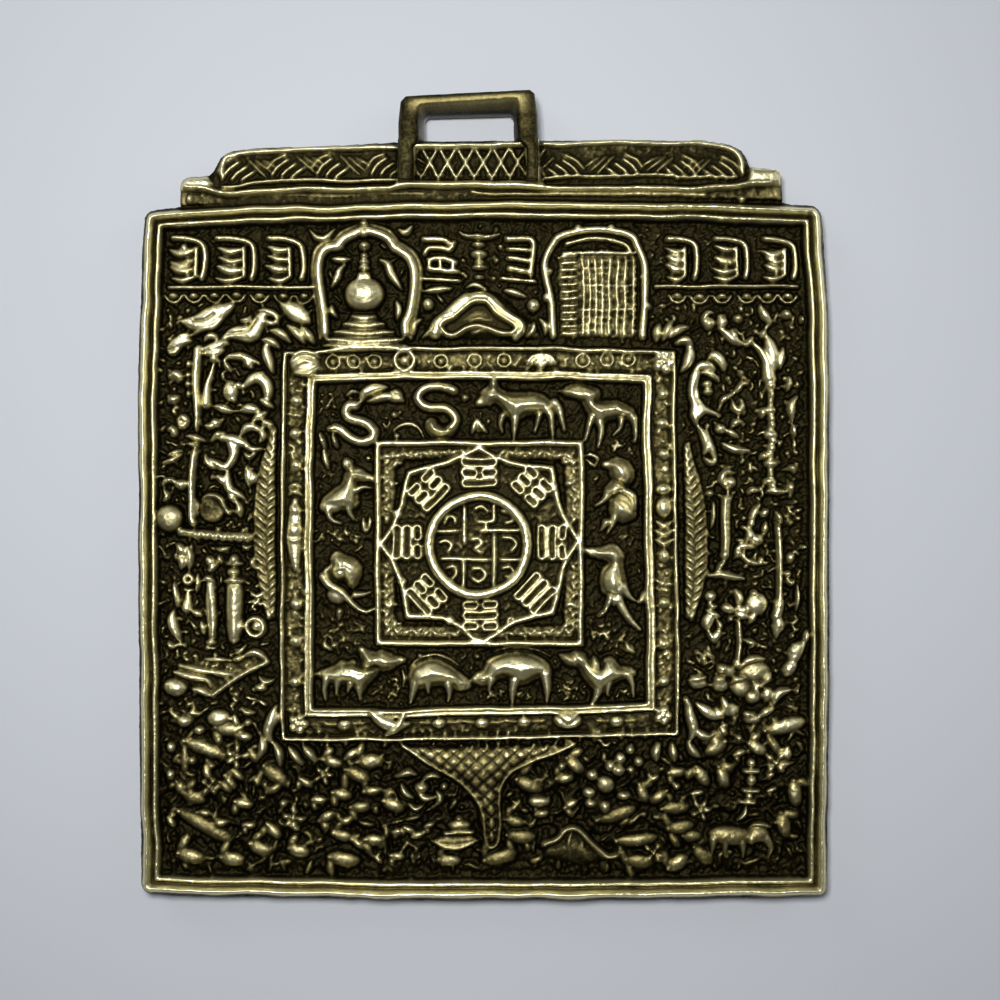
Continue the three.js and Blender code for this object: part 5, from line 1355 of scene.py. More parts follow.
@dataclass
class Centre:
    """The inner square: border, scrolls, star, eight trigram tablets and the nine-celled disc."""

    border: float = 0.85
    star: float = 0.3
    tablet: float = 0.42
    disc: float = 0.5

    def carve(self, relief: Relief) -> None:
        """Carves the square from the outside in.

        Args:
            relief: the face.
        """
        relief.girth = 1.3
        relief.element("inner_border")
        relief.moulding(
            box(-10.95, -9.65, 10.05, 11.05),
            [(0.0, 0.1), (0.12, 0.7), (0.36, self.border), (0.6, 0.65), (0.78, 0.12), (0.9, 0.34),
             (1.9, 0.38), (2.2, 0.1)])
        self.scrolls(relief)
        relief.element("star_plate")
        star = [(-10.7, 0.6), (-9.3, 2.7), (-8.5, 4.6), (-8.2, 6.6), (-7.8, 8.0), (-5.6, 8.6),
                (-3.7, 9.0), (-2.0, 9.8), (-0.5, 10.7), (1.2, 9.7), (2.6, 9.1), (4.4, 8.7),
                (7.1, 8.4), (7.3, 6.8), (7.6, 5.0), (8.0, 3.8), (9.9, 0.9), (9.2, -0.2),
                (8.2, -1.8), (7.9, -3.4), (7.5, -5.2), (7.2, -6.6), (5.1, -7.0), (3.2, -7.5),
                (1.9, -8.3), (0.0, -9.4), (-1.3, -9.1), (-2.7, -7.8), (-4.2, -7.1), (-7.9, -7.0),
                (-8.3, -4.8), (-8.6, -3.3), (-9.4, -1.3)]
        relief.plate(star, self.star, 0.25)
        relief.moulding(star, [(0.0, 0.1), (0.15, 0.64), (0.36, 0.84), (0.58, 0.62), (0.75, 0.36)])
        for u, v in ((-8.55, 3.6), (-8.2, -3.1), (-3.4, -7.0), (2.7, -7.1)):
            relief.ring(u, v, 0.34, 0.26, 0.75)
        self.tablets(relief)
        self.nine_cells(relief)

    def scrolls(self, relief: Relief) -> None:
        """Small scrolls on the ground between the border and the star.

        Args:
            relief: the face.
        """
        relief.element("inner_border")
        rng = np.random.default_rng(GRAIN_SEED + 5)
        across, upright = np.arange(-9.6, 9.3, 0.95), np.arange(-7.4, 9.2, 0.95)
        corners = ((-8.9, 8.6), (8.2, 8.8), (-8.9, -7.4), (8.2, -7.5),
                   (-9.2, 6.6), (8.5, 6.6), (-9.3, -5.5), (8.5, -5.4))
        rows = [(u, 9.85 - 0.05 * abs(u), 0.0) for u in across if abs(u + 0.4) > 1.6]
        rows += [(u, -8.5 + 0.04 * abs(u), 0.0) for u in across if abs(u + 0.4) > 1.8]
        rows += [(u, v, 45.0) for u, v in corners]
        rows += [(-9.7, v, 90.0) for v in upright if abs(v - 0.6) > 2.2]
        rows += [(8.95, v, 90.0) for v in upright if abs(v - 0.6) > 2.0]
        for k, (u, v, turn) in enumerate(rows):
            c, s = math.cos(math.radians(turn)), math.sin(math.radians(turn))
            sign = 1 if k % 2 else -1
            relief.dome(
                u, v, 0.56, 0.27, rng.uniform(0.65, 0.9), turn + 26.0 * sign + rng.normal(0, 12))
            relief.dome(
                u + 0.42 * c + 0.3 * sign * s, v + 0.42 * s - 0.3 * sign * c, 0.3, 0.2,
                rng.uniform(0.5, 0.75), turn - 40.0 * sign)

    def tablets(self, relief: Relief) -> None:
        """The eight tablets, each with three lines that are whole or broken.

        Args:
            relief: the face.
        """
        lines = {
            "north": (90, "SBS"), "north_east": (47, "BBB"), "east": (0, "SSB"),
            "south_east": (-43, "SSS"), "south": (-90, "BSB"), "south_west": (-137, "BBS"),
            "west": (180, "BSS"), "north_west": (135, "SBB")}
        centres = {
            "north": (-0.45, 7.75), "north_east": (4.75, 6.35), "east": (6.8, 0.85),
            "south_east": (5.1, -4.3), "south": (-0.35, -6.45), "south_west": (-5.7, -4.45),
            "west": (-7.6, 0.75), "north_west": (-5.5, 6.0)}
        for name, (angle, pattern) in lines.items():
            u, v = centres[name]
            out = math.radians(angle)
            self.one_tablet(relief, name, (u, v), (math.cos(out), math.sin(out)), pattern)

    def one_tablet(
            self, relief: Relief, name: str, centre: Point, out: Point, pattern: str) -> None:
        """Carves one tablet.

        Args:
            relief: the face.
            name: the side or corner it stands at.
            centre: its middle.
            out: the direction away from the disc.
            pattern: its lines from the disc outward, S for whole and B for broken.
        """
        relief.element(f"tablet_{name}", self.star)
        along = (-out[1], out[0])

        def place(a: float, b: float) -> Point:
            """Turns along and outward distances into a place."""
            return (centre[0] + 1.08 * (along[0] * a + out[0] * b),
                    centre[1] + 1.08 * (along[1] * a + out[1] * b))

        relief.plate(
            [place(-1.75, -1.45), place(1.75, -1.45), place(1.75, 1.5), place(-1.75, 1.5)],
            self.tablet * 0.3, 0.2)
        for k, line in enumerate(pattern):
            b = -0.95 + 0.95 * k
            pieces = [(-1.6, 1.6)] if line == "S" else [(-1.6, -0.18), (0.18, 1.6)]
            for start, end in pieces:
                corners = [
                    (start, b), (start + 0.16, b + 0.32), (end - 0.16, b + 0.32), (end, b),
                    (end - 0.16, b - 0.32), (start + 0.16, b - 0.32), (start, b)]
                relief.stroke(
                    [place(*corner) for corner in corners], 0.27, self.tablet + 0.1, straight=True)

    def nine_cells(self, relief: Relief) -> None:
        """The disc: a banded rim, two crossing pairs of bars and plain marks in the cells.

        Args:
            relief: the face.
        """
        relief.element("medallion", self.star)
        u, v = -0.55, 0.5
        relief.plate(circle(u, v, 5.4), 0.02, 0.15)
        relief.moulding(
            circle(u, v, 5.45),
            [(0.0, 0.1), (0.1, 0.55), (0.24, 0.78), (0.52, 0.84), (0.8, 0.78), (0.95, 0.5),
             (1.08, 0.05)])
        for path in (
                [(-1.95, 3.6), (-1.95, 0.7)], [(-2.1, -1.1), (-2.1, -3.7)],
                [(1.0, 4.4), (1.0, 2.9)], [(1.0, 1.3), (1.0, -3.4)], [(-4.5, 1.95), (-2.6, 1.95)],
                [(-0.3, 1.95), (3.8, 1.95)], [(-4.2, -0.9), (0.4, -0.9)],
                [(1.7, -0.9), (3.9, -0.9)], [(-1.95, 4.3), (-1.95, 3.5)], [(0.2, 2.9), (0.2, 1.9)],
                [(-0.6, 2.9), (1.0, 2.9)]):
            relief.stroke(path, 0.36, self.disc)
        marks = (
            [(-3.9, 2.7), (-3.5, 3.4), (-2.9, 3.3), (-2.8, 2.8)],
            [(-0.9, 4.2), (-0.2, 4.4), (0.4, 3.9)],
            [(1.8, 3.9), (2.6, 3.6), (2.9, 2.9), (2.2, 2.7)],
            [(-4.4, 0.8), (-3.8, 1.0), (-3.2, 0.5), (-3.6, -0.2)],
            [(-1.2, 1.1), (-0.6, 1.2), (-0.2, 0.7), (-0.9, 0.2), (-0.2, -0.2)],
            [(1.9, 1.2), (2.7, 1.2), (3.3, 0.6), (2.8, -0.1)],
            [(-3.7, -1.8), (-3.0, -1.7), (-2.9, -2.6), (-3.4, -2.9)],
            [(-1.1, -1.8), (-0.3, -1.8), (0.2, -2.5), (-0.5, -3.1), (-1.1, -2.8)],
            [(1.9, -1.7), (2.7, -1.6), (2.9, -2.3), (2.2, -2.6)],
            [(-0.7, -4.0), (0.1, -4.2), (0.8, -4.0)])
        for path in marks:
            relief.stroke(path, 0.36, self.disc * 0.85)


@dataclass
class Zodiac:
    """The twelve animals in the shell's inner field, each on rough dark ground."""

    tall: float = 1.3
    girth: float = 1.2
    limb: Point = (1.75, 0.8)
    skirt: Point = (0.66, 0.4)
    body: float = 0.9
    body_edge: float = 1.35
    crown: float = 0.3
    ridge: Point = (1.5, 0.12)

    def carve(self, relief: Relief) -> None:
        """Carves the ground's small filling first and then each animal.

        Args:
            relief: the face.
        """
        relief.girth = self.girth
        self.filling(relief)
        for animal in (
                self.dragon, self.snake, self.horse, self.sheep, self.monkey, self.bird, self.dog,
                self.pig, self.mouse, self.ox, self.tiger, self.hare):
            relief.element(f"animal_{animal.__name__}")
            animal(relief)

    def figure(
            self, relief: Relief, outline: Path, limbs: Sequence[tuple[float, Path]] = (),
            edge: float = 0.8, ridges: Sequence[tuple[float, Path]] = ()) -> None:
        """Carves an animal from its plump body outline, with its limbs lower than it.

        Args:
            relief: the face.
            outline: the body with neck and head.
            limbs: width and path of each leg or tail.
            edge: how far in the body's rounding runs, in mm.
            ridges: width and path of each ear, horn or muscle that stands on it.
        """
        for width, path in limbs:
            relief.stroke(path, width * self.limb[0], self.tall * self.limb[1], Taper.TAIL)
        closed = [*outline, outline[0]]
        relief.stroke(closed, self.skirt[0], self.tall * self.skirt[1])
        relief.plate(
            rounded(closed, 0.35)[:-1], self.tall * self.body, edge * self.body_edge, self.crown)
        for width, path in ridges:
            relief.leaf(path, width * self.ridge[0], self.tall + self.ridge[1])

    def filling(self, relief: Relief) -> None:
        """Small plants, rocks and beads between the animals.

        Args:
            relief: the face.
        """
        relief.element("ground_plate")
        rng = np.random.default_rng(GRAIN_SEED + 13)
        for low, high, count in (
                ((12.8, 9.9), (15.4, 11.0), 22), ((10.6, -8.9), (12.6, -7.3), 24),
                ((-16.8, 0.7), (-12.6, 2.0), 24), ((-9.6, -15.2), (-8.2, -12.6), 16),
                ((6.8, -15.0), (10.2, -13.2), 34), ((0.3, -15.0), (2.2, -14.0), 22),
                ((-16.8, 13.4), (-14.8, 16.0), 20), ((3.4, -15.0), (5.4, -14.0), 14),
                ((12.2, -14.8), (14.6, -13.9), 16)):
            for _ in range(count):
                relief.dome(
                    rng.uniform(low[0], high[0]), rng.uniform(low[1], high[1]),
                    rng.uniform(0.1, 0.24), rng.uniform(0.1, 0.18), rng.uniform(0.35, 0.65),
                    rng.uniform(0, 180))
        for u, v, r in (
                (-1.85, 15.1, 0.36), (-8.95, 13.55, 0.3), (-8.8, 11.4, 0.32), (-11.5, 9.2, 0.3),
                (-14.9, -9.6, 0.32), (-6.4, -10.5, 0.26), (-0.7, -10.6, 0.24)):
            relief.bead(u, v, r, 0.8)
        for width, path in (
                (0.36, [(-9.1, 11.9), (-8.5, 12.4), (-7.7, 12.7), (-6.9, 12.5), (-6.4, 12.0),
                        (-6.1, 11.3), (-5.8, 11.0)]),
                (0.5, [(-0.6, 13.2), (-0.9, 12.5), (-1.2, 11.6)]),
                (0.5, [(-0.6, 13.2), (-0.2, 12.4), (0.3, 11.8)]),
                (0.6, [(-0.6, 12.7), (-0.6, 11.9)]), (0.36, [(-9.4, 13.0), (-9.6, 12.2)]),
                (0.36, [(-9.5, 11.8), (-10.0, 11.1)]),
                (0.55, [(-16.0, 10.2), (-15.8, 9.3), (-15.5, 8.1)]),
                (0.4, [(-14.8, 10.9), (-14.5, 10.3)]),
                (0.42, [(10.0, 9.4), (10.7, 9.5), (11.3, 9.1), (11.1, 8.4)]),
                (0.42, [(10.2, 9.1), (10.7, 8.5), (11.2, 8.2)]),
                (0.42, [(-12.0, 3.2), (-12.0, 2.4), (-11.7, 1.7)]),
                (0.42, [(-11.4, 3.4), (-11.4, 2.5), (-11.6, 1.8)]),
                (0.5, [(-15.8, -9.1), (-15.9, -9.6), (-15.2, -10.1)]),
                (0.75, [(15.9, -4.0), (15.9, -4.8), (15.4, -5.4)]),
                (0.5, [(14.2, -9.2), (14.4, -9.9), (15.1, -10.3)]),
                (0.5, [(14.6, -9.4), (15.0, -9.9)]), (0.3, [(13.1, -10.3), (14.2, -10.9)]),
                (0.34, [(-8.3, -12.0), (-8.0, -12.8), (-8.1, -13.8)]),
                (0.3, [(-9.4, -15.0), (-8.6, -14.4)]),
                (0.34, [(0.2, -10.5), (1.6, -9.9), (3.6, -9.75), (5.4, -10.0), (6.6, -10.6)]),
                (0.34,
                 [(-7.6, -11.9), (-6.6, -10.9), (-5.0, -10.4), (-3.5, -10.8), (-2.2, -11.7)]),
                (0.34, [(7.0, -11.0), (7.4, -11.7)]), (0.3, [(15.6, 1.9), (15.5, 1.0)]),
                (0.34, [(15.4, -1.6), (15.7, -2.9)]), (0.34, [(-12.8, -0.1), (-12.1, 0.4)])):
            relief.leaf(path, width, 0.62)

    def dragon(self, relief: Relief) -> None:
        """A coiled body with a crested head.

        Args:
            relief: the face.
        """
        relief.stroke(
            [(-12.8, 14.4), (-13.4, 14.4), (-13.7, 13.9), (-13.5, 13.3), (-12.9, 13.05),
             (-12.1, 12.85), (-11.4, 12.5), (-10.95, 11.9), (-11.0, 11.3), (-11.5, 10.95),
             (-12.3, 10.85), (-13.1, 11.15), (-13.7, 11.6), (-14.1, 12.0), (-14.7, 12.25)], 0.9,
            self.tall)
        relief.dome(-15.1, 12.15, 0.62, 0.36, self.tall)
        relief.dome(-11.5, 11.1, 0.6, 0.45, self.tall, 30)
        for width, path in (
                (0.85,
                 [(-12.2, 14.8), (-12.0, 15.5), (-11.4, 15.9), (-10.6, 16.15), (-9.7, 16.2)]),
                (0.62, [(-11.6, 14.8), (-10.6, 15.1), (-9.6, 15.35), (-8.8, 15.1), (-8.0, 14.95)]),
                (0.45, [(-9.3, 15.8), (-8.6, 15.7), (-8.1, 15.2)]),
                (0.3, [(-13.8, 15.3), (-13.2, 15.75), (-12.5, 15.7)]),
                (0.36, [(-13.5, 15.1), (-12.3, 15.1)]),
                (0.36, [(-13.1, 14.3), (-12.6, 14.3), (-12.4, 14.8)]),
                (0.4, [(-16.4, 11.8), (-16.1, 11.1), (-15.8, 10.2)]),
                (0.36, [(-15.0, 11.7), (-14.8, 11.0), (-14.5, 10.2)]),
                (0.34, [(-10.1, 12.7), (-9.8, 12.3)])):
            relief.leaf(path, width * 1.3, self.tall * 0.95)

    def snake(self, relief: Relief) -> None:
        """An S-shaped body that swells to its end.

        Args:
            relief: the face.
        """
        relief.stroke(
            [(-3.0, 15.85), (-3.6, 16.15), (-4.7, 16.3), (-5.7, 16.2), (-6.3, 15.8), (-6.6, 15.2),
             (-6.3, 14.7), (-5.6, 14.3), (-4.8, 14.2), (-3.9, 14.2), (-3.2, 13.85), (-2.75, 13.2),
             (-2.85, 12.6), (-3.3, 12.15)], 0.8, self.tall)
        self.figure(
            relief, [
                (-5.65, 12.8), (-5.1, 13.1), (-4.7, 12.55), (-4.2, 12.2), (-3.4, 12.2),
                (-2.8, 12.3), (-3.2, 11.6), (-4.2, 11.25), (-5.2, 11.5), (-5.6, 12.1)], edge=0.5,
            ridges=((0.4, [(-4.6, 16.3), (-3.8, 16.0), (-3.4, 15.7)]),
                    (0.4, [(-5.3, 16.5), (-4.5, 16.7)])))

    def horse(self, relief: Relief) -> None:
        """A standing horse with pricked ears, its head to the left.

        Args:
            relief: the face.
        """
        self.figure(
            relief, [
                (-0.5, 14.7), (0.0, 15.2), (0.0, 15.8), (0.5, 16.2), (0.75, 16.9), (1.05, 17.1),
                (1.35, 16.3), (1.7, 15.95), (2.6, 15.6), (3.8, 15.6), (5.1, 15.6), (6.0, 15.2),
                (6.6, 14.5), (6.9, 13.7), (6.0, 13.9), (5.1, 13.75), (4.2, 13.7), (3.5, 13.3),
                (2.9, 13.1), (2.3, 13.8), (1.7, 14.7), (1.2, 15.0), (0.5, 14.75)],
            ((0.5, [(6.3, 14.2), (6.75, 13.3), (6.85, 12.2), (6.9, 11.2)]),
             (0.5, [(3.1, 13.4), (3.0, 12.3), (2.95, 11.2)]),
             (0.34, [(1.9, 13.5), (1.65, 12.6), (1.8, 11.7)]),
             (0.34, [(5.6, 13.6), (5.3, 12.4), (5.1, 11.7)]),
             (0.5, [(7.0, 14.7), (7.5, 14.1), (7.8, 13.1), (8.1, 12.0)])),
            ridges=((0.36, [(0.2, 15.1), (0.9, 15.5), (1.6, 15.4)]),
                    (0.4, [(0.85, 16.0), (0.95, 16.6), (0.95, 17.1)])))

    def sheep(self, relief: Relief) -> None:
        """A sheep with a swept-back horn.

        Args:
            relief: the face.
        """
        self.figure(
            relief, [
                (7.9, 15.85), (8.6, 16.3), (9.6, 16.5), (10.6, 16.2), (11.4, 15.8), (11.35, 15.1),
                (11.1, 14.75), (12.0, 14.6), (13.2, 14.7), (14.3, 14.3), (15.0, 13.7),
                (15.2, 12.9), (14.5, 13.2), (13.5, 13.3), (12.6, 13.1), (12.1, 12.9), (11.7, 12.4),
                (11.0, 13.1), (10.4, 13.9), (10.0, 14.7), (9.6, 15.1), (8.9, 15.4), (8.2, 15.6)],
            ((0.45, [(11.6, 12.9), (11.75, 11.9), (11.6, 11.0), (11.4, 10.2)]),
             (0.42, [(10.8, 13.2), (10.5, 12.2), (10.2, 10.9)]),
             (0.45, [(15.0, 13.2), (15.2, 12.1), (15.2, 10.8)]),
             (0.34, [(13.7, 13.0), (13.6, 12.2), (12.9, 11.5)])), 0.75,
            ((0.5, [(8.0, 15.8), (8.9, 15.6), (10.0, 15.4), (11.0, 15.4)]),
             (0.4, [(13.2, 14.6), (13.5, 14.0), (14.3, 13.4)])))

    def monkey(self, relief: Relief) -> None:
        """A seated monkey that looks left.

        Args:
            relief: the face.
        """
        relief.dome(13.9, 4.4, 1.45, 1.75, self.tall * 0.7)
        self.figure(
            relief, [
                (12.0, 8.5), (12.8, 8.75), (13.5, 9.0), (14.3, 8.7), (14.75, 8.0), (14.7, 7.1),
                (14.2, 6.5), (13.6, 6.6), (13.1, 6.9), (12.8, 7.5), (12.7, 8.1)],
            ((0.45, [(12.4, 5.7), (11.9, 4.9), (11.1, 4.4)]),
             (0.45, [(13.1, 3.4), (12.8, 2.5), (12.3, 1.7)]), (0.42, [(12.2, 2.8), (11.7, 2.0)])),
            0.7)
        self.figure(
            relief, [
                (13.0, 6.9), (12.4, 6.3), (12.1, 5.5), (12.7, 5.3), (13.5, 5.6), (14.2, 5.9),
                (13.9, 6.6)], edge=0.5,
            ridges=((0.5, [(13.3, 5.9), (14.2, 5.75), (14.8, 5.2), (15.05, 4.1)]),))
        self.figure(
            relief, [
                (12.7, 4.9), (13.3, 5.2), (14.0, 5.0), (14.7, 4.3), (15.0, 3.5), (14.3, 3.0),
                (13.5, 3.2), (12.9, 3.1), (12.7, 4.0)], edge=0.7)

    def bird(self, relief: Relief) -> None:
        """A bird with a long beak and a folded wing.

        Args:
            relief: the face.
        """
        self.figure(
            relief, [
                (10.2, -0.05), (11.5, -0.05), (12.2, 0.15), (12.9, 0.35), (13.4, 0.05),
                (13.7, -0.6), (13.6, -1.3), (13.8, -2.2), (14.1, -3.2), (14.2, -4.1), (13.7, -4.7),
                (12.8, -4.5), (12.0, -4.0), (11.8, -3.0), (12.0, -2.1), (12.5, -1.5),
                (12.6, -1.15), (12.2, -0.85), (11.2, -0.55)],
            ((0.6, [(13.9, -3.6), (14.5, -4.5), (15.2, -5.1)]),
             (0.6, [(13.4, -4.8), (13.9, -5.9), (14.7, -7.1), (15.5, -7.9)]),
             (0.42, [(12.6, -4.7), (12.1, -6.0), (11.4, -6.6)]),
             (0.4, [(13.1, -4.9), (12.9, -5.6)])), 0.75)
        relief.leaf([(12.3, -5.9), (11.9, -6.2), (11.4, -6.6)], 0.45, self.tall)
        relief.groove([(13.0, -2.0), (13.4, -3.0), (13.3, -4.0)], 0.24, 0.22)

    def dog(self, relief: Relief) -> None:
        """A dog with hanging ears, its head low at the left.

        Args:
            relief: the face.
        """
        self.figure(
            relief, [
                (7.7, -10.5), (8.5, -10.4), (9.0, -10.15), (9.7, -10.3), (10.1, -10.8),
                (10.7, -11.4), (11.2, -11.8), (11.7, -11.6), (12.0, -11.1), (12.5, -10.95),
                (13.0, -11.3), (13.5, -11.8), (14.6, -11.9), (15.0, -12.3), (13.9, -12.6),
                (13.0, -13.0), (12.3, -13.4), (11.7, -14.1), (11.2, -13.8), (10.5, -13.1),
                (9.9, -12.4), (9.5, -11.7), (9.1, -11.4), (8.3, -11.2)],
            ((0.5, [(11.5, -13.6), (11.2, -14.7), (10.6, -15.6)]),
             (0.45, [(14.3, -12.3), (14.8, -13.3), (14.9, -14.7)]),
             (0.42, [(12.4, -13.2), (12.3, -14.5)])), 0.62,
            ((0.5, [(10.85, -10.6), (11.0, -11.3), (11.25, -12.1)]),
             (0.5, [(7.8, -10.5), (8.4, -10.8), (9.0, -11.3)]),
             (0.62, [(9.0, -10.3), (9.5, -10.8), (10.0, -11.4)])))

    def pig(self, relief: Relief) -> None:
        """A long round pig with its snout low at the left.

        Args:
            relief: the face.
        """
        self.figure(
            relief, [
                (-1.0, -12.9), (-0.3, -13.3), (0.3, -13.2), (0.9, -13.0), (1.4, -12.7),
                (2.0, -12.5), (2.6, -12.8), (3.2, -13.3), (4.1, -13.3), (4.9, -12.9), (5.6, -12.6),
                (6.3, -12.8), (6.4, -11.8), (5.7, -11.0), (4.7, -10.5), (3.5, -10.3), (2.3, -10.4),
                (1.3, -10.7), (0.5, -11.1), (0.2, -11.7), (0.0, -12.2), (-0.6, -12.5)],
            ((0.62, [(3.1, -13.0), (2.9, -14.2), (2.85, -15.3)]),
             (0.62, [(6.1, -12.4), (6.3, -13.8), (6.3, -15.2)]),
             (0.5, [(0.7, -12.9), (0.5, -14.0)])), 1.1)

    def mouse(self, relief: Relief) -> None:
        """A mouse bent over at the right.

        Args:
            relief: the face.
        """
        self.figure(
            relief, [
                (-7.4, -12.7), (-7.1, -11.9), (-6.3, -11.4), (-5.5, -11.05), (-4.7, -11.05),
                (-3.9, -11.35), (-3.1, -11.8), (-2.5, -12.4), (-1.8, -13.0), (-1.6, -13.6),
                (-2.4, -13.8), (-3.1, -13.4), (-4.1, -13.3), (-5.3, -13.4), (-6.4, -13.6),
                (-7.2, -13.4)],
            ((0.55, [(-6.9, -13.2), (-7.2, -14.4), (-7.4, -15.2)]),
             (0.5, [(-3.5, -13.2), (-3.4, -14.3), (-3.6, -15.2)]),
             (0.45, [(-5.6, -13.2), (-5.6, -14.3)])), 1.0,
            ((0.42, [(-3.9, -12.2), (-3.1, -12.5), (-2.3, -13.1)]),))

    def ox(self, relief: Relief) -> None:
        """An ox that looks back over its shoulder to the right.

        Args:
            relief: the face.
        """
        self.figure(
            relief, [
                (-16.6, -12.4), (-15.4, -12.0), (-14.6, -11.7), (-14.2, -11.3), (-13.6, -11.5),
                (-13.1, -11.2), (-12.7, -11.7), (-12.0, -11.9), (-11.2, -11.8), (-10.7, -12.0),
                (-11.3, -12.8), (-11.8, -13.4), (-12.2, -14.0), (-12.8, -13.5), (-13.6, -13.2),
                (-14.6, -13.2), (-15.6, -12.9)],
            ((0.45, [(-15.7, -12.8), (-15.9, -13.8), (-15.8, -14.9)]),
             (0.45, [(-12.4, -13.6), (-12.3, -14.9)]), (0.42, [(-14.6, -13.0), (-14.7, -14.4)]),
             (0.42, [(-13.3, -13.2), (-13.6, -14.2)])), 0.75,
            ((0.5, [(-14.6, -12.0), (-13.4, -11.9), (-12.2, -12.2), (-11.0, -12.1)]),))
        self.figure(
            relief, [
                (-12.4, -10.0), (-11.4, -10.35), (-10.8, -10.45), (-10.2, -10.2), (-9.5, -10.5),
                (-8.9, -10.8), (-8.1, -11.0), (-8.8, -11.35), (-9.5, -11.8), (-10.3, -11.8),
                (-10.9, -11.5), (-11.6, -11.9), (-12.3, -11.6), (-12.1, -10.9)], edge=0.55)

    def tiger(self, relief: Relief) -> None:
        """A tiger seated upright with its tail curled under it.

        Args:
            relief: the face.
        """
        relief.dome(-14.6, -4.5, 1.1, 1.0, self.tall * 0.7)
        relief.stroke(
            [(-15.9, -2.7), (-15.5, -3.4), (-14.9, -3.8), (-14.2, -4.2), (-13.6, -4.8),
             (-13.0, -5.5), (-12.4, -5.95), (-11.7, -6.15), (-11.1, -5.9)], 1.0, self.tall,
            Taper.TAIL)
        self.figure(
            relief, [
                (-15.1, -0.9), (-14.7, -0.4), (-14.1, -0.6), (-13.6, -0.8), (-13.0, -0.95),
                (-12.5, -1.5), (-12.35, -2.3), (-12.6, -3.1), (-13.1, -3.7), (-13.5, -3.4),
                (-13.8, -2.9), (-14.4, -3.1), (-15.0, -2.7), (-15.2, -2.0), (-15.0, -1.5)],
            ((0.4, [(-12.8, -4.5), (-12.0, -4.4), (-11.3, -4.2)]),
             (0.36, [(-15.6, -2.0), (-15.3, -1.5)]), (0.36, [(-14.4, -6.2), (-14.6, -7.0)])), 0.6)
        for path in (
                [(-14.6, -1.7), (-13.9, -1.4), (-13.1, -1.8)],
                [(-14.7, -2.3), (-14.0, -2.1), (-13.2, -2.6)], [(-13.9, -1.5), (-13.7, -2.6)]):
            relief.groove(path, 0.24, 0.3)

    def hare(self, relief: Relief) -> None:
        """A hare with long ears, its nose to the right.

        Args:
            relief: the face.
        """
        relief.dome(-15.0, 4.5, 1.5, 0.85, self.tall * 0.75, 8)
        self.figure(
            relief, [
                (-13.5, 8.1), (-13.0, 8.1), (-12.3, 7.9), (-11.8, 7.6), (-10.9, 7.1), (-11.8, 7.1),
                (-12.8, 7.0), (-12.8, 6.2), (-12.8, 5.2), (-12.9, 4.4), (-14.0, 4.2), (-15.2, 4.3),
                (-16.1, 4.7), (-15.6, 5.3), (-14.8, 5.9), (-14.1, 6.5), (-13.8, 7.2)],
            ((0.4, [(-13.4, 4.6), (-13.3, 3.7), (-12.9, 3.0)]),
             (0.45, [(-15.5, 4.2), (-15.2, 3.1), (-14.2, 2.6)]),
             (0.34, [(-12.7, 6.0), (-12.0, 6.3), (-11.2, 6.2)])), 0.75,
            ((0.4, [(-13.5, 8.0), (-13.8, 8.5), (-13.8, 9.1)]),
             (0.36, [(-13.3, 8.0), (-13.3, 8.7), (-13.7, 9.1)]),
             (0.36, [(-12.9, 8.0), (-12.4, 8.0)])))


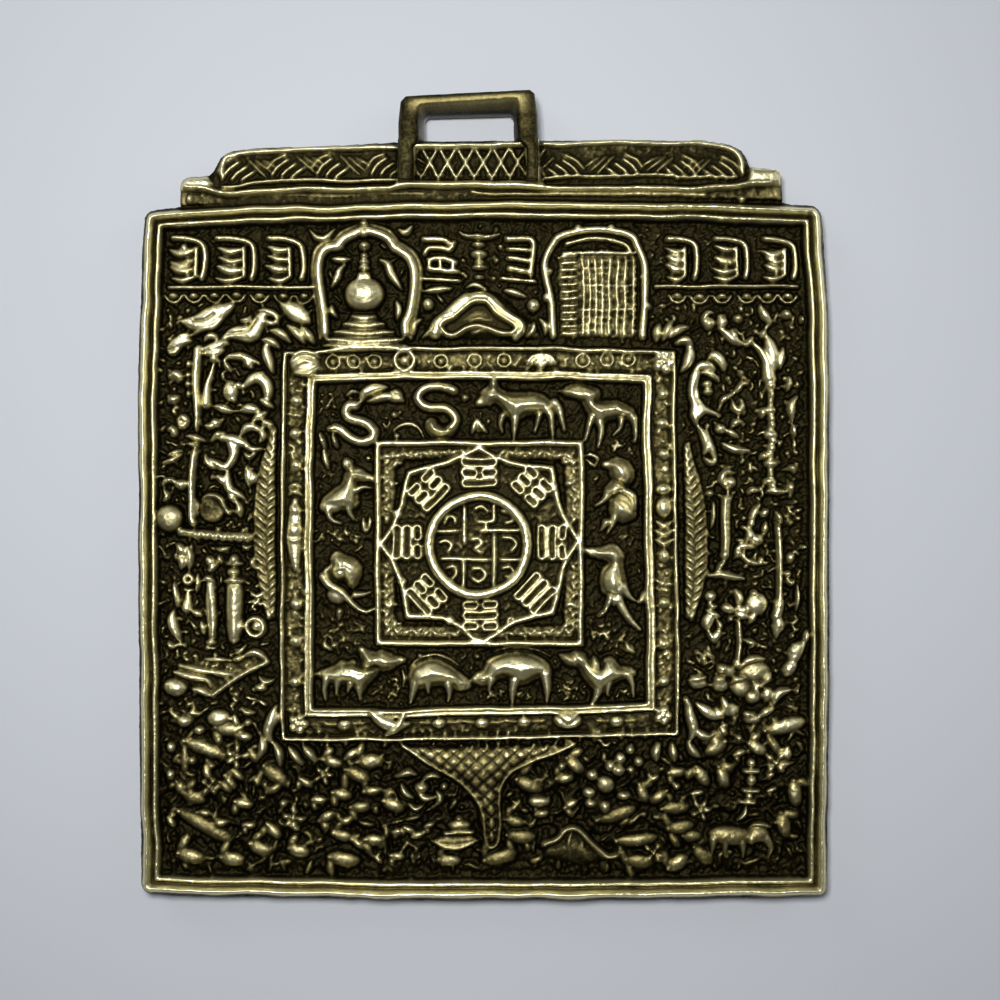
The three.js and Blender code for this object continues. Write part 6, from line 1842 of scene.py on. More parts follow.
@dataclass
class Niches:
    """The two arched niches over the shell: a stupa at the left, a ruled tablet at the right."""

    arch: float = 0.85
    stupa: float = 1.45
    tablet: float = 0.55

    def carve(self, relief: Relief) -> None:
        """Carves both niches.

        Args:
            relief: the face.
        """
        relief.girth = 1.7
        relief.element("stupa_niche_arch")
        left = [(-15.8, 21.6), (-16.0, 24.0), (-16.3, 26.0), (-16.5, 28.0), (-16.2, 29.4),
                (-15.5, 30.1), (-14.5, 30.3)]
        crown = [
            (-14.5, 30.3), (-14.0, 31.0), (-13.3, 31.45), (-12.0, 31.9), (-10.6, 31.6),
            (-9.6, 31.1), (-8.95, 30.15)]
        right = [
            (-8.95, 30.15), (-8.3, 29.8), (-7.5, 29.2), (-7.0, 28.2), (-6.9, 27.0), (-7.1, 25.0),
            (-7.4, 23.6), (-7.9, 22.6), (-7.9, 21.6)]
        for side in (left, crown, right):
            relief.stroke(side, 0.62, self.arch + 0.15)
            relief.stroke(
                [(-11.7 + (u + 11.7) * 1.14, 26.0 + (v - 26.0) * 1.12) for u, v in side], 0.36,
                0.55)
        relief.leaf([(-17.2, 31.9), (-16.6, 31.2), (-15.7, 31.1), (-14.8, 32.1)], 0.45, 0.85)
        relief.leaf([(-8.6, 32.0), (-7.8, 31.6), (-7.1, 32.4)], 0.45, 0.8)
        self.carve_stupa(relief)
        relief.element("tablet_niche_arch")
        edge = [(6.9, 21.3), (6.7, 24.5), (6.3, 27.0), (6.2, 29.0), (7.0, 30.7), (8.0, 31.5),
                (11.0, 32.0), (14.4, 31.5), (15.3, 30.3), (15.95, 28.5), (16.0, 26.0),
                (15.9, 23.0), (15.8, 21.3)]
        relief.stroke(edge, 0.5, self.arch)
        relief.stroke([(8.2, 30.6), (11.0, 31.1), (13.9, 30.6), (14.7, 29.6)], 0.3, 0.6)
        for u, v in (
                (6.6, 27.8), (6.2, 25.2), (15.9, 27.2), (16.2, 24.4), (9.4, 32.2), (12.8, 32.2)):
            relief.bead(u, v, 0.36, 0.8)
        self.carve_tablet(relief)

    def carve_stupa(self, relief: Relief) -> None:
        """The stupa: a base of curved steps, dome, spire and beads, with leaves at both sides.

        Args:
            relief: the face.
        """
        relief.element("stupa")
        u = -11.95
        relief.plate(
            [(u - 4.0, 20.4), (u + 4.0, 20.4), (u + 3.6, 21.2), (u + 2.4, 22.2), (u + 1.5, 23.2),
             (u + 1.2, 23.9), (u - 1.2, 23.9), (u - 1.5, 23.2), (u - 2.4, 22.2), (u - 3.6, 21.2)],
            0.55, 0.3)
        for v, half, width in (
                (20.25, 4.2, 0.36), (20.85, 3.9, 0.5), (21.65, 2.95, 0.5), (22.45, 2.0, 0.5),
                (23.15, 1.25, 0.42)):
            relief.leaf(
                [(u - half, v + 0.12), (u, v - 0.12), (u + half, v + 0.12)], width * 1.5, 1.15)
        relief.dome(u, 25.4, 1.62, 1.45, self.stupa + 0.2, 0, 0.5)
        relief.plate(
            [(u - 0.95, 26.6), (u + 0.95, 26.6), (u + 0.62, 27.7), (u - 0.62, 27.7)], 1.15, 0.3)
        for v, half in ((28.1, 0.55), (28.75, 0.48), (29.4, 0.36)):
            relief.dome(u, v, half, 0.32, 1.2)
        relief.dome(u, 30.4, 0.5, 0.42, 1.25)
        relief.dome(u, 31.6, 0.55, 0.36, 1.15)
        relief.dome(u, 32.55, 0.55, 0.3, 0.95)
        for path, width in (
                ([(-15.2, 29.1), (-14.2, 29.0), (-13.3, 29.1)], 0.55),
                ([(-13.8, 28.5), (-14.4, 27.8), (-14.6, 27.1), (-15.2, 26.1)], 0.55),
                ([(-15.3, 28.0), (-15.2, 27.1)], 0.42), ([(-14.9, 25.4), (-14.3, 24.8)], 0.36),
                ([(-15.2, 24.6), (-15.1, 23.8), (-14.6, 23.2)], 0.5),
                ([(-10.4, 29.0), (-9.6, 28.5), (-9.3, 27.6), (-8.9, 26.9), (-8.3, 26.0)], 0.66),
                ([(-9.3, 28.7), (-8.6, 29.1)], 0.42), ([(-8.3, 27.4), (-7.9, 28.1)], 0.36),
                ([(-8.8, 24.9), (-8.5, 24.1), (-8.7, 23.0)], 0.55),
                ([(-10.3, 30.5), (-9.8, 30.1)], 0.5), ([(-14.1, 30.3), (-13.6, 29.8)], 0.36)):
            relief.leaf(path, width, 0.85)

    def carve_tablet(self, relief: Relief) -> None:
        """The tablet: upright ribs and a column of short bars, with no letters.

        Args:
            relief: the face.
        """
        relief.girth = 1.1
        relief.element("inscription_tablet")
        relief.plate(
            [(7.4, 21.2), (15.3, 21.2), (15.3, 29.2), (14.6, 30.0), (8.1, 30.0), (7.4, 29.2)],
            0.22, 0.25)
        for k in range(12):
            v = 21.6 + 0.7 * k
            relief.stroke([(7.8, v), (9.2, v + 0.05)], 0.36, self.tablet)
        rng = np.random.default_rng(GRAIN_SEED + 7)
        for u in (9.9, 10.55, 11.2, 11.85, 12.55, 13.3, 14.05, 14.85):
            relief.stroke([(u, 21.5), (u + 0.03, 25.0), (u, 29.1)], 0.3, self.tablet)
            for v in np.arange(22.0, 29.0, 0.62):
                relief.dome(
                    u + 0.3, v + rng.uniform(-0.12, 0.12), 0.2, 0.16,
                    self.tablet * rng.uniform(0.6, 0.95))
        for v in (24.0, 26.4):
            relief.stroke([(9.6, v), (15.1, v + 0.05)], 0.24, self.tablet * 0.9)
        relief.stroke([(7.9, 29.65), (15.0, 29.65)], 0.36, self.tablet + 0.08)


@dataclass
class OrnamentRows:
    """The top rows: hooded groups of plain bars on a ledge with a beaded fringe."""

    relief: float = 0.9

    def carve(self, relief: Relief) -> None:
        """Carves the three rows.

        Args:
            relief: the face.
        """
        relief.girth = 1.3
        relief.element("ornament_row_left")
        for left, right in ((-31.4, -27.7), (-27.0, -22.8), (-21.8, -17.9)):
            self.group(relief, left, right, 26.8, 30.4)
        relief.stroke([(-31.4, 26.2), (-24.0, 26.25), (-16.2, 26.2)], 0.36, 0.8)
        self.fringe(relief, (-31.0, -28.9, -26.8, -24.7, -22.4, -20.1, -18.0), 25.35)
        relief.element("ornament_row_right")
        for left, right in ((17.9, 21.4), (22.7, 26.4), (27.6, 31.2)):
            self.group(relief, left, right, 26.9, 30.4)
        relief.stroke([(17.0, 26.25), (23.0, 26.35), (31.2, 26.3)], 0.36, 0.8)
        self.fringe(relief, (19.3, 21.5, 23.7, 26.2, 28.3, 30.3), 25.3)
        relief.element("ornament_row_middle")
        self.middle(relief)

    def group(self, relief: Relief, left: float, right: float, low: float, high: float) -> None:
        """Carves one hooded group of plain bars.

        Args:
            relief: the face.
            left: its left side.
            right: its right side.
            low: its foot.
            high: its top.
        """
        rng = np.random.default_rng(GRAIN_SEED + round(left * 10) + 400)
        wide = right - left
        post, far = right - rng.uniform(0.26, 0.4) * wide, left + 0.2
        relief.plate(
            [(far + 0.2, low + 0.3), (post + 0.3, low + 0.4), (post + 0.2, high - 0.2),
             (far + 0.5, high + 0.1)], 0.42, 0.4)
        relief.stroke(
            [(left + 0.4, high + 0.7), (left + wide * 0.5, high + 0.62),
             (right - 0.5, high + 0.15), (right - 0.15, high - 0.8), (right - 0.15, low + 1.2),
             (right - 0.35, low + 0.3)], 0.55, self.relief)
        relief.stroke([(post, high - 0.3), (post + 0.03, low + 0.5)], 0.42, self.relief)
        for k, v in enumerate((high - 0.45, high - 1.45, high - 2.45)):
            slip, fall = rng.uniform(-0.3, 0.3), rng.uniform(-0.35, 0.45)
            relief.leaf(
                [(far + slip, v + 0.16 + fall), (far + wide * 0.3 + slip, v - 0.3 + fall),
                 (post + 0.1, v + 0.1)], rng.uniform(0.6, 1.0),
                self.relief * rng.uniform(0.8, 1.05))
            relief.bead(
                far + wide * rng.uniform(0.1, 0.5), v + rng.uniform(-0.5, 0.3),
                rng.uniform(0.25, 0.45), self.relief * 0.9)
        relief.leaf(
            [(far, low + 0.35), (far + wide * 0.32, low + 0.05), (post + 0.2, low + 0.5)], 0.55,
            self.relief)

    def fringe(self, relief: Relief, places: Sequence[float], v: float) -> None:
        """Carves the scallops under a ledge, each with a bead in it.

        Args:
            relief: the face.
            places: the scallops' middles, from left to right.
            v: the level of their beads.
        """
        for u in places:
            relief.dome(u, v + 0.05, 0.5, 0.32, 0.85)
            relief.stroke(
                [(u - 0.9, v + 0.1), (u - 0.55, v - 0.45), (u, v - 0.65), (u + 0.55, v - 0.45),
                 (u + 0.9, v + 0.1)], 0.26, 0.7)

    def middle(self, relief: Relief) -> None:
        """The middle row: two groups of bars and a stack between them.

        Args:
            relief: the face.
        """
        relief.girth = 1.0
        for path, width in (
                ([(-6.0, 31.0), (-4.2, 30.95), (-3.5, 30.6)], 0.66),
                ([(-5.9, 29.5), (-5.5, 30.1), (-4.2, 30.1), (-3.4, 29.9), (-3.0, 30.6)], 0.62),
                ([(-5.5, 28.9), (-4.2, 29.1), (-2.9, 28.7)], 0.66),
                ([(-5.4, 28.0), (-4.0, 27.9), (-2.7, 27.8)], 0.62),
                ([(-5.4, 28.9), (-5.5, 28.0)], 0.5), ([(-4.4, 29.0), (-4.35, 28.0)], 0.5),
                ([(-3.2, 28.9), (-3.1, 27.9)], 0.6),
                ([(-6.0, 27.0), (-4.2, 26.95), (-2.5, 26.85)], 0.42)):
            relief.stroke(path, width, self.relief)
        for v, half, upright in (
                (31.25, 0.85, 0.28), (30.45, 0.72, 0.3), (29.5, 0.85, 0.5), (28.75, 0.6, 0.22),
                (28.2, 0.82, 0.3), (27.2, 0.62, 0.22)):
            relief.dome(-0.55, v, half, upright, self.relief + 0.15)
        relief.leaf(
            [(-2.6, 31.8), (-1.9, 31.35), (-0.9, 31.2), (0.4, 31.2), (1.6, 31.6)], 0.55,
            self.relief)
        for path, width in (
                ([(2.3, 31.1), (4.3, 31.1), (4.85, 30.7), (4.85, 29.4), (4.7, 27.5)], 0.7),
                ([(2.4, 30.05), (4.3, 29.95)], 0.55), ([(2.4, 29.1), (4.4, 28.9)], 0.62),
                ([(2.5, 28.05), (4.3, 27.8)], 0.7),
                ([(1.7, 27.05), (3.4, 26.95), (5.1, 26.8)], 0.4)):
            relief.stroke(path, width, self.relief)
        for u, v, r in (
                (-2.1, 28.9, 0.22), (1.2, 28.9, 0.22), (-1.9, 27.3, 0.24), (1.0, 27.1, 0.24),
                (1.6, 30.3, 0.3), (-2.2, 27.6, 0.24)):
            relief.bead(u, v, r, 0.6)
        for path in (
                [(0.9, 26.9), (1.6, 26.3)], [(2.0, 27.4), (3.9, 27.3)],
                [(-5.9, 27.5), (-3.0, 27.4)]):
            relief.leaf(path, 0.3, 0.6)


@dataclass
class FieldCraft:
    """Shared ways of filling a field with small plants, scrolls and beads."""

    seed: int = 0
    stray: float = 0.45
    row_share: float = 0.86
    sizes: Point = (0.5, 1.0)
    heights: Point = (0.5, 1.35)
    leaf_share: float = 0.4
    curl_share: float = 0.55

    def ridges(self, relief: Relief, height: float, forms: Sequence[tuple[float, Path]]) -> None:
        """Lays ridges that thin to both ends; each is given as its width and its path."""
        for width, path in forms:
            relief.leaf(path, width, height)

    def lumps(
            self, relief: Relief, height: float,
            forms: Sequence[tuple[float, float, float, float]]) -> None:
        """Lays rounded lumps; each is given as its place and its two half widths."""
        for u, v, across, upright in forms:
            relief.dome(u, v, across, upright, height)

    def undergrowth(self, relief: Relief, outline: Path, spacing: float, height: float) -> None:
        """Fills a field's bare ground with small low leaves, curls and beads.

        Args:
            relief: the face.
            outline: the field's corners.
            spacing: the distance between two of them, in mm.
            height: how high they stand, in mm.
        """
        relief.element("ground_plate")
        relief.girth = 1.0
        rng = np.random.default_rng(GRAIN_SEED + 11 + self.seed)
        points = np.asarray(outline, float)
        low, high = points.min(0), points.max(0)
        for v in np.arange(low[1] + 0.5, high[1] - 0.3, spacing * self.row_share):
            for u in np.arange(low[0] + 0.5, high[0] - 0.3, spacing):
                x = u + rng.uniform(-self.stray, self.stray) * spacing
                y = v + rng.uniform(-self.stray, self.stray) * spacing
                turn, kind, size = rng.uniform(0, math.tau), rng.random(), rng.uniform(*self.sizes)
                tall = height * rng.uniform(*self.heights)
                c, s = math.cos(turn) * size, math.sin(turn) * size
                if kind < self.leaf_share:
                    relief.leaf(
                        [(x - c * 0.5, y - s * 0.5), (x - s * 0.14, y + c * 0.14),
                         (x + c * 0.5, y + s * 0.5)], 0.5, tall)
                elif kind < self.curl_share:
                    relief.tail(
                        [(x - c * 0.4, y - s * 0.4),
                         (x + c * 0.1 - s * 0.25, y + s * 0.1 + c * 0.25),
                         (x + c * 0.4, y + s * 0.4),
                         (x + c * 0.3 + s * 0.25, y + s * 0.3 - c * 0.25)], 0.4, tall)
                else:
                    relief.dome(
                        x, y, 0.16 + 0.26 * size, 0.13 + 0.18 * size, tall, math.degrees(turn))


@dataclass
class LeftField(FieldCraft):
    """The left field: banners, mirror, jewel, rope, vases, chest and plants."""

    seed: int = 1
    tall: float = 1.15

    def carve(self, relief: Relief) -> None:
        """Carves the field from its ground up.

        Args:
            relief: the face.
        """
        for outline in (
                box(-32.2, -16.0, -22.2, 20.0), box(-32.2, 19.5, -23.2, 24.6),
                box(-22.9, 22.8, -16.6, 25.0)):
            self.undergrowth(relief, outline, 1.05, 0.42)
        relief.girth = 1.7
        self.clouds(relief)
        self.banners(relief)
        self.treasures(relief)
        self.vases(relief)
        self.chest(relief)

    def clouds(self, relief: Relief) -> None:
        """Cloud scrolls under the left row.

        Args:
            relief: the face.
        """
        relief.element("ground_plate")
        self.ridges(
            relief, 1.0,
            ((1.35, [(-29.9, 22.8), (-28.4, 22.7), (-27.0, 23.4), (-25.2, 24.3)]),
             (0.5, [(-29.0, 21.5), (-27.9, 22.1), (-27.0, 22.3), (-25.9, 23.2)]),
             (1.15, [(-26.0, 21.2), (-24.8, 21.7), (-23.2, 21.6), (-22.6, 22.4), (-22.2, 23.2),
                     (-21.5, 23.8)]),
             (0.5, [(-22.6, 23.9), (-21.6, 23.8), (-20.8, 23.4), (-20.5, 22.5)]),
             (0.45, [(-22.0, 22.9), (-21.3, 22.7), (-20.6, 22.7)]),
             (0.45, [(-24.4, 22.9), (-23.6, 22.9), (-23.3, 23.4)]),
             (0.5, [(-21.7, 22.3), (-21.6, 21.7)]),
             (0.9, [(-31.5, 20.2), (-30.8, 20.5), (-30.0, 20.9), (-29.2, 20.9)]),
             (0.36, [(-31.6, 19.9), (-31.0, 19.6), (-30.2, 20.1)]),
             (0.36, [(-31.5, 20.9), (-31.0, 21.5)]),
             (0.34, [(-30.6, 21.2), (-30.0, 21.5), (-29.1, 21.4)]),
             (1.3, [(-20.2, 24.5), (-19.0, 23.9), (-17.5, 22.8)]),
             (0.4, [(-31.4, 23.5), (-31.2, 22.2)]), (0.4, [(-30.7, 22.7), (-30.1, 23.0)]),
             (0.4, [(-28.5, 24.3), (-28.0, 24.6)])))
        for path in (
                [(-29.0, 22.9), (-27.8, 22.9), (-26.9, 23.5)],
                [(-25.5, 21.6), (-23.6, 21.8), (-22.6, 23.0)]):
            relief.groove(path, 0.3, 0.32)

    def banners(self, relief: Relief) -> None:
        """The tapering banner staff with cap and ribbon, and the seated form beside it.

        Args:
            relief: the face.
        """
        relief.element("banner_staff")
        relief.plate(
            [(-29.0, 20.0), (-28.6, 20.5), (-27.95, 20.5), (-28.05, 17.0), (-28.15, 14.0),
             (-28.35, 11.9), (-28.6, 11.5), (-28.9, 12.2), (-29.05, 15.0), (-29.05, 18.0)],
            self.tall + 0.15, 0.42)
        self.ridges(
            relief, self.tall + 0.1,
            ((0.75, [(-28.2, 19.9), (-27.0, 20.2), (-25.9, 20.7), (-25.4, 20.6)]),
             (0.5, [(-28.0, 19.5), (-26.9, 19.6), (-25.8, 20.0)]),
             (0.5, [(-27.9, 20.8), (-27.4, 21.3), (-26.8, 21.3), (-26.5, 20.7)]),
             (0.36, [(-26.3, 18.9), (-26.4, 18.2)]), (0.34, [(-27.7, 19.2), (-27.7, 18.2)]),
             (0.5, [(-27.3, 18.8), (-26.8, 19.1), (-26.4, 18.8)])))
        relief.stroke(
            [(-26.9, 18.6), (-27.1, 17.6), (-27.45, 16.4), (-27.6, 15.3), (-27.65, 14.5)], 0.72,
            self.tall + 0.1, Taper.DROP)
        self.lumps(
            relief, self.tall * 0.75,
            ((-29.4, 18.5, 0.3, 0.42), (-29.4, 17.4, 0.3, 0.36), (-29.4, 16.5, 0.32, 0.4),
             (-29.4, 15.5, 0.26, 0.4)))
        self.ridges(
            relief, self.tall,
            ((0.42, [(-29.7, 11.4), (-28.6, 11.15), (-27.7, 10.8)]),
             (0.36, [(-29.6, 10.6), (-28.9, 10.5), (-28.4, 10.3)]),
             (0.4, [(-28.2, 12.9), (-28.2, 12.3)])))
        relief.element("ground_plate")
        self.lumps(
            relief, 1.1,
            ((-25.25, 15.85, 0.72, 0.92), (-24.4, 16.45, 0.34, 0.34), (-24.9, 14.95, 0.26, 0.2),
             (-26.7, 12.6, 0.5, 0.42)))
        self.ridges(
            relief, 1.1,
            ((0.85, [(-24.0, 16.2), (-23.5, 16.7), (-22.7, 17.2), (-22.0, 17.0), (-21.6, 16.4),
                     (-21.5, 15.6), (-21.7, 14.6)]),
             (0.6, [(-22.4, 16.9), (-22.1, 17.5), (-22.0, 17.7)]),
             (0.5, [(-22.3, 15.1), (-21.7, 14.7), (-21.0, 14.2)]),
             (0.62, [(-26.9, 14.3), (-26.0, 14.1), (-25.1, 13.8)]),
             (0.42, [(-24.9, 13.85), (-24.1, 13.85)]),
             (0.75, [(-24.1, 13.9), (-23.3, 14.1), (-22.3, 13.9)]),
             (0.6, [(-26.0, 19.0), (-25.3, 19.35), (-24.2, 19.3), (-23.3, 18.9), (-22.3, 18.5)]),
             (0.5, [(-23.9, 18.8), (-23.5, 18.5), (-23.0, 18.1)]),
             (0.4, [(-25.9, 18.9), (-25.6, 18.3), (-25.2, 17.7)]),
             (0.34, [(-26.1, 17.6), (-26.0, 17.0)]),
             (0.4, [(-27.9, 12.4), (-27.2, 12.2), (-26.5, 12.5)]),
             (0.66, [(-31.3, 17.1), (-30.7, 17.5), (-30.2, 17.1), (-30.5, 16.7)]),
             (0.4, [(-31.3, 16.6), (-30.8, 16.9)]), (0.34, [(-31.5, 18.0), (-31.1, 17.8)]),
             (0.6, [(-31.4, 14.8), (-30.8, 15.0), (-30.3, 15.3)]),
             (0.55, [(-30.5, 13.0), (-29.9, 13.2), (-29.5, 12.5)]),
             (0.5, [(-30.4, 12.9), (-30.1, 12.4), (-29.5, 12.5)]),
             (0.5, [(-31.5, 11.9), (-31.1, 12.2), (-30.8, 11.6), (-31.2, 11.4)]),
             (0.42, [(-31.2, 10.7), (-30.7, 10.4)]),
             (0.6, [(-24.3, 11.4), (-23.7, 12.1), (-22.9, 12.3), (-22.2, 11.8)]),
             (0.5, [(-22.5, 12.4), (-22.0, 11.5), (-22.4, 10.8)]),
             (0.55, [(-23.0, 12.9), (-22.3, 13.3), (-21.6, 13.8)]),
             (0.5, [(-21.9, 12.1), (-21.8, 12.7), (-21.3, 12.5), (-21.4, 12.0)]),
             (0.45, [(-27.0, 10.9), (-26.6, 11.4), (-25.9, 11.7)])))

    def treasures(self, relief: Relief) -> None:
        """The hooked blossom on its stem, the thin staff, mirror, jewel and the twisted bar.

        Args:
            relief: the face.
        """
        relief.plate(
            [(-25.9, 11.0), (-24.3, 10.9), (-24.4, 9.6), (-24.7, 8.8), (-25.3, 8.2), (-26.2, 8.1),
             (-26.7, 8.5), (-25.9, 8.9), (-25.6, 9.6)], 1.0, 0.45)
        self.ridges(
            relief, 1.1,
            ((0.75, [(-26.4, 11.1), (-25.4, 11.1), (-24.3, 10.8), (-23.2, 10.3)]),
             (0.6, [(-27.4, 9.1), (-26.6, 8.6), (-25.8, 8.3), (-25.0, 8.7)]),
             (0.42, [(-27.8, 9.6), (-27.6, 8.9), (-27.2, 8.4), (-26.7, 8.1)]),
             (0.4, [(-24.0, 9.8), (-23.4, 9.3), (-22.7, 9.7)]),
             (0.42, [(-24.0, 10.3), (-22.9, 10.1), (-22.0, 10.2)]),
             (0.66, [(-25.6, 8.1), (-25.6, 7.0), (-25.4, 6.1), (-24.7, 5.6), (-23.9, 5.1)]),
             (0.5, [(-26.8, 7.3), (-26.2, 7.2), (-26.0, 6.5)]),
             (0.5, [(-25.6, 5.6), (-25.2, 5.2), (-24.8, 4.6)]),
             (0.5, [(-24.7, 4.9), (-24.4, 4.1), (-24.3, 3.2)]),
             (0.4, [(-24.9, 3.8), (-24.4, 3.8), (-24.0, 4.0)]),
             (0.36, [(-25.8, 4.0), (-25.4, 3.7), (-25.3, 4.1)]),
             (0.7, [(-23.7, 8.4), (-23.4, 7.6), (-23.4, 6.4)]),
             (0.42, [(-23.4, 8.3), (-22.9, 8.1)]),
             (0.34, [(-22.8, 7.8), (-22.8, 7.1), (-23.0, 6.6)]),
             (0.34, [(-27.4, 6.2), (-26.9, 6.5)]),
             (0.4, [(-32.0, 6.3), (-31.8, 6.8), (-31.1, 7.0), (-30.6, 6.6)]),
             (0.75, [(-30.6, 6.7), (-30.1, 6.5), (-29.7, 6.8)]),
             (0.42, [(-31.9, 6.0), (-31.5, 5.4), (-31.6, 5.0), (-32.0, 4.7)]),
             (0.36, [(-32.1, 8.7), (-31.0, 9.0), (-30.2, 9.5)]),
             (0.32, [(-31.6, 9.4), (-30.8, 9.7), (-30.1, 9.9)]),
             (0.36, [(-31.7, 8.6), (-30.9, 8.8)]), (0.5, [(-32.6, 7.3), (-31.9, 7.4)]),
             (0.36, [(-31.1, 6.3), (-31.0, 6.0)]), (0.36, [(-28.4, 2.9), (-27.9, 2.6)]),
             (0.3, [(-26.6, 2.0), (-26.3, 2.4)])))
        relief.stroke(
            [(-28.8, 9.8), (-29.0, 8.8), (-29.1, 6.0), (-29.2, 3.6), (-28.95, 2.7)], 0.5, 1.15)
        relief.stroke([(-28.7, 5.0), (-28.75, 3.4)], 0.26, 0.8)
        for u, v in (
                (-25.3, 2.8), (-25.0, 2.3), (-24.5, 2.5), (-23.7, 2.1), (-26.7, 2.25),
                (-25.7, 2.5), (-24.1, 2.0), (-23.5, 3.0)):
            relief.bead(u, v, 0.2, 0.7)
        relief.element("mirror_disc")
        relief.plate(circle(-27.2, 4.15, 1.5), self.tall * 0.62, 0.3)
        self.ridges(
            relief, self.tall + 0.15,
            ((0.42, [(-28.1, 5.3), (-27.2, 5.55), (-26.3, 5.2), (-25.9, 4.4), (-25.4, 3.5)]),))
        relief.element("jewel_sphere")
        relief.dome(-31.35, 3.15, 1.2, 1.15, 1.4, 0, 0.45)
        relief.element("rope_bar")
        relief.stroke([(-30.2, 1.9), (-28.8, 1.65), (-25.8, 1.45), (-23.4, 1.25)], 0.62, 0.85)
        for k in range(7):
            u = -28.7 + 0.83 * k
            relief.leaf(
                [(u - 0.36, 1.9 - 0.08 * k), (u + 0.02, 1.6 - 0.07 * k),
                 (u + 0.3, 1.2 - 0.06 * k)], 0.6, self.tall + 0.15)
        relief.leaf([(-30.2, 1.95), (-29.2, 1.75), (-28.4, 1.55)], 0.4, self.tall)

    def vases(self, relief: Relief) -> None:
        """The tall vase and the small things beside it.

        Args:
            relief: the face.
        """
        relief.element("tall_vase")
        u = -24.85
        relief.dome(u, -1.0, 0.42, 0.5, self.tall + 0.1)
        relief.leaf([(u - 0.75, -1.5), (u, -1.4), (u + 0.95, -1.5)], 0.36, self.tall)
        relief.dome(u, -2.25, 0.55, 0.42, self.tall + 0.1)
        relief.plate(
            [(u - 0.8, -3.0), (u + 0.8, -3.0), (u + 0.95, -4.0), (u + 1.02, -6.0),
             (u + 0.95, -8.0), (u + 0.6, -9.3), (u - 0.6, -9.3), (u - 0.95, -8.0),
             (u - 1.05, -6.0), (u - 0.95, -4.0)], self.tall * 0.9, 1.0, 0.2)
        relief.leaf([(u - 0.95, -3.1), (u, -3.0), (u + 0.95, -3.1)], 0.42, self.tall + 0.2)
        relief.bead(u, -9.1, 0.24, self.tall)
        relief.element("ground_plate")
        relief.plate(
            [(-27.8, -3.2), (-27.3, -2.8), (-26.7, -3.3), (-26.55, -5.0), (-26.5, -7.0),
             (-26.8, -8.9), (-27.5, -8.9), (-27.8, -7.0), (-27.9, -5.0)], 0.8, 0.6, 0.2)
        relief.stroke([(-26.95, -4.9), (-26.9, -7.0), (-26.95, -8.7)], 0.28, 1.1)
        self.ridges(
            relief, 1.1,
            ((0.42, [(-28.1, -3.1), (-27.4, -2.75), (-26.7, -3.3)]),
             (0.7, [(-27.6, -0.8), (-27.2, -1.1), (-26.9, -1.5)]),
             (0.5, [(-27.5, -2.0), (-27.0, -1.8), (-26.6, -1.5)]),
             (0.4, [(-26.5, -0.5), (-26.2, -0.9), (-26.0, -1.4)]),
             (0.36, [(-28.1, 0.1), (-27.8, -0.3)]),
             (0.4, [(-26.7, 0.1), (-25.9, 0.1), (-25.3, 0.3)]),
             (0.34, [(-24.2, 0.5), (-23.7, 0.1), (-23.2, 0.4)]),
             (0.5, [(-29.6, 0.4), (-29.3, -0.6), (-29.4, -2.0)]),
             (0.34, [(-29.2, 0.6), (-29.1, 0.1)]),
             (0.62, [(-30.5, 0.6), (-30.1, 0.0), (-29.9, -0.6)]),
             (0.6, [(-30.4, -0.6), (-30.0, -1.2), (-30.2, -1.9)]),
             (0.66, [(-29.9, -4.0), (-29.1, -4.0)]),
             (0.36, [(-28.6, -2.3), (-28.5, -3.2), (-28.7, -4.3)]),
             (0.45, [(-30.9, -3.2), (-30.7, -4.4), (-30.5, -5.8)]),
             (0.7, [(-30.9, -6.1), (-31.05, -7.0), (-30.8, -8.0), (-30.3, -9.0)]),
             (0.4, [(-31.4, -9.1), (-31.2, -9.6), (-30.8, -9.7)]),
             (0.62, [(-30.8, -9.5), (-30.1, -9.4)]), (0.5, [(-30.6, -10.0), (-30.5, -10.7)]),
             (0.5, [(-29.1, -6.2), (-28.6, -6.25), (-28.1, -6.6)]),
             (0.36, [(-27.8, -6.1), (-27.7, -6.6)]), (0.42, [(-29.2, -7.2), (-28.9, -7.6)]),
             (0.4, [(-28.2, -7.0), (-28.0, -7.7), (-27.9, -8.4)]),
             (0.36, [(-27.7, -9.1), (-27.1, -9.15), (-26.6, -9.2)]),
             (0.5, [(-27.5, -9.8), (-26.8, -9.8)]), (0.36, [(-32.1, -8.4), (-31.8, -7.7)]),
             (0.4, [(-22.9, -0.8), (-23.1, -1.4), (-22.8, -2.0)]),
             (0.36, [(-24.0, -6.8), (-24.2, -7.6), (-24.2, -8.4)]),
             (0.3, [(-24.9, -10.4), (-24.1, -10.0), (-23.6, -9.4)]),
             (0.36, [(-22.3, -9.4), (-21.5, -9.3)]), (0.36, [(-30.4, 0.2), (-30.7, -0.4)]),
             (0.32, [(-32.3, 0.4), (-31.8, -0.5)]), (0.36, [(-26.1, -2.7), (-26.2, -3.4)])))
        relief.stroke([(-29.55, -4.0), (-29.5, -4.8), (-29.6, -5.8)], 0.75, 1.0, Taper.DROP)
        relief.ring(-29.5, -2.95, 0.4, 0.3, 0.95)
        rng = np.random.default_rng(GRAIN_SEED + 21)
        for _ in range(26):
            relief.bead(
                -22.7 + rng.normal(0, 0.36), -4.8 + rng.normal(0, 0.55), 0.17,
                rng.uniform(0.7, 1.0))
        relief.ring(-22.75, -7.65, 0.88, 0.36, 1.1)
        relief.dome(-22.6, -7.55, 0.5, 0.46, 1.1)

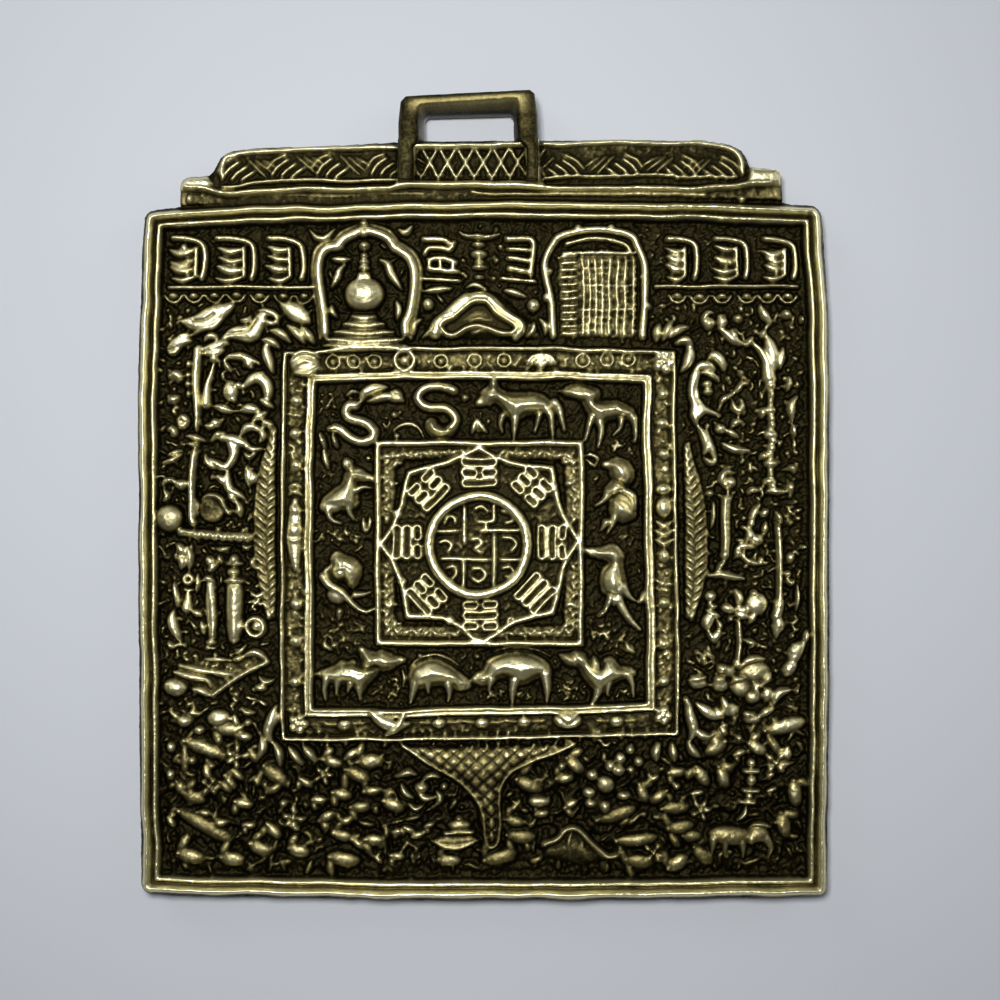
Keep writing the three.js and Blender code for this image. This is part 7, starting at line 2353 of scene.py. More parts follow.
    def chest(self, relief: Relief) -> None:
        """The slanted chest, the sphere and the beads under the vases.

        Args:
            relief: the face.
        """
        relief.element("ground_plate")
        relief.plate(
            [(-30.3, -11.4), (-27.3, -10.7), (-24.6, -10.9), (-23.4, -10.2), (-22.4, -10.1),
             (-21.5, -11.1), (-27.0, -14.5), (-28.9, -13.9), (-31.0, -12.3)], 0.38, 0.5)
        self.ridges(
            relief, 1.05,
            ((0.3, [(-27.8, -10.9), (-26.4, -10.85), (-25.2, -11.0)]),
             (0.42, [(-25.0, -10.95), (-24.3, -10.8), (-23.8, -10.5)]),
             (0.5, [(-24.0, -10.7), (-23.0, -10.2), (-22.3, -10.3), (-21.4, -11.1)]),
             (0.45, [(-30.4, -11.5), (-28.8, -11.8), (-27.4, -12.1), (-26.3, -12.3)]),
             (0.5, [(-27.2, -12.2), (-26.0, -12.35), (-25.0, -12.5)]),
             (0.5, [(-31.0, -12.1), (-29.0, -12.6), (-27.6, -12.9), (-27.2, -13.6)]),
             (0.5, [(-29.1, -13.8), (-28.2, -13.95), (-27.3, -14.5)]),
             (0.34, [(-24.0, -11.8), (-23.3, -11.3)]),
             (0.42, [(-22.5, -12.6), (-21.8, -13.1), (-21.0, -12.8)]),
             (0.5, [(-22.8, -13.6), (-22.2, -13.7), (-21.7, -13.8)]),
             (0.5, [(-23.7, -14.7), (-22.8, -14.9)]), (0.7, [(-22.3, -15.1), (-21.8, -15.5)]),
             (0.45, [(-24.2, -15.7), (-23.8, -16.1), (-22.9, -16.3)]),
             (0.9, [(-21.6, -17.4), (-21.1, -17.0), (-20.6, -16.3)]),
             (0.42, [(-25.1, -14.8), (-24.7, -15.1)]), (0.4, [(-28.1, -16.0), (-27.6, -15.7)]),
             (0.42, [(-25.4, -15.4), (-25.1, -16.0)])))
        relief.stroke([(-27.1, -14.4), (-25.0, -13.05), (-23.0, -11.9), (-21.5, -11.1)], 0.3, 0.95)
        for u, v in (
                (-27.6, -11.4), (-27.0, -11.6), (-26.6, -11.5), (-25.6, -11.7), (-25.2, -11.9),
                (-25.7, -12.9), (-26.8, -10.4), (-25.2, -10.5), (-23.6, -11.6)):
            relief.bead(u, v, 0.2, 0.85)
        relief.dome(-30.8, -13.6, 1.1, 0.75, 1.25, -8)


@dataclass
class RightField(FieldCraft):
    """The right field: petal fan on its column, staff, spear, jar and peony."""

    seed: int = 2
    tall: float = 1.15

    def carve(self, relief: Relief) -> None:
        """Carves the field from its ground up.

        Args:
            relief: the face.
        """
        for outline in (
                box(22.2, -16.0, 32.0, 20.0), box(22.6, 19.5, 31.8, 24.4),
                box(16.6, 22.9, 22.4, 24.8)):
            self.undergrowth(relief, outline, 1.05, 0.4)
        relief.girth = 1.7
        self.plumes(relief)
        self.column(relief)
        self.staff(relief)
        self.arms(relief)
        self.peony(relief)

    def plumes(self, relief: Relief) -> None:
        """The eared cartouche, leaves and beads at the top.

        Args:
            relief: the face.
        """
        relief.element("ground_plate")
        relief.plate(
            [(20.5, 17.4), (20.7, 17.9), (21.5, 18.5), (21.7, 17.4), (21.5, 16.4), (21.7, 15.2),
             (22.2, 14.4), (23.5, 13.6), (23.4, 13.2), (22.2, 13.5), (21.5, 13.0), (21.4, 12.2),
             (20.9, 12.6), (20.5, 13.4), (20.6, 14.5), (20.3, 15.4)], 1.0, 0.4)
        self.lumps(
            relief, 1.1,
            ((22.45, 22.55, 0.55, 0.6), (25.25, 23.05, 0.42, 0.36), (30.1, 23.5, 0.42, 0.42),
             (23.6, 12.1, 0.5, 0.45), (22.3, 16.6, 0.5, 0.36), (22.4, 15.8, 0.45, 0.36),
             (24.4, 17.1, 0.24, 0.24), (22.3, 12.4, 0.24, 0.24), (30.5, 6.3, 0.36, 0.5),
             (31.6, 23.0, 0.2, 0.4), (26.2, 16.6, 0.24, 0.2), (25.6, 17.7, 0.26, 0.24)))
        self.ridges(
            relief, 1.1,
            ((0.42, [(21.9, 22.4), (21.9, 23.1), (22.3, 23.7), (22.9, 23.6)]),
             (0.7, [(23.5, 23.4), (23.75, 22.6), (23.5, 22.0)]),
             (0.62, [(23.4, 22.0), (24.2, 21.5), (24.9, 20.9), (25.9, 20.5)]),
             (0.36, [(24.6, 22.0), (25.1, 21.2), (25.4, 21.0)]),
             (0.34, [(25.2, 21.9), (25.9, 21.2)]),
             (0.6, [(27.5, 24.4), (27.8, 23.6), (28.3, 22.9), (28.5, 22.4)]),
             (0.4, [(28.5, 22.6), (28.1, 22.2)]),
             (0.75, [(22.4, 19.1), (23.0, 19.4), (23.6, 18.9), (24.0, 18.0)]),
             (0.66, [(20.9, 17.9), (21.7, 18.4), (22.6, 18.3), (23.1, 17.9)]),
             (0.45, [(21.6, 17.7), (22.5, 17.6), (23.3, 17.1), (23.5, 16.8)]),
             (0.6, [(21.3, 12.5), (21.9, 11.5), (22.2, 10.4), (22.0, 9.6)]),
             (0.5, [(22.2, 12.0), (22.5, 10.6), (22.9, 9.5), (23.1, 8.9)]),
             (0.42, [(23.1, 8.9), (22.7, 8.7), (22.0, 9.2)]),
             (0.4, [(23.6, 14.2), (23.8, 14.9), (24.4, 15.3), (25.0, 15.6)]),
             (0.4, [(25.0, 15.6), (25.5, 16.1), (25.8, 16.9)]),
             (0.34, [(24.0, 16.5), (24.0, 15.9)]),
             (0.5, [(24.8, 15.0), (24.95, 14.3), (25.4, 13.95), (25.8, 14.4), (25.7, 15.1)]),
             (0.5, [(25.4, 14.0), (25.4, 13.3)]),
             (0.5, [(25.8, 12.9), (25.2, 12.8), (24.7, 12.3)]),
             (0.45, [(23.9, 12.0), (24.6, 11.7), (25.4, 11.2)]),
             (0.3, [(24.4, 10.9), (24.9, 10.8)]),
             (0.55, [(23.7, 10.7), (24.5, 10.2), (25.4, 9.95), (26.6, 9.9)]),
             (0.42, [(26.1, 20.3), (26.5, 20.9), (26.8, 21.3)]),
             (0.45, [(27.6, 21.1), (27.8, 21.6), (28.1, 21.8)]),
             (0.45, [(29.8, 20.2), (29.6, 19.3), (29.4, 18.1)]),
             (0.55, [(31.2, 15.4), (30.7, 14.7), (30.6, 13.9), (30.8, 13.0)]),
             (0.4, [(30.8, 12.6), (30.85, 11.9), (31.0, 11.3)]),
             (0.34, [(31.0, 11.0), (31.1, 10.3)]),
             (0.42, [(30.3, 17.4), (30.4, 16.8), (30.2, 15.9)]),
             (0.36, [(26.7, 24.2), (26.8, 23.5)]), (0.36, [(27.5, 17.0), (27.5, 16.2)]),
             (0.36, [(27.6, 15.8), (27.7, 15.0)]), (0.36, [(27.1, 18.9), (27.4, 18.2)]),
             (0.42, [(26.2, 19.3), (26.7, 19.1)]), (0.42, [(27.4, 11.5), (27.8, 11.8)]),
             (0.42, [(30.5, 6.3), (30.5, 5.3)]), (0.4, [(30.2, 8.1), (30.7, 8.3), (30.9, 7.7)]),
             (0.4, [(27.0, 8.3), (27.3, 8.0)]), (0.36, [(26.9, 9.6), (27.3, 9.8)]),
             (0.36, [(24.0, 8.3), (24.8, 8.4)])))
        relief.stroke(
            [(26.7, 20.7), (27.5, 19.9), (28.1, 18.8), (28.4, 17.2)], 0.95, 1.15, Taper.DROP)
        relief.stroke(
            [(28.15, 21.3), (28.5, 20.3), (28.75, 19.2), (28.8, 17.9)], 0.95, 1.15, Taper.LEAF)
        for path in (
                [(21.2, 16.6), (21.15, 15.4), (21.5, 14.6)], [(20.4, 15.7), (20.6, 14.8)],
                [(22.2, 14.0), (23.2, 13.5)]):
            relief.groove(path, 0.26, 0.3)

    def column(self, relief: Relief) -> None:
        """The turned column that carries the petals.

        Args:
            relief: the face.
        """
        relief.element("plume_column")
        self.lumps(
            relief, self.tall,
            ((28.55, 16.4, 0.48, 0.55), (28.65, 15.5, 0.3, 0.5), (28.5, 14.85, 0.2, 0.2),
             (28.6, 14.0, 0.5, 0.42), (28.65, 13.2, 0.36, 0.5), (28.7, 12.5, 0.34, 0.36),
             (28.6, 11.55, 0.6, 0.5), (28.8, 10.9, 0.36, 0.3), (28.65, 10.2, 0.4, 0.45),
             (28.4, 9.6, 0.42, 0.3), (28.6, 8.7, 0.62, 0.42), (28.6, 7.6, 0.22, 0.42),
             (28.5, 6.95, 0.6, 0.34), (28.85, 6.4, 0.24, 0.3)))
        relief.stroke([(28.6, 17.0), (28.6, 6.4)], 0.42, 0.8)
        self.ridges(
            relief, self.tall,
            ((0.5, [(28.3, 14.1), (27.8, 13.9), (27.75, 13.3)]),
             (0.42, [(27.5, 9.1), (28.0, 9.6), (28.3, 9.7)]),
             (0.42, [(26.3, 5.5), (26.7, 6.0), (27.5, 5.95)]), (0.5, [(27.7, 6.3), (27.8, 5.4)]),
             (0.5, [(28.3, 5.95), (29.2, 5.9), (30.1, 5.8)]), (0.4, [(27.2, 5.3), (27.5, 5.0)]),
             (0.36, [(25.7, 6.1), (25.9, 5.6)])))

    def staff(self, relief: Relief) -> None:
        """The short staff with its bead finial, and the curled form beside it.

        Args:
            relief: the face.
        """
        relief.element("staff_right")
        relief.plate(
            [(23.6, 5.5), (24.9, 5.5), (24.65, 4.6), (24.65, 1.0), (24.5, -0.9), (23.75, -0.9),
             (23.7, 1.0), (23.7, 4.6)], self.tall + 0.05, 0.36)
        relief.stroke([(23.95, 5.1), (23.95, 2.0), (23.95, -0.1)], 0.36, self.tall + 0.25)
        relief.bead(24.5, 6.8, 0.55, self.tall + 0.2)
        self.ridges(
            relief, self.tall + 0.1,
            ((0.45, [(24.9, 7.7), (24.2, 7.95), (23.7, 7.5), (23.7, 6.8), (24.2, 6.1)]),
             (0.6, [(24.2, 6.3), (24.3, 5.5)]), (0.4, [(24.1, -1.1), (23.6, -1.6), (23.1, -2.2)]),
             (0.5, [(22.3, -2.6), (23.6, -2.5), (24.8, -2.7), (26.0, -2.9)])))
        relief.dome(24.0, -0.6, 0.42, 0.5, self.tall + 0.15)
        relief.plate([(22.8, -2.6), (23.4, -1.9), (24.6, -2.0), (25.4, -2.6)], 0.75, 0.4)
        for k in range(7):
            relief.groove([(24.2, 4.6 - 0.55 * k), (24.65, 4.7 - 0.55 * k)], 0.2, 0.2)
        relief.element("ground_plate")
        self.lumps(
            relief, 1.1,
            ((27.15, 1.1, 0.6, 0.52), (26.6, 2.7, 0.34, 0.34), (25.9, 2.3, 0.26, 0.2),
             (25.35, -0.25, 0.36, 0.5), (27.6, -0.9, 0.24, 0.3), (31.9, 0.2, 0.3, 0.2),
             (30.5, -0.8, 0.42, 0.5), (30.25, -2.4, 0.36, 0.36), (22.5, 5.6, 0.36, 0.3),
             (25.5, 1.0, 0.4, 0.16)))
        self.ridges(
            relief, 1.1,
            ((0.5, [(27.5, 4.6), (27.0, 4.1), (26.7, 3.4), (26.6, 2.6)]),
             (0.6, [(26.4, 2.2), (26.5, 1.5), (26.2, 1.0)]),
             (0.5, [(25.1, 0.2), (25.9, 0.5), (26.9, 0.3)]),
             (0.4, [(26.0, 0.0), (25.9, -0.6), (26.4, -1.1), (27.2, -1.3), (28.1, -1.2)]),
             (0.4, [(27.0, -0.2), (27.1, -0.9)]), (0.5, [(27.5, 3.4), (27.9, 3.8), (28.2, 4.0)]),
             (0.42, [(28.0, 2.9), (27.9, 2.2), (27.9, 1.5)]), (0.32, [(28.4, 2.2), (28.4, 1.2)]),
             (0.42, [(29.0, 3.8), (29.3, 3.2), (29.6, 2.6)]),
             (0.34, [(22.9, 4.9), (22.9, 3.2), (22.6, 2.1)]), (0.34, [(28.5, -0.5), (28.9, -1.2)]),
             (0.36, [(28.4, -2.2), (29.0, -1.7)]), (0.5, [(30.9, -0.2), (31.4, -0.5)]),
             (0.42, [(30.1, -2.9), (30.6, -3.3), (31.0, -3.0)]),
             (0.34, [(31.3, -3.5), (31.3, -4.8), (31.1, -6.1)]), (0.4, [(30.3, 3.9), (30.9, 3.5)]),
             (0.4, [(22.2, 6.2), (22.9, 6.4)]), (0.34, [(25.2, 3.0), (25.3, 2.2)])))

    def arms(self, relief: Relief) -> None:
        """Spear, pointed vessel, jar and the shafts between them.

        Args:
            relief: the face.
        """
        relief.element("spear")
        relief.stroke(
            [(29.2, 2.2), (29.35, 0.0), (29.45, -3.0), (29.4, -5.2)], 0.42, self.tall + 0.1)
        relief.stroke([(29.4, -5.2), (29.3, -5.9), (29.1, -6.6)], 0.72, self.tall + 0.1)
        relief.dome(29.3, -7.4, 0.55, 0.75, self.tall + 0.15)
        relief.leaf([(28.6, -7.5), (29.0, -7.8), (29.1, -8.7)], 0.5, self.tall)
        relief.element("jar")
        relief.dome(27.15, -5.35, 0.95, 0.95, self.tall + 0.15, 0, 0.45)
        relief.bead(26.9, -4.25, 0.36, self.tall + 0.1)
        relief.leaf([(27.0, -6.0), (26.8, -6.6), (26.4, -7.3)], 0.5, self.tall)
        relief.element("ground_plate")
        self.lumps(
            relief, 1.1,
            ((22.55, -4.6, 0.5, 0.5), (30.6, -8.5, 0.22, 0.22), (30.8, -10.0, 0.5, 0.5),
             (24.5, -6.85, 0.24, 0.3), (21.2, -10.1, 0.22, 0.22), (31.2, -14.1, 0.2, 0.3)))
        self.ridges(
            relief, 1.1,
            ((0.42, [(22.4, -5.1), (22.6, -5.6), (23.2, -5.6)]),
             (0.5, [(22.1, -6.0), (22.8, -6.4), (23.5, -6.7)]),
             (0.85, [(22.7, -6.4), (22.3, -7.0), (22.2, -7.8)]),
             (0.34, [(22.3, -7.9), (22.7, -8.7), (23.0, -9.3)]),
             (0.42, [(23.2, -7.0), (23.5, -7.5), (23.4, -8.2)]),
             (0.6, [(23.5, -8.0), (23.2, -8.6), (23.0, -9.1)]),
             (0.62, [(25.1, -3.9), (25.5, -4.7), (25.3, -5.5)]),
             (0.75, [(25.2, -5.6), (25.6, -5.9), (26.5, -5.9)]),
             (0.72, [(23.7, -5.7), (24.4, -5.8), (24.9, -6.0)]),
             (0.6, [(25.0, -6.3), (25.8, -6.5), (26.4, -6.6)]),
             (0.36, [(24.4, -6.6), (25.2, -6.6)]),
             (0.42, [(26.0, -9.1), (26.6, -9.3), (27.1, -9.4)]),
             (0.3, [(27.0, -9.3), (28.2, -9.9)]), (0.42, [(26.4, -9.9), (26.9, -9.7)]),
             (0.5, [(32.15, -7.9), (32.0, -8.8), (31.8, -9.4)]),
             (0.34, [(30.6, -9.3), (31.4, -9.3)]),
             (1.0, [(31.9, -9.3), (31.2, -9.9), (30.9, -10.7), (30.8, -11.3)]),
             (0.85, [(30.9, -11.1), (30.5, -11.8), (30.2, -12.5)]),
             (0.36, [(30.7, -7.4), (30.9, -8.1)]),
             (0.4, [(21.6, -10.2), (21.9, -10.8), (22.0, -11.3)]),
             (0.34, [(22.0, -10.0), (22.5, -10.4), (23.0, -10.7)]),
             (0.5, [(20.3, -11.0), (20.9, -11.2)]), (0.34, [(21.2, -10.6), (21.5, -11.2)]),
             (0.5, [(21.9, -11.3), (22.6, -11.0)]), (0.36, [(21.0, -11.8), (21.8, -12.2)]),
             (0.34, [(22.3, -11.8), (22.9, -11.5)])))
        relief.stroke([(25.35, -7.2), (25.4, -8.6), (25.45, -9.6), (25.3, -10.9)], 0.36, 1.05)

    def peony(self, relief: Relief) -> None:
        """The large peony, its leaves and the petals under it.

        Args:
            relief: the face.
        """
        relief.element("ground_plate")
        self.lumps(
            relief, 0.8,
            ((26.9, -12.2, 1.5, 0.95), (25.6, -13.6, 1.0, 0.85), (24.4, -12.1, 0.75, 0.6),
             (23.5, -13.4, 0.75, 0.62), (26.8, -14.6, 0.8, 0.6), (24.6, -15.9, 0.8, 0.7),
             (21.3, -13.3, 0.8, 0.5), (28.3, -14.4, 0.6, 0.7), (26.8, -16.8, 0.9, 0.5)))
        self.lumps(relief, 1.15, ((23.7, -11.8, 0.5, 0.45), (23.4, -12.85, 0.55, 0.36)))
        self.ridges(
            relief, 1.1,
            ((0.5, [(24.9, -11.1), (25.3, -11.4), (25.6, -11.8)]),
             (0.5, [(25.5, -11.7), (26.2, -11.1), (27.1, -10.9), (28.1, -11.0)]),
             (0.36, [(24.5, -13.2), (25.1, -12.8), (26.0, -12.8)]),
             (0.5, [(28.7, -12.3), (28.4, -12.8), (27.9, -13.4)]),
             (0.42, [(26.8, -13.1), (27.1, -13.9), (27.3, -14.8)]),
             (0.42, [(26.9, -13.3), (27.5, -13.5), (27.9, -13.6)]),
             (0.62, [(28.9, -15.4), (29.1, -14.7), (29.6, -14.2), (30.6, -14.0)]),
             (0.5, [(20.4, -13.0), (21.1, -12.8), (22.1, -12.6)]),
             (0.34, [(20.6, -12.5), (21.5, -12.3)]),
             (0.8, [(21.2, -15.3), (22.0, -15.9), (22.8, -16.4), (23.8, -16.6)]),
             (0.45, [(23.1, -15.7), (23.5, -16.2), (23.9, -16.8)]),
             (0.55, [(23.7, -14.6), (24.0, -15.4), (24.2, -16.4)]),
             (0.5, [(25.8, -16.2), (26.3, -16.3), (26.8, -16.4)]),
             (0.6, [(27.5, -16.6), (28.1, -16.1), (28.9, -15.8)]),
             (0.4, [(29.5, -17.4), (30.0, -16.8)]), (0.36, [(27.9, -15.3), (28.2, -15.1)]),
             (0.34, [(22.3, -14.8), (22.9, -15.1)]), (0.4, [(24.8, -15.9), (25.0, -17.0)]),
             (0.4, [(24.6, -15.2), (25.2, -15.9)])))
        relief.stroke([(20.1, -14.9), (20.5, -15.7), (20.7, -16.8), (20.9, -18.0)], 0.42, 1.15)


@dataclass
class LowerField(FieldCraft):
    """The low field: plants, resting animals, lotus, bowl, flower, mountain and elephant."""

    seed: int = 3
    tall: float = 1.2
    girth: float = 1.35
    fork: float = 68.0
    thicket_seed: int = 900
    thicket_density: float = 0.75

    def carve(self, relief: Relief) -> None:
        """Carves the field from its ground up.

        Args:
            relief: the face.
        """
        for outline in (
                box(-32.0, -32.0, -7.5, -20.6), box(-32.0, -21.0, -22.4, -16.0),
                box(2.2, -31.8, 31.8, -20.4), box(-8.0, -32.0, 2.6, -26.4),
                box(22.4, -21.0, 31.8, -16.0), box(-7.5, -27.0, -1.6, -24.0)):
            self.undergrowth(relief, outline, 1.5, 0.36)
            self.thicket(relief, outline)
        relief.girth = self.girth
        self.left_plants(relief)
        self.middle_plants(relief)
        self.right_plants(relief)
        for u, v, radius in (
                (-24.6, -20.6, 1.1), (-19.0, -26.8, 1.0), (-27.4, -23.6, 0.9), (21.6, -26.0, 1.0),
                (16.9, -30.2, 0.95), (29.2, -21.2, 1.1), (-16.0, -22.6, 0.9), (23.9, -29.9, 0.9)):
            self.rosette(relief, u, v, radius)
        self.named_forms(relief)

    def thicket(self, relief: Relief, outline: list[Point]) -> None:
        """Low leaves that lie under the plants of one part of the field.

        Args:
            relief: the face.
            outline: the part's corners.
        """
        (left, low), (right, high) = np.min(outline, axis=0), np.max(outline, axis=0)
        rng = np.random.default_rng(GRAIN_SEED + round(left * 7 + low * 3) + self.thicket_seed)
        for _ in range(int((right - left) * (high - low) * self.thicket_density)):
            relief.dome(
                rng.uniform(left, right), rng.uniform(low, high), rng.uniform(0.5, 1.2),
                rng.uniform(0.22, 0.46), rng.uniform(0.3, 0.62), rng.uniform(0, 180))

    def rosette(self, relief: Relief, u: float, v: float, radius: float) -> None:
        """A small flower of uneven petals round a bud.

        Args:
            relief: the face.
            u: its middle's right coordinate.
            v: its middle's up coordinate.
            radius: its radius, in mm.
        """
        relief.element("ground_plate")
        for k in range(5):
            turn = 72.0 * k + 20.0 * math.sin(u + k)
            over, up = math.cos(math.radians(turn)), math.sin(math.radians(turn))
            relief.dome(
                u + radius * 0.72 * over, v + radius * 0.72 * up, radius * 0.52, radius * 0.34,
                0.85, turn)
        relief.bead(u, v, radius * 0.3, 0.95)

    def sprig(self, relief: Relief, path: Path, width: float) -> None:
        """A plump leaf, a smaller one that forks from its root, and a bud there.

        Args:
            relief: the face.
            path: the leaf's line, from root to tip.
            width: the leaf's width, in mm.
        """
        (u, v), (tip_u, tip_v) = path[0], path[-1]
        length = math.hypot(tip_u - u, tip_v - v)
        turn = math.degrees(math.atan2(tip_v - v, tip_u - u))
        side = 1 if math.sin(13.0 * u + 7.0 * v) > 0 else -1
        fork = math.radians(turn + self.fork * side)
        half = max(0.26 * length, width * 0.55)
        relief.dome(
            (u + tip_u) / 2, (v + tip_v) / 2, length * 0.56, min(half * 1.25, 0.8), 0.8, turn)
        relief.dome(
            u + 0.42 * length * math.cos(fork), v + 0.42 * length * math.sin(fork), length * 0.38,
            min(half, 0.55), 0.68, turn + self.fork * side)
        relief.bead(u, v, width * 0.4, 0.8)

    def left_plants(self, relief: Relief) -> None:
        """Plants and resting deer at the left.

        Args:
            relief: the face.
        """
        relief.element("ground_plate")
        for u, v, a, b in (
                (-29.8, -17.0, 0.75, 0.6), (-28.3, -17.9, 0.6, 0.5), (-26.5, -16.7, 1.1, 0.9),
                (-29.1, -21.0, 0.42, 0.42), (-23.6, -17.2, 0.42, 0.42), (-20.0, -25.3, 0.45, 0.45),
                (-31.2, -19.6, 0.5, 0.6), (-31.2, -22.3, 0.45, 0.6)):
            relief.dome(u, v, a, b, 1.0)
        for path, width in (
                ([(-26.8, -17.7), (-25.8, -18.4), (-24.2, -18.1)], 0.6),
                ([(-24.8, -18.5), (-23.9, -18.9), (-23.1, -18.8)], 0.5),
                ([(-25.0, -16.5), (-24.7, -17.7)], 0.5),
                ([(-29.9, -19.0), (-28.5, -19.3), (-27.0, -20.0), (-25.7, -20.6)], 0.72),
                ([(-25.1, -21.9), (-24.5, -22.4), (-23.9, -22.9)], 0.6),
                ([(-25.9, -22.5), (-25.3, -23.2), (-24.7, -23.8)], 0.6),
                ([(-26.4, -23.1), (-25.8, -23.6), (-25.2, -24.1)], 0.55),
                ([(-22.9, -22.5), (-22.3, -23.5)], 0.5),
                ([(-23.5, -19.9), (-23.0, -20.5), (-22.4, -21.1)], 0.55),
                ([(-21.9, -21.5), (-21.2, -22.5), (-20.5, -23.2), (-19.7, -23.5)], 0.75),
                ([(-21.7, -24.1), (-21.0, -23.6), (-20.2, -23.5)], 0.55),
                ([(-30.7, -22.9), (-30.5, -23.8), (-30.0, -24.2)], 0.45),
                ([(-30.1, -23.1), (-30.0, -24.1)], 0.42),
                ([(-30.0, -24.1), (-29.0, -24.3), (-28.4, -24.7), (-27.9, -25.1)], 0.85),
                ([(-28.7, -26.1), (-28.0, -26.2), (-27.2, -26.3)], 0.55),
                ([(-24.9, -25.0), (-24.0, -25.4), (-23.1, -25.5)], 0.6),
                ([(-30.3, -26.0), (-29.6, -27.2), (-28.8, -28.7), (-27.0, -29.1), (-25.4, -28.9)],
                 0.95), ([(-31.5, -26.7), (-31.1, -27.2), (-30.7, -27.7)], 0.5),
                ([(-24.1, -27.4), (-22.8, -27.4)], 0.5),
                ([(-21.7, -27.2), (-21.1, -28.0), (-20.3, -28.7)], 0.6),
                ([(-19.3, -27.6), (-18.3, -27.9)], 0.5),
                ([(-18.4, -22.8), (-17.7, -23.2), (-17.0, -23.6)], 0.55),
                ([(-27.2, -27.2), (-26.3, -26.8), (-25.5, -27.1)], 0.6),
                ([(-23.4, -29.2), (-22.4, -30.0), (-21.2, -30.2)], 0.6),
                ([(-30.6, -30.2), (-29.4, -30.9), (-27.9, -30.8)], 0.6),
                ([(-26.3, -30.6), (-25.2, -31.2), (-23.9, -31.0)], 0.5),
                ([(-19.6, -29.8), (-18.6, -30.5), (-17.4, -30.3)], 0.55),
                ([(-27.9, -21.6), (-27.2, -22.2), (-27.3, -23.0)], 0.5),
                ([(-19.3, -25.9), (-18.5, -26.3)], 0.45)):
            self.sprig(relief, path, width)

    def middle_plants(self, relief: Relief) -> None:
        """Leaves and ducks left and right of the tail.

        Args:
            relief: the face.
        """
        relief.element("ground_plate")
        for path, width in (
                ([(-16.1, -20.9), (-15.1, -21.1), (-14.1, -21.5)], 0.6),
                ([(-13.9, -20.9), (-13.3, -20.4), (-12.5, -20.0)], 0.6),
                ([(-12.7, -21.2), (-11.6, -20.6), (-10.9, -20.6), (-10.1, -21.0)], 0.6),
                ([(-13.9, -21.9), (-12.8, -21.6), (-11.9, -22.0), (-11.2, -22.9)], 0.6),
                ([(-15.1, -24.2), (-14.1, -24.0), (-13.1, -24.5)], 0.6),
                ([(-12.0, -24.1), (-11.0, -23.7), (-10.1, -24.0)], 0.75),
                ([(-10.1, -25.1), (-9.0, -25.4), (-8.0, -25.9)], 0.6),
                ([(-16.5, -27.0), (-15.7, -26.5), (-14.9, -26.1)], 0.55),
                ([(-14.6, -27.3), (-13.9, -27.1), (-13.1, -26.7)], 0.55),
                ([(-15.1, -28.2), (-14.2, -28.7), (-13.2, -28.8)], 0.95),
                ([(-13.2, -29.0), (-12.6, -29.2), (-12.0, -29.7)], 0.6),
                ([(-12.0, -28.9), (-10.9, -28.5), (-9.9, -28.9)], 0.75),
                ([(-9.1, -28.1), (-8.1, -27.9)], 0.5),
                ([(-8.0, -27.6), (-7.4, -27.7), (-6.9, -28.1)], 0.5),
                ([(-7.2, -28.6), (-6.0, -28.2)], 0.5), ([(-6.0, -27.6), (-4.9, -27.2)], 0.45),
                ([(-9.4, -30.4), (-7.9, -30.6)], 0.55),
                ([(-17.2, -24.9), (-16.2, -25.3), (-15.6, -24.9)], 0.5),
                ([(-13.4, -25.6), (-12.3, -25.9), (-11.3, -25.6)], 0.6),
                ([(-4.6, -30.9), (-3.6, -31.3), (-2.4, -31.0)], 0.55),
                ([(-15.6, -30.6), (-14.2, -31.2), (-12.6, -31.1)], 0.6),
                ([(-11.0, -30.6), (-10.2, -31.2)], 0.5)):
            self.sprig(relief, path, width)

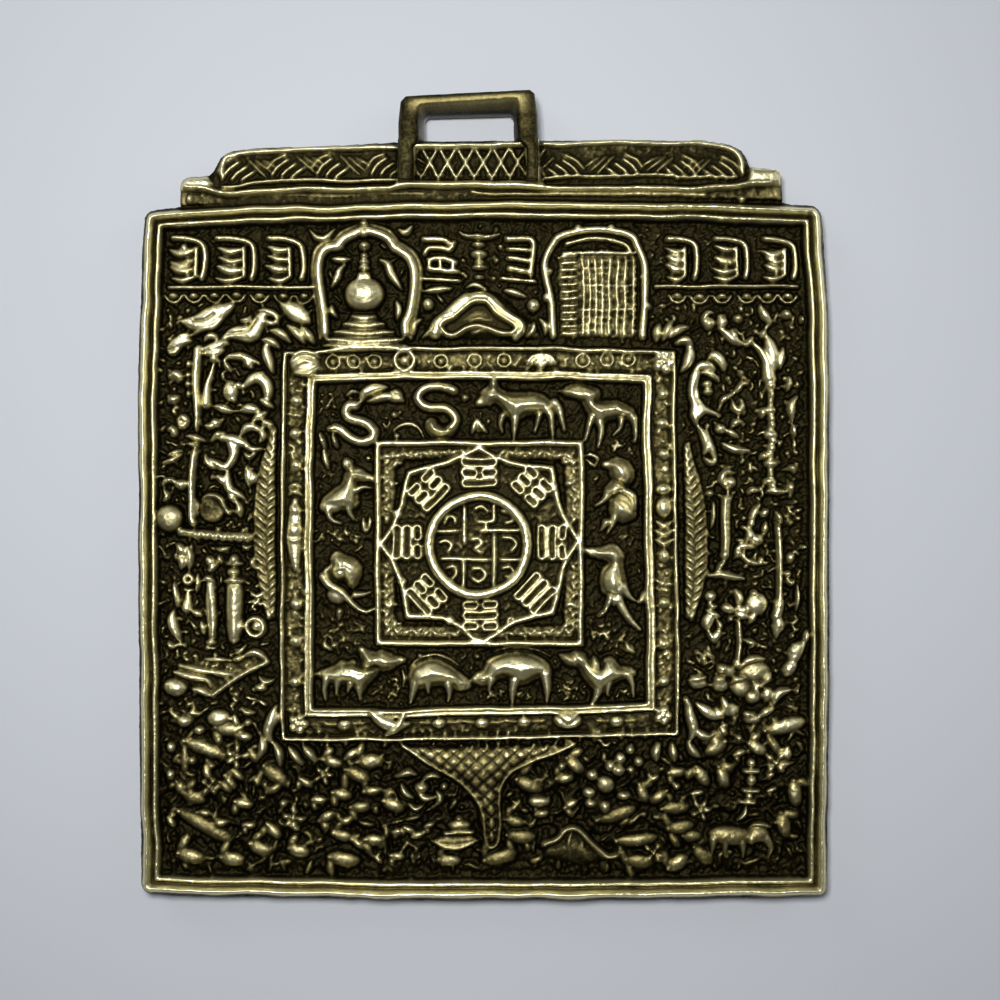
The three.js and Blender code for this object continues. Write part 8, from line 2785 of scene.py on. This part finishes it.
    def right_plants(self, relief: Relief) -> None:
        """Flowers, leaves, ducks and small treasures at the right.

        Args:
            relief: the face.
        """
        relief.element("ground_plate")
        for u, v, a, b in (
                (5.5, -25.0, 1.15, 0.66), (7.8, -21.5, 0.42, 0.42), (25.4, -18.7, 0.36, 0.36),
                (19.2, -23.5, 0.45, 0.45)):
            relief.dome(u, v, a, b, 1.0)
        for path, width in (
                ([(3.2, -22.8), (4.5, -23.2), (5.9, -24.0)], 0.8),
                ([(5.1, -26.4), (6.5, -26.1)], 0.5), ([(7.1, -22.8), (9.0, -22.7)], 0.5),
                ([(8.3, -20.7), (9.0, -21.5), (9.9, -22.3)], 0.72),
                ([(8.0, -25.7), (8.7, -25.3), (9.4, -25.0)], 0.6),
                ([(11.2, -27.0), (12.3, -27.3), (13.3, -27.5), (14.2, -26.6), (15.1, -25.7)],
                 0.66), ([(2.0, -26.9), (3.0, -27.2), (4.1, -27.2)], 0.5),
                ([(2.2, -28.5), (5.1, -28.6)], 0.5),
                ([(0.0, -31.0), (1.6, -30.8), (3.2, -30.2)], 0.5),
                ([(13.2, -29.1), (14.2, -28.7), (16.0, -29.1), (17.3, -28.8)], 0.72),
                ([(15.5, -23.3), (15.9, -24.3), (16.3, -25.1)], 0.5),
                ([(18.3, -23.9), (17.6, -24.7), (16.7, -25.2)], 0.55),
                ([(16.4, -22.9), (17.4, -22.5)], 0.6),
                ([(28.0, -18.0), (29.1, -17.7), (30.5, -17.9), (32.0, -17.2)], 0.6),
                ([(24.9, -20.4), (26.1, -20.0)], 0.5),
                ([(26.4, -19.3), (27.4, -19.6), (28.3, -20.2)], 0.6),
                ([(30.3, -19.7), (30.3, -21.1)], 0.6), ([(28.3, -24.0), (29.3, -23.7)], 0.45),
                ([(28.4, -22.5), (29.1, -22.3)], 0.45), ([(20.7, -24.3), (21.9, -24.1)], 0.55),
                ([(18.2, -22.2), (19.0, -22.0), (20.1, -22.0)], 0.5),
                ([(17.6, -25.9), (19.0, -25.9), (20.6, -25.6)], 0.6),
                ([(18.3, -27.9), (19.2, -27.9), (20.1, -27.5), (21.1, -27.3)], 0.6),
                ([(19.7, -28.5), (21.9, -28.5)], 0.5),
                ([(18.2, -31.8), (19.1, -31.2), (20.3, -30.5)], 0.6),
                ([(21.2, -21.6), (22.2, -22.4), (22.2, -23.5)], 0.6),
                ([(23.4, -21.6), (24.2, -22.6), (24.2, -23.6)], 0.6),
                ([(30.9, -23.0), (30.6, -24.4), (31.2, -25.6)], 0.6),
                ([(29.6, -26.2), (30.4, -27.4), (30.2, -28.6)], 0.6),
                ([(14.2, -31.0), (15.6, -31.4), (16.9, -31.1)], 0.55),
                ([(3.4, -25.3), (2.6, -26.0)], 0.5),
                ([(22.8, -18.3), (23.8, -19.0), (23.6, -20.1)], 0.6),
                ([(23.6, -17.6), (24.2, -18.5)], 0.6),
                ([(24.1, -19.0), (23.4, -19.8), (22.2, -20.3)], 0.6),
                ([(20.9, -29.6), (21.6, -30.6), (22.8, -31.2)], 0.55)):
            self.sprig(relief, path, width)
        relief.stroke([(26.0, -22.0), (27.3, -22.0)], 0.5, 1.1)
        relief.dome(26.65, -21.2, 0.5, 0.5, 1.1)
        relief.dome(26.65, -22.9, 0.55, 0.6, 1.1)
        relief.stroke([(25.9, -23.85), (27.4, -23.9)], 0.45, 1.1)
        relief.stroke([(25.6, -25.0), (27.0, -25.1)], 0.45, 1.05)
        relief.dome(26.5, -24.45, 0.45, 0.4, 1.05)
        relief.leaf([(26.3, -25.4), (26.0, -26.3), (25.1, -27.0)], 0.5, 1.0)

    def named_forms(self, relief: Relief) -> None:
        """Lotus, bowl, flower, mountain and elephant.

        Args:
            relief: the face.
        """
        relief.element("lotus_left")
        for path, width in (
                ([(-8.7, -22.6), (-7.5, -22.1), (-6.6, -22.4)], 0.62),
                ([(-8.2, -23.3), (-7.9, -24.2), (-7.0, -24.7)], 0.66),
                ([(-6.8, -23.9), (-6.0, -24.6), (-4.8, -24.6)], 0.66),
                ([(-4.8, -23.9), (-4.3, -24.7), (-4.9, -25.4)], 0.6),
                ([(-5.9, -26.0), (-4.9, -25.4)], 0.5),
                ([(-6.2, -22.9), (-5.2, -22.4), (-4.3, -22.7)], 0.6),
                ([(-7.6, -25.2), (-6.8, -25.7), (-6.0, -25.3)], 0.55),
                ([(-8.9, -24.2), (-8.6, -25.0)], 0.5)):
            relief.leaf(path, width, self.tall)
        relief.dome(-6.3, -23.6, 0.75, 0.6, self.tall + 0.1)
        relief.bead(-4.0, -23.5, 0.4, self.tall)
        relief.element("offering_bowl")
        relief.plate(
            [(-5.4, -28.9), (-4.4, -29.5), (-3.0, -29.8), (-1.6, -29.5), (-0.4, -28.8),
             (-1.2, -28.3), (-3.9, -28.3)], self.tall * 0.7, 0.35, 0.2)
        relief.leaf(
            [(-5.4, -29.0), (-4.2, -29.5), (-3.0, -29.65), (-1.7, -29.4), (-0.4, -28.9)], 0.55,
            self.tall)
        relief.stroke([(-4.0, -28.2), (-1.1, -28.1)], 0.45, self.tall)
        relief.dome(-2.5, -27.45, 1.3, 0.72, self.tall)
        relief.dome(-2.5, -26.7, 0.45, 0.42, self.tall)
        relief.element("flower_right")
        for u, v, a, b in (
                (12.1, -23.4, 1.0, 0.95), (10.5, -24.2, 0.75, 0.6), (12.0, -25.6, 0.62, 0.72),
                (13.4, -22.0, 0.7, 0.6), (13.9, -24.5, 0.75, 0.5), (10.8, -22.5, 0.66, 0.6),
                (12.6, -21.6, 0.55, 0.62), (10.6, -25.3, 0.6, 0.5)):
            relief.dome(u, v, a, b, self.tall)
        relief.element("ground_plate")
        for u, v, r in (
                (13.6, -20.9, 0.62), (14.6, -20.0, 0.5), (15.4, -21.1, 0.52), (14.6, -21.9, 0.42)):
            relief.bead(u, v, r, 1.0)
        relief.element("mountain")
        relief.plate(
            [(5.6, -30.6), (6.0, -29.3), (7.3, -28.6), (8.0, -27.8), (8.9, -27.4), (9.7, -27.9),
             (10.9, -29.1), (12.4, -30.4), (13.2, -30.9), (9.5, -31.4)], 0.55, 0.7, 0.4)
        relief.stroke(
            [(5.9, -29.3), (7.3, -28.7), (8.0, -27.9), (8.8, -27.6), (9.6, -28.0), (10.8, -29.2),
             (12.3, -30.5), (13.2, -30.5)], 0.55, self.tall)
        for path, width, height in (
                ([(8.8, -27.8), (8.4, -29.2), (8.7, -30.6)], 0.5, self.tall * 0.9),
                ([(9.8, -28.6), (9.9, -29.8), (10.6, -30.9)], 0.45, self.tall * 0.85),
                ([(7.4, -29.0), (6.9, -30.2)], 0.45, self.tall * 0.85)):
            relief.leaf(path, width, height)
        relief.element("elephant")
        relief.dome(24.6, -28.4, 2.4, 1.1, self.tall + 0.1)
        relief.dome(27.3, -28.2, 1.2, 0.95, self.tall + 0.15)
        relief.leaf(
            [(26.3, -27.6), (27.0, -27.2), (28.0, -27.3), (28.8, -27.6)], 0.5, self.tall + 0.1)
        for path in (
                [(22.8, -28.8), (22.7, -29.8), (22.7, -30.6)],
                [(24.0, -29.1), (24.0, -30.0), (24.0, -30.7)],
                [(25.7, -29.0), (25.8, -29.9), (25.8, -30.7)],
                [(28.1, -28.6), (28.6, -29.6), (28.3, -30.6)]):
            relief.tail(path, 0.9, self.tall)
        relief.dome(26.6, -28.6, 0.6, 0.75, self.tall + 0.2)


@dataclass(frozen=True)
class BrassFinish:
    """Old cast brass: near-black patina in the hollows and rubbed metal on the ridges, with the
    painted shade and painted highlight that its marks carry.
    """

    name: str
    patina_and_painted_shade: Tint = (0.014, 0.0115, 0.0045, 1.0)
    body: Tint = (0.200, 0.168, 0.066, 1.0)
    rubbed: Tint = (0.76, 0.708, 0.425, 1.0)
    stops: tuple[float, float, float] = (0.10, 0.45, 0.88)
    fade: Point = (0.30, 0.85)
    rough_from: Point = (0.2, 0.95)
    rough_to: Point = (0.53, 0.39)
    blotch: tuple[float, float, float] = (420.0, 4.0, 0.24)
    speck: tuple[float, float, float] = (3600.0, 2.0, 0.22)
    pits: Point = (5200.0, 3.0)
    grain: float = 0.00005
    grain_strength: float = 0.8

    def material(self) -> bpy.types.Material:
        """Builds the material's nodes.

        Returns:
            The material.
        """
        material = bpy.data.materials.new(self.name)
        material.use_nodes = True
        tree = material.node_tree
        shader = tree.nodes["Principled BSDF"]
        shader.inputs["Metallic"].default_value = 1.0
        place = tree.nodes.new("ShaderNodeTexCoord")
        # The marks hold patina and wear, and painted shade and painted highlight as well.
        wear_and_painted_light = self.mark(tree, "wear_and_painted_light")
        patina_and_painted_shade = self.mark(tree, "patina_and_painted_shade")
        worn = wear_and_painted_light
        for scale, detail, share in (self.blotch, self.speck):
            worn = self.sum_of(tree, worn, self.noise(tree, place, scale, detail), share)
        colour = tree.nodes.new("ShaderNodeValToRGB")
        ramp = colour.color_ramp.elements
        ramp[0].position, ramp[1].position = self.stops[0], self.stops[2]
        ramp[0].color, ramp[1].color = self.patina_and_painted_shade, self.rubbed
        ramp.new(self.stops[1]).color = self.body
        tree.links.new(worn, colour.inputs["Fac"])
        # Darkens towards the patina colour by the patina mark, painted shade included.
        dark = tree.nodes.new("ShaderNodeMix")
        dark.data_type = "RGBA"
        dark.inputs["B"].default_value = self.patina_and_painted_shade
        tree.links.new(self.spread(tree, patina_and_painted_shade, self.fade), dark.inputs["Factor"])
        tree.links.new(colour.outputs["Color"], dark.inputs["A"])
        tree.links.new(dark.outputs["Result"], shader.inputs["Base Color"])
        rough = self.spread(tree, worn, self.rough_from, self.rough_to)
        tree.links.new(rough, shader.inputs["Roughness"])
        bump = tree.nodes.new("ShaderNodeBump")
        bump.inputs["Strength"].default_value = self.grain_strength
        bump.inputs["Distance"].default_value = self.grain
        tree.links.new(self.noise(tree, place, *self.pits), bump.inputs["Height"])
        tree.links.new(bump.outputs["Normal"], shader.inputs["Normal"])
        return material

    @staticmethod
    def spread(tree: bpy.types.NodeTree, value: bpy.types.NodeSocket, old: Point,
               new: Point = (0.0, 1.0)) -> bpy.types.NodeSocket:
        """Maps one range of a value onto another.

        Args:
            tree: the material's nodes.
            value: the value.
            old: the range that it comes in.
            new: the range that it goes to.

        Returns:
            The new value.
        """
        node = tree.nodes.new("ShaderNodeMapRange")
        for name, number in zip(("From Min", "From Max", "To Min", "To Max"), (*old, *new)):
            node.inputs[name].default_value = number
        tree.links.new(value, node.inputs["Value"])
        return node.outputs["Result"]

    @staticmethod
    def mark(tree: bpy.types.NodeTree, name: str) -> bpy.types.NodeSocket:
        """Reads one of the carving's marks.

        Args:
            tree: the material's nodes.
            name: the mark's name.

        Returns:
            The mark's value.
        """
        node = tree.nodes.new("ShaderNodeAttribute")
        node.attribute_name = name
        return node.outputs["Fac"]

    @staticmethod
    def noise(
            tree: bpy.types.NodeTree, place: bpy.types.Node, scale: float,
            detail: float) -> bpy.types.NodeSocket:
        """A noise fixed to the metal.

        Args:
            tree: the material's nodes.
            place: where places on the metal are read.
            scale: how fine the noise is.
            detail: how many finer noises it adds.

        Returns:
            The noise's value.
        """
        node = tree.nodes.new("ShaderNodeTexNoise")
        node.inputs["Scale"].default_value = scale
        node.inputs["Detail"].default_value = detail
        tree.links.new(place.outputs["Object"], node.inputs["Vector"])
        return node.outputs["Fac"]

    @staticmethod
    def sum_of(tree: bpy.types.NodeTree, first: bpy.types.NodeSocket, second: bpy.types.NodeSocket,
               share: float) -> bpy.types.NodeSocket:
        """Adds a share of one value, centred on nought, to another.

        Args:
            tree: the material's nodes.
            first: the value that is added to.
            second: the value added.
            share: how much of it is added.

        Returns:
            The sum.
        """
        scaled = tree.nodes.new("ShaderNodeMath")
        scaled.operation = "MULTIPLY_ADD"
        scaled.inputs[1].default_value = share
        scaled.inputs[2].default_value = -share / 2
        tree.links.new(second, scaled.inputs[0])
        total = tree.nodes.new("ShaderNodeMath")
        total.operation = "ADD"
        tree.links.new(first, total.inputs[0])
        tree.links.new(scaled.outputs[0], total.inputs[1])
        return total.outputs[0]


class Slot(Enum):
    """The record's three finishes."""

    GROUND = "brass_ground"
    RELIEF = "brass_relief"
    HIGH = "brass_high"


HIGH_ELEMENTS = (
    "rim_frame", "lower_ledge", "hanging_loop", "shell_frame", "tortoise_head", "inner_border",
    "medallion", "stupa", "banner_staff", "mirror_disc", "jewel_sphere", "tall_vase",
    "plume_column", "staff_right", "spear", "jar", "lotus_left", "flower_right", "offering_bowl",
    "elephant")


@dataclass
class StrapArch:
    """The open bridge of the strap loop: two legs and a top bar that slopes inside."""

    left: float = -8.55
    right: float = 5.4
    foot: float = 36.7
    bearing: float = 43.55
    front: float = 1.85
    back: float = -1.95
    rail_top: float = 40.85
    hole: tuple[float, float] = (-6.0, 3.0)
    strap: tuple[float, float] = (-6.95, 4.25)
    strap_back: float = -0.3
    narrowing: Point = (40.0, 0.7)
    step: float = 0.2
    left_lean: Point = (41.5, 0.07)
    right_lean: Point = (42.5, 0.05)
    crown: Point = (45.15, 0.5)
    bar_level: float = 44.3
    inner_slope: Point = (0.45, 0.43)
    unevenness: float = 0.03
    grain: float = 0.006
    bar_wear_and_painted_highlight: Point = (0.55, 0.5)
    leg_wear: Point = (0.12, 0.1)
    side_wear: float = 0.06
    cap_wear: float = 0.2
    outer_edge: float = 0.85
    front_face: float = 0.87
    section: Path = (
        (0.0, 0.45), (0.0, 0.88), (0.07, 0.965), (0.2, 0.99), (0.5, 1.0), (0.75, 0.985),
        (0.9, 0.94), (0.98, 0.84), (1.0, 0.6), (1.0, 0.1), (0.9, 0.0), (0.1, 0.0), (0.0, 0.1))

    def narrowed(self, v: float) -> float:
        """How far a strap has narrowed to its leg at a level, from 0 to 1."""
        return min(max((v - self.narrowing[0]) / self.narrowing[1], 0), 1)

    def stations(self) -> list[tuple[Point, Point, Point, float]]:
        """The inner edge at the back and the front, the outer edge and the back, foot to foot.

        Returns:
            For each station: inner edge at the back, inner edge at the front, outer
            edge, and how far back it reaches.
        """
        (hole_left, hole_right), (strap_left, strap_right) = self.hole, self.strap
        rows = []
        for v in np.arange(self.foot, self.bearing - 0.3, self.step):
            above = v > self.rail_top
            near = strap_left + (hole_left - 0.45 - strap_left) * self.narrowed(v)
            rows.append(((hole_left if above else near, v), (near, v),
                         (self.left + self.left_lean[1] * max(v - self.left_lean[0], 0), v),
                         self.back if above else self.strap_back))
        rows.append(((hole_left + 0.12, self.bearing - 0.2), (hole_left - 0.4, self.bearing + 0.3),
                     (self.left + 0.25, 44.5), self.back))
        rows.append(((hole_left + 0.4, self.bearing), (hole_left - 0.05, self.bearing + 0.5),
                     (self.left + 0.75, 45.05), self.back))
        for share in np.linspace(0.05, 0.95, 24):
            u = hole_left + (hole_right - hole_left) * share
            top = self.crown[0] + self.crown[1] * share
            rows.append(((u, self.bearing + 0.25 * share), (u, self.bearing + 0.5 + 0.6 * share),
                         (u + 1.2 * (share - 0.5), top), self.back))
        rows.append(((hole_right - 0.4, self.bearing + 0.2),
                     (hole_right + 0.1, self.bearing + 1.1), (self.right - 0.75, 45.7), self.back))
        rows.append(((hole_right - 0.1, self.bearing - 0.1),
                     (hole_right + 0.25, self.bearing + 0.8), (self.right - 0.3, 45.35),
                     self.back))
        for v in np.arange(self.bearing - 0.4, self.foot - 0.1, -self.step):
            above = v > self.rail_top
            near = strap_right + (hole_right + 0.3 - strap_right) * self.narrowed(v)
            rows.append(((hole_right if above else near, v), (near, v),
                         (self.right - self.right_lean[1] * max(v - self.right_lean[0], 0), v),
                         self.back if above else self.strap_back))
        return rows

    def build(self, skin: CastSkin) -> bpy.types.Object:
        """Sweeps the section along the arch and closes its two feet.

        Args:
            skin: the tool that makes the pieces.

        Returns:
            The arch.
        """
        rng = np.random.default_rng(GRAIN_SEED + 3)
        stations = self.stations()
        rings, rubbed = [], []
        for back_edge, front_edge, outer, back in stations:
            level = outer[1] > self.bar_level
            for across, deep in self.section:
                slope = min(max((deep - self.inner_slope[0]) / self.inner_slope[1], 0), 1)
                inner = [a + (b - a) * slope for a, b in zip(back_edge, front_edge)]
                u, v = (a + (b - a) * across for a, b in zip(inner, outer))
                rings.append((u, v, back + (self.front - back) * deep))
                # Painted highlight: the bar's front is painted brighter towards its inner edge, on
                # top of its wear; the legs keep plain wear.
                if level:
                    shine = self.bar_wear_and_painted_highlight[0] - self.bar_wear_and_painted_highlight[1] * across
                else:
                    shine = self.leg_wear[0] + self.leg_wear[1] * (across > self.outer_edge)
                rubbed.append(shine if deep > self.front_face else self.side_wear)
        count = len(self.section)
        points = np.array(rings)
        wave = self.unevenness * np.sin(points[:, [1, 2, 0]] * 2.3 + 1.1)
        points += wave + rng.normal(0, self.grain, points.shape)
        faces = []
        for k in range(len(stations) - 1):
            for j in range(count):
                a, b = k * count + j, k * count + (j + 1) % count
                faces.append((a, b, b + count, a + count))
        caps = []
        middle = len(points)
        for start, turn in ((0, 1), (len(stations) - 1, -1)):
            centre = points[start * count:(start + 1) * count].mean(0)
            points = np.vstack([points, centre])
            for j in range(count):
                trio = (start * count + j, middle, start * count + (j + 1) % count)
                caps.append(trio if turn > 0 else trio[::-1])
            middle += 1
        wear_and_painted_light = np.array([*rubbed, self.cap_wear, self.cap_wear])
        return skin.shape(
            "hanging_loop_arch", points, np.array(faces), {"wear_and_painted_light": wear_and_painted_light, "patina_and_painted_shade": 0.5 - wear_and_painted_light},
            None, np.array(caps))


@dataclass(frozen=True)
class StudioLight:
    """One soft lamp of the studio, placed in mm round the face."""

    name: str
    place: tuple[float, float, float]
    width: float
    height: float
    power: float


@dataclass
class Studio:
    """Camera, sheet and lamps."""

    lens: float = 51.1
    distance: float = 142.0
    centre_u: float = 1.6
    centre_v: float = 5.0
    sheet_gap: float = 2.3
    sheet_size: float = 900.0
    sheet_tint: Tint = (0.49, 0.513, 0.548, 1.0)
    sheet_roughness: float = 0.9
    room_tint: Tint = (0.84, 0.86, 0.90, 1.0)
    room_strength: float = 0.09
    sensor: float = 36.0
    clip: Point = (0.005, 10.0)
    lamps: tuple[StudioLight, ...] = (
        StudioLight("flash", (-14.0, 34.0, 160.0), 40.0, 40.0, 0.30),
        StudioLight("window", (-190.0, 210.0, 120.0), 160.0, 160.0, 0.16),
        StudioLight("fill", (220.0, 120.0, 120.0), 160.0, 160.0, 0.10),
        StudioLight("behind", (120.0, 120.0, -260.0), 320.0, 320.0, 2.2),
    )

    def camera(self) -> bpy.types.Object:
        """Stands the camera straight in front of the plaque, as in the photograph.

        Returns:
            The camera.
        """
        data = bpy.data.cameras.new("camera")
        data.lens = self.lens
        data.sensor_width = self.sensor
        data.clip_start, data.clip_end = self.clip
        camera = bpy.data.objects.new("camera", data)
        camera.location = in_frame(self.centre_u, self.centre_v, self.distance)
        camera.rotation_euler = (math.radians(90.0), 0.0, 0.0)
        bpy.context.scene.collection.objects.link(camera)
        bpy.context.scene.camera = camera
        return camera

    def sheet(self) -> bpy.types.Object:
        """Lays the pale sheet just behind the plaque.

        Returns:
            The sheet.
        """
        half = self.sheet_size / 2.0
        sides = ((-1, -1), (1, -1), (1, 1), (-1, 1))
        corners = [in_frame(a * half, b * half, -self.sheet_gap) for a, b in sides]
        mesh = bpy.data.meshes.new("sheet")
        mesh.from_pydata(corners, [], [(0, 1, 2, 3)])
        sheet = bpy.data.objects.new("sheet", mesh)
        bpy.context.scene.collection.objects.link(sheet)
        material = bpy.data.materials.new("sheet_paper")
        material.use_nodes = True
        shader = material.node_tree.nodes["Principled BSDF"]
        shader.inputs["Base Color"].default_value = self.sheet_tint
        shader.inputs["Roughness"].default_value = self.sheet_roughness
        self.open_behind(material.node_tree, shader)
        mesh.materials.append(material)
        sheet.visible_shadow = False
        sheet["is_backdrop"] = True
        return sheet

    @staticmethod
    def open_behind(tree: bpy.types.NodeTree, shader: bpy.types.Node) -> None:
        """Leaves the sheet one-sided, so that the plaque's back can be seen past it.

        Args:
            tree: the sheet's nodes.
            shader: what its front side shows.
        """
        side = tree.nodes.new("ShaderNodeNewGeometry")
        clear = tree.nodes.new("ShaderNodeBsdfTransparent")
        choice = tree.nodes.new("ShaderNodeMixShader")
        tree.links.new(side.outputs["Backfacing"], choice.inputs["Fac"])
        tree.links.new(shader.outputs["BSDF"], choice.inputs[1])
        tree.links.new(clear.outputs["BSDF"], choice.inputs[2])
        tree.links.new(choice.outputs["Shader"], tree.nodes["Material Output"].inputs["Surface"])

    def room(self) -> None:
        """Gives the room a soft even light."""
        world = bpy.data.worlds.new("room")
        world.use_nodes = True
        back = world.node_tree.nodes["Background"]
        back.inputs["Color"].default_value = self.room_tint
        back.inputs["Strength"].default_value = self.room_strength
        bpy.context.scene.world = world

    def light(self) -> None:
        """Sets up every lamp, each turned to the middle of the face."""
        aim = Vector(in_frame(0.0, 0.0, 0.0))
        for lamp in self.lamps:
            data = bpy.data.lights.new(lamp.name, "AREA")
            data.shape = "RECTANGLE"
            data.size = lamp.width * MM
            data.size_y = lamp.height * MM
            data.energy = lamp.power
            item = bpy.data.objects.new(lamp.name, data)
            item.location = in_frame(*lamp.place)
            item.rotation_mode = "QUATERNION"
            item.rotation_quaternion = (aim - item.location).to_track_quat("-Z", "Y")
            bpy.context.scene.collection.objects.link(item)

    def build(self) -> None:
        """Sets the stage."""
        self.camera()
        self.sheet()
        self.room()
        self.light()
        bpy.context.scene.view_settings.view_transform = "Standard"


def main() -> None:
    """Builds every piece in order."""
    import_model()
    Studio().build()
    outline = PlateOutline()
    relief = Relief(FACE_LOW, FACE_HIGH)
    for craft in (
            Head(), Rim(), ShellFrame(), Tortoise(), Centre(), Zodiac(), Niches(), OrnamentRows(),
            LeftField(), RightField(), LowerField()):
        craft.carve(relief)
        LOG.info("carved %s", type(craft).__name__)
    Casting().finish(relief)
    skin = CastSkin(relief, outline.whole())
    finishes = {slot: BrassFinish(slot.value).material() for slot in Slot}
    pieces = [("ground_plate", skin.ground()), ("hanging_loop", StrapArch().build(skin))]
    pieces += [(name, skin.element(name)) for name in relief.names[1:]]
    for name, piece in pieces:
        if piece is None:
            LOG.warning("nothing shows of %s", name)
            continue
        high = name in HIGH_ELEMENTS or name.startswith(("animal_", "paw_"))
        slot = Slot.GROUND if name == "ground_plate" else Slot.HIGH if high else Slot.RELIEF
        piece.data.materials.append(finishes[slot])
        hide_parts(name)
        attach(piece, "root")
        LOG.info("cast %s with %d faces", piece.name, len(piece.data.polygons))
    low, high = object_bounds()


if __name__ == "__main__":
    logging.basicConfig(level=logging.INFO, format="%(message)s")
    main()
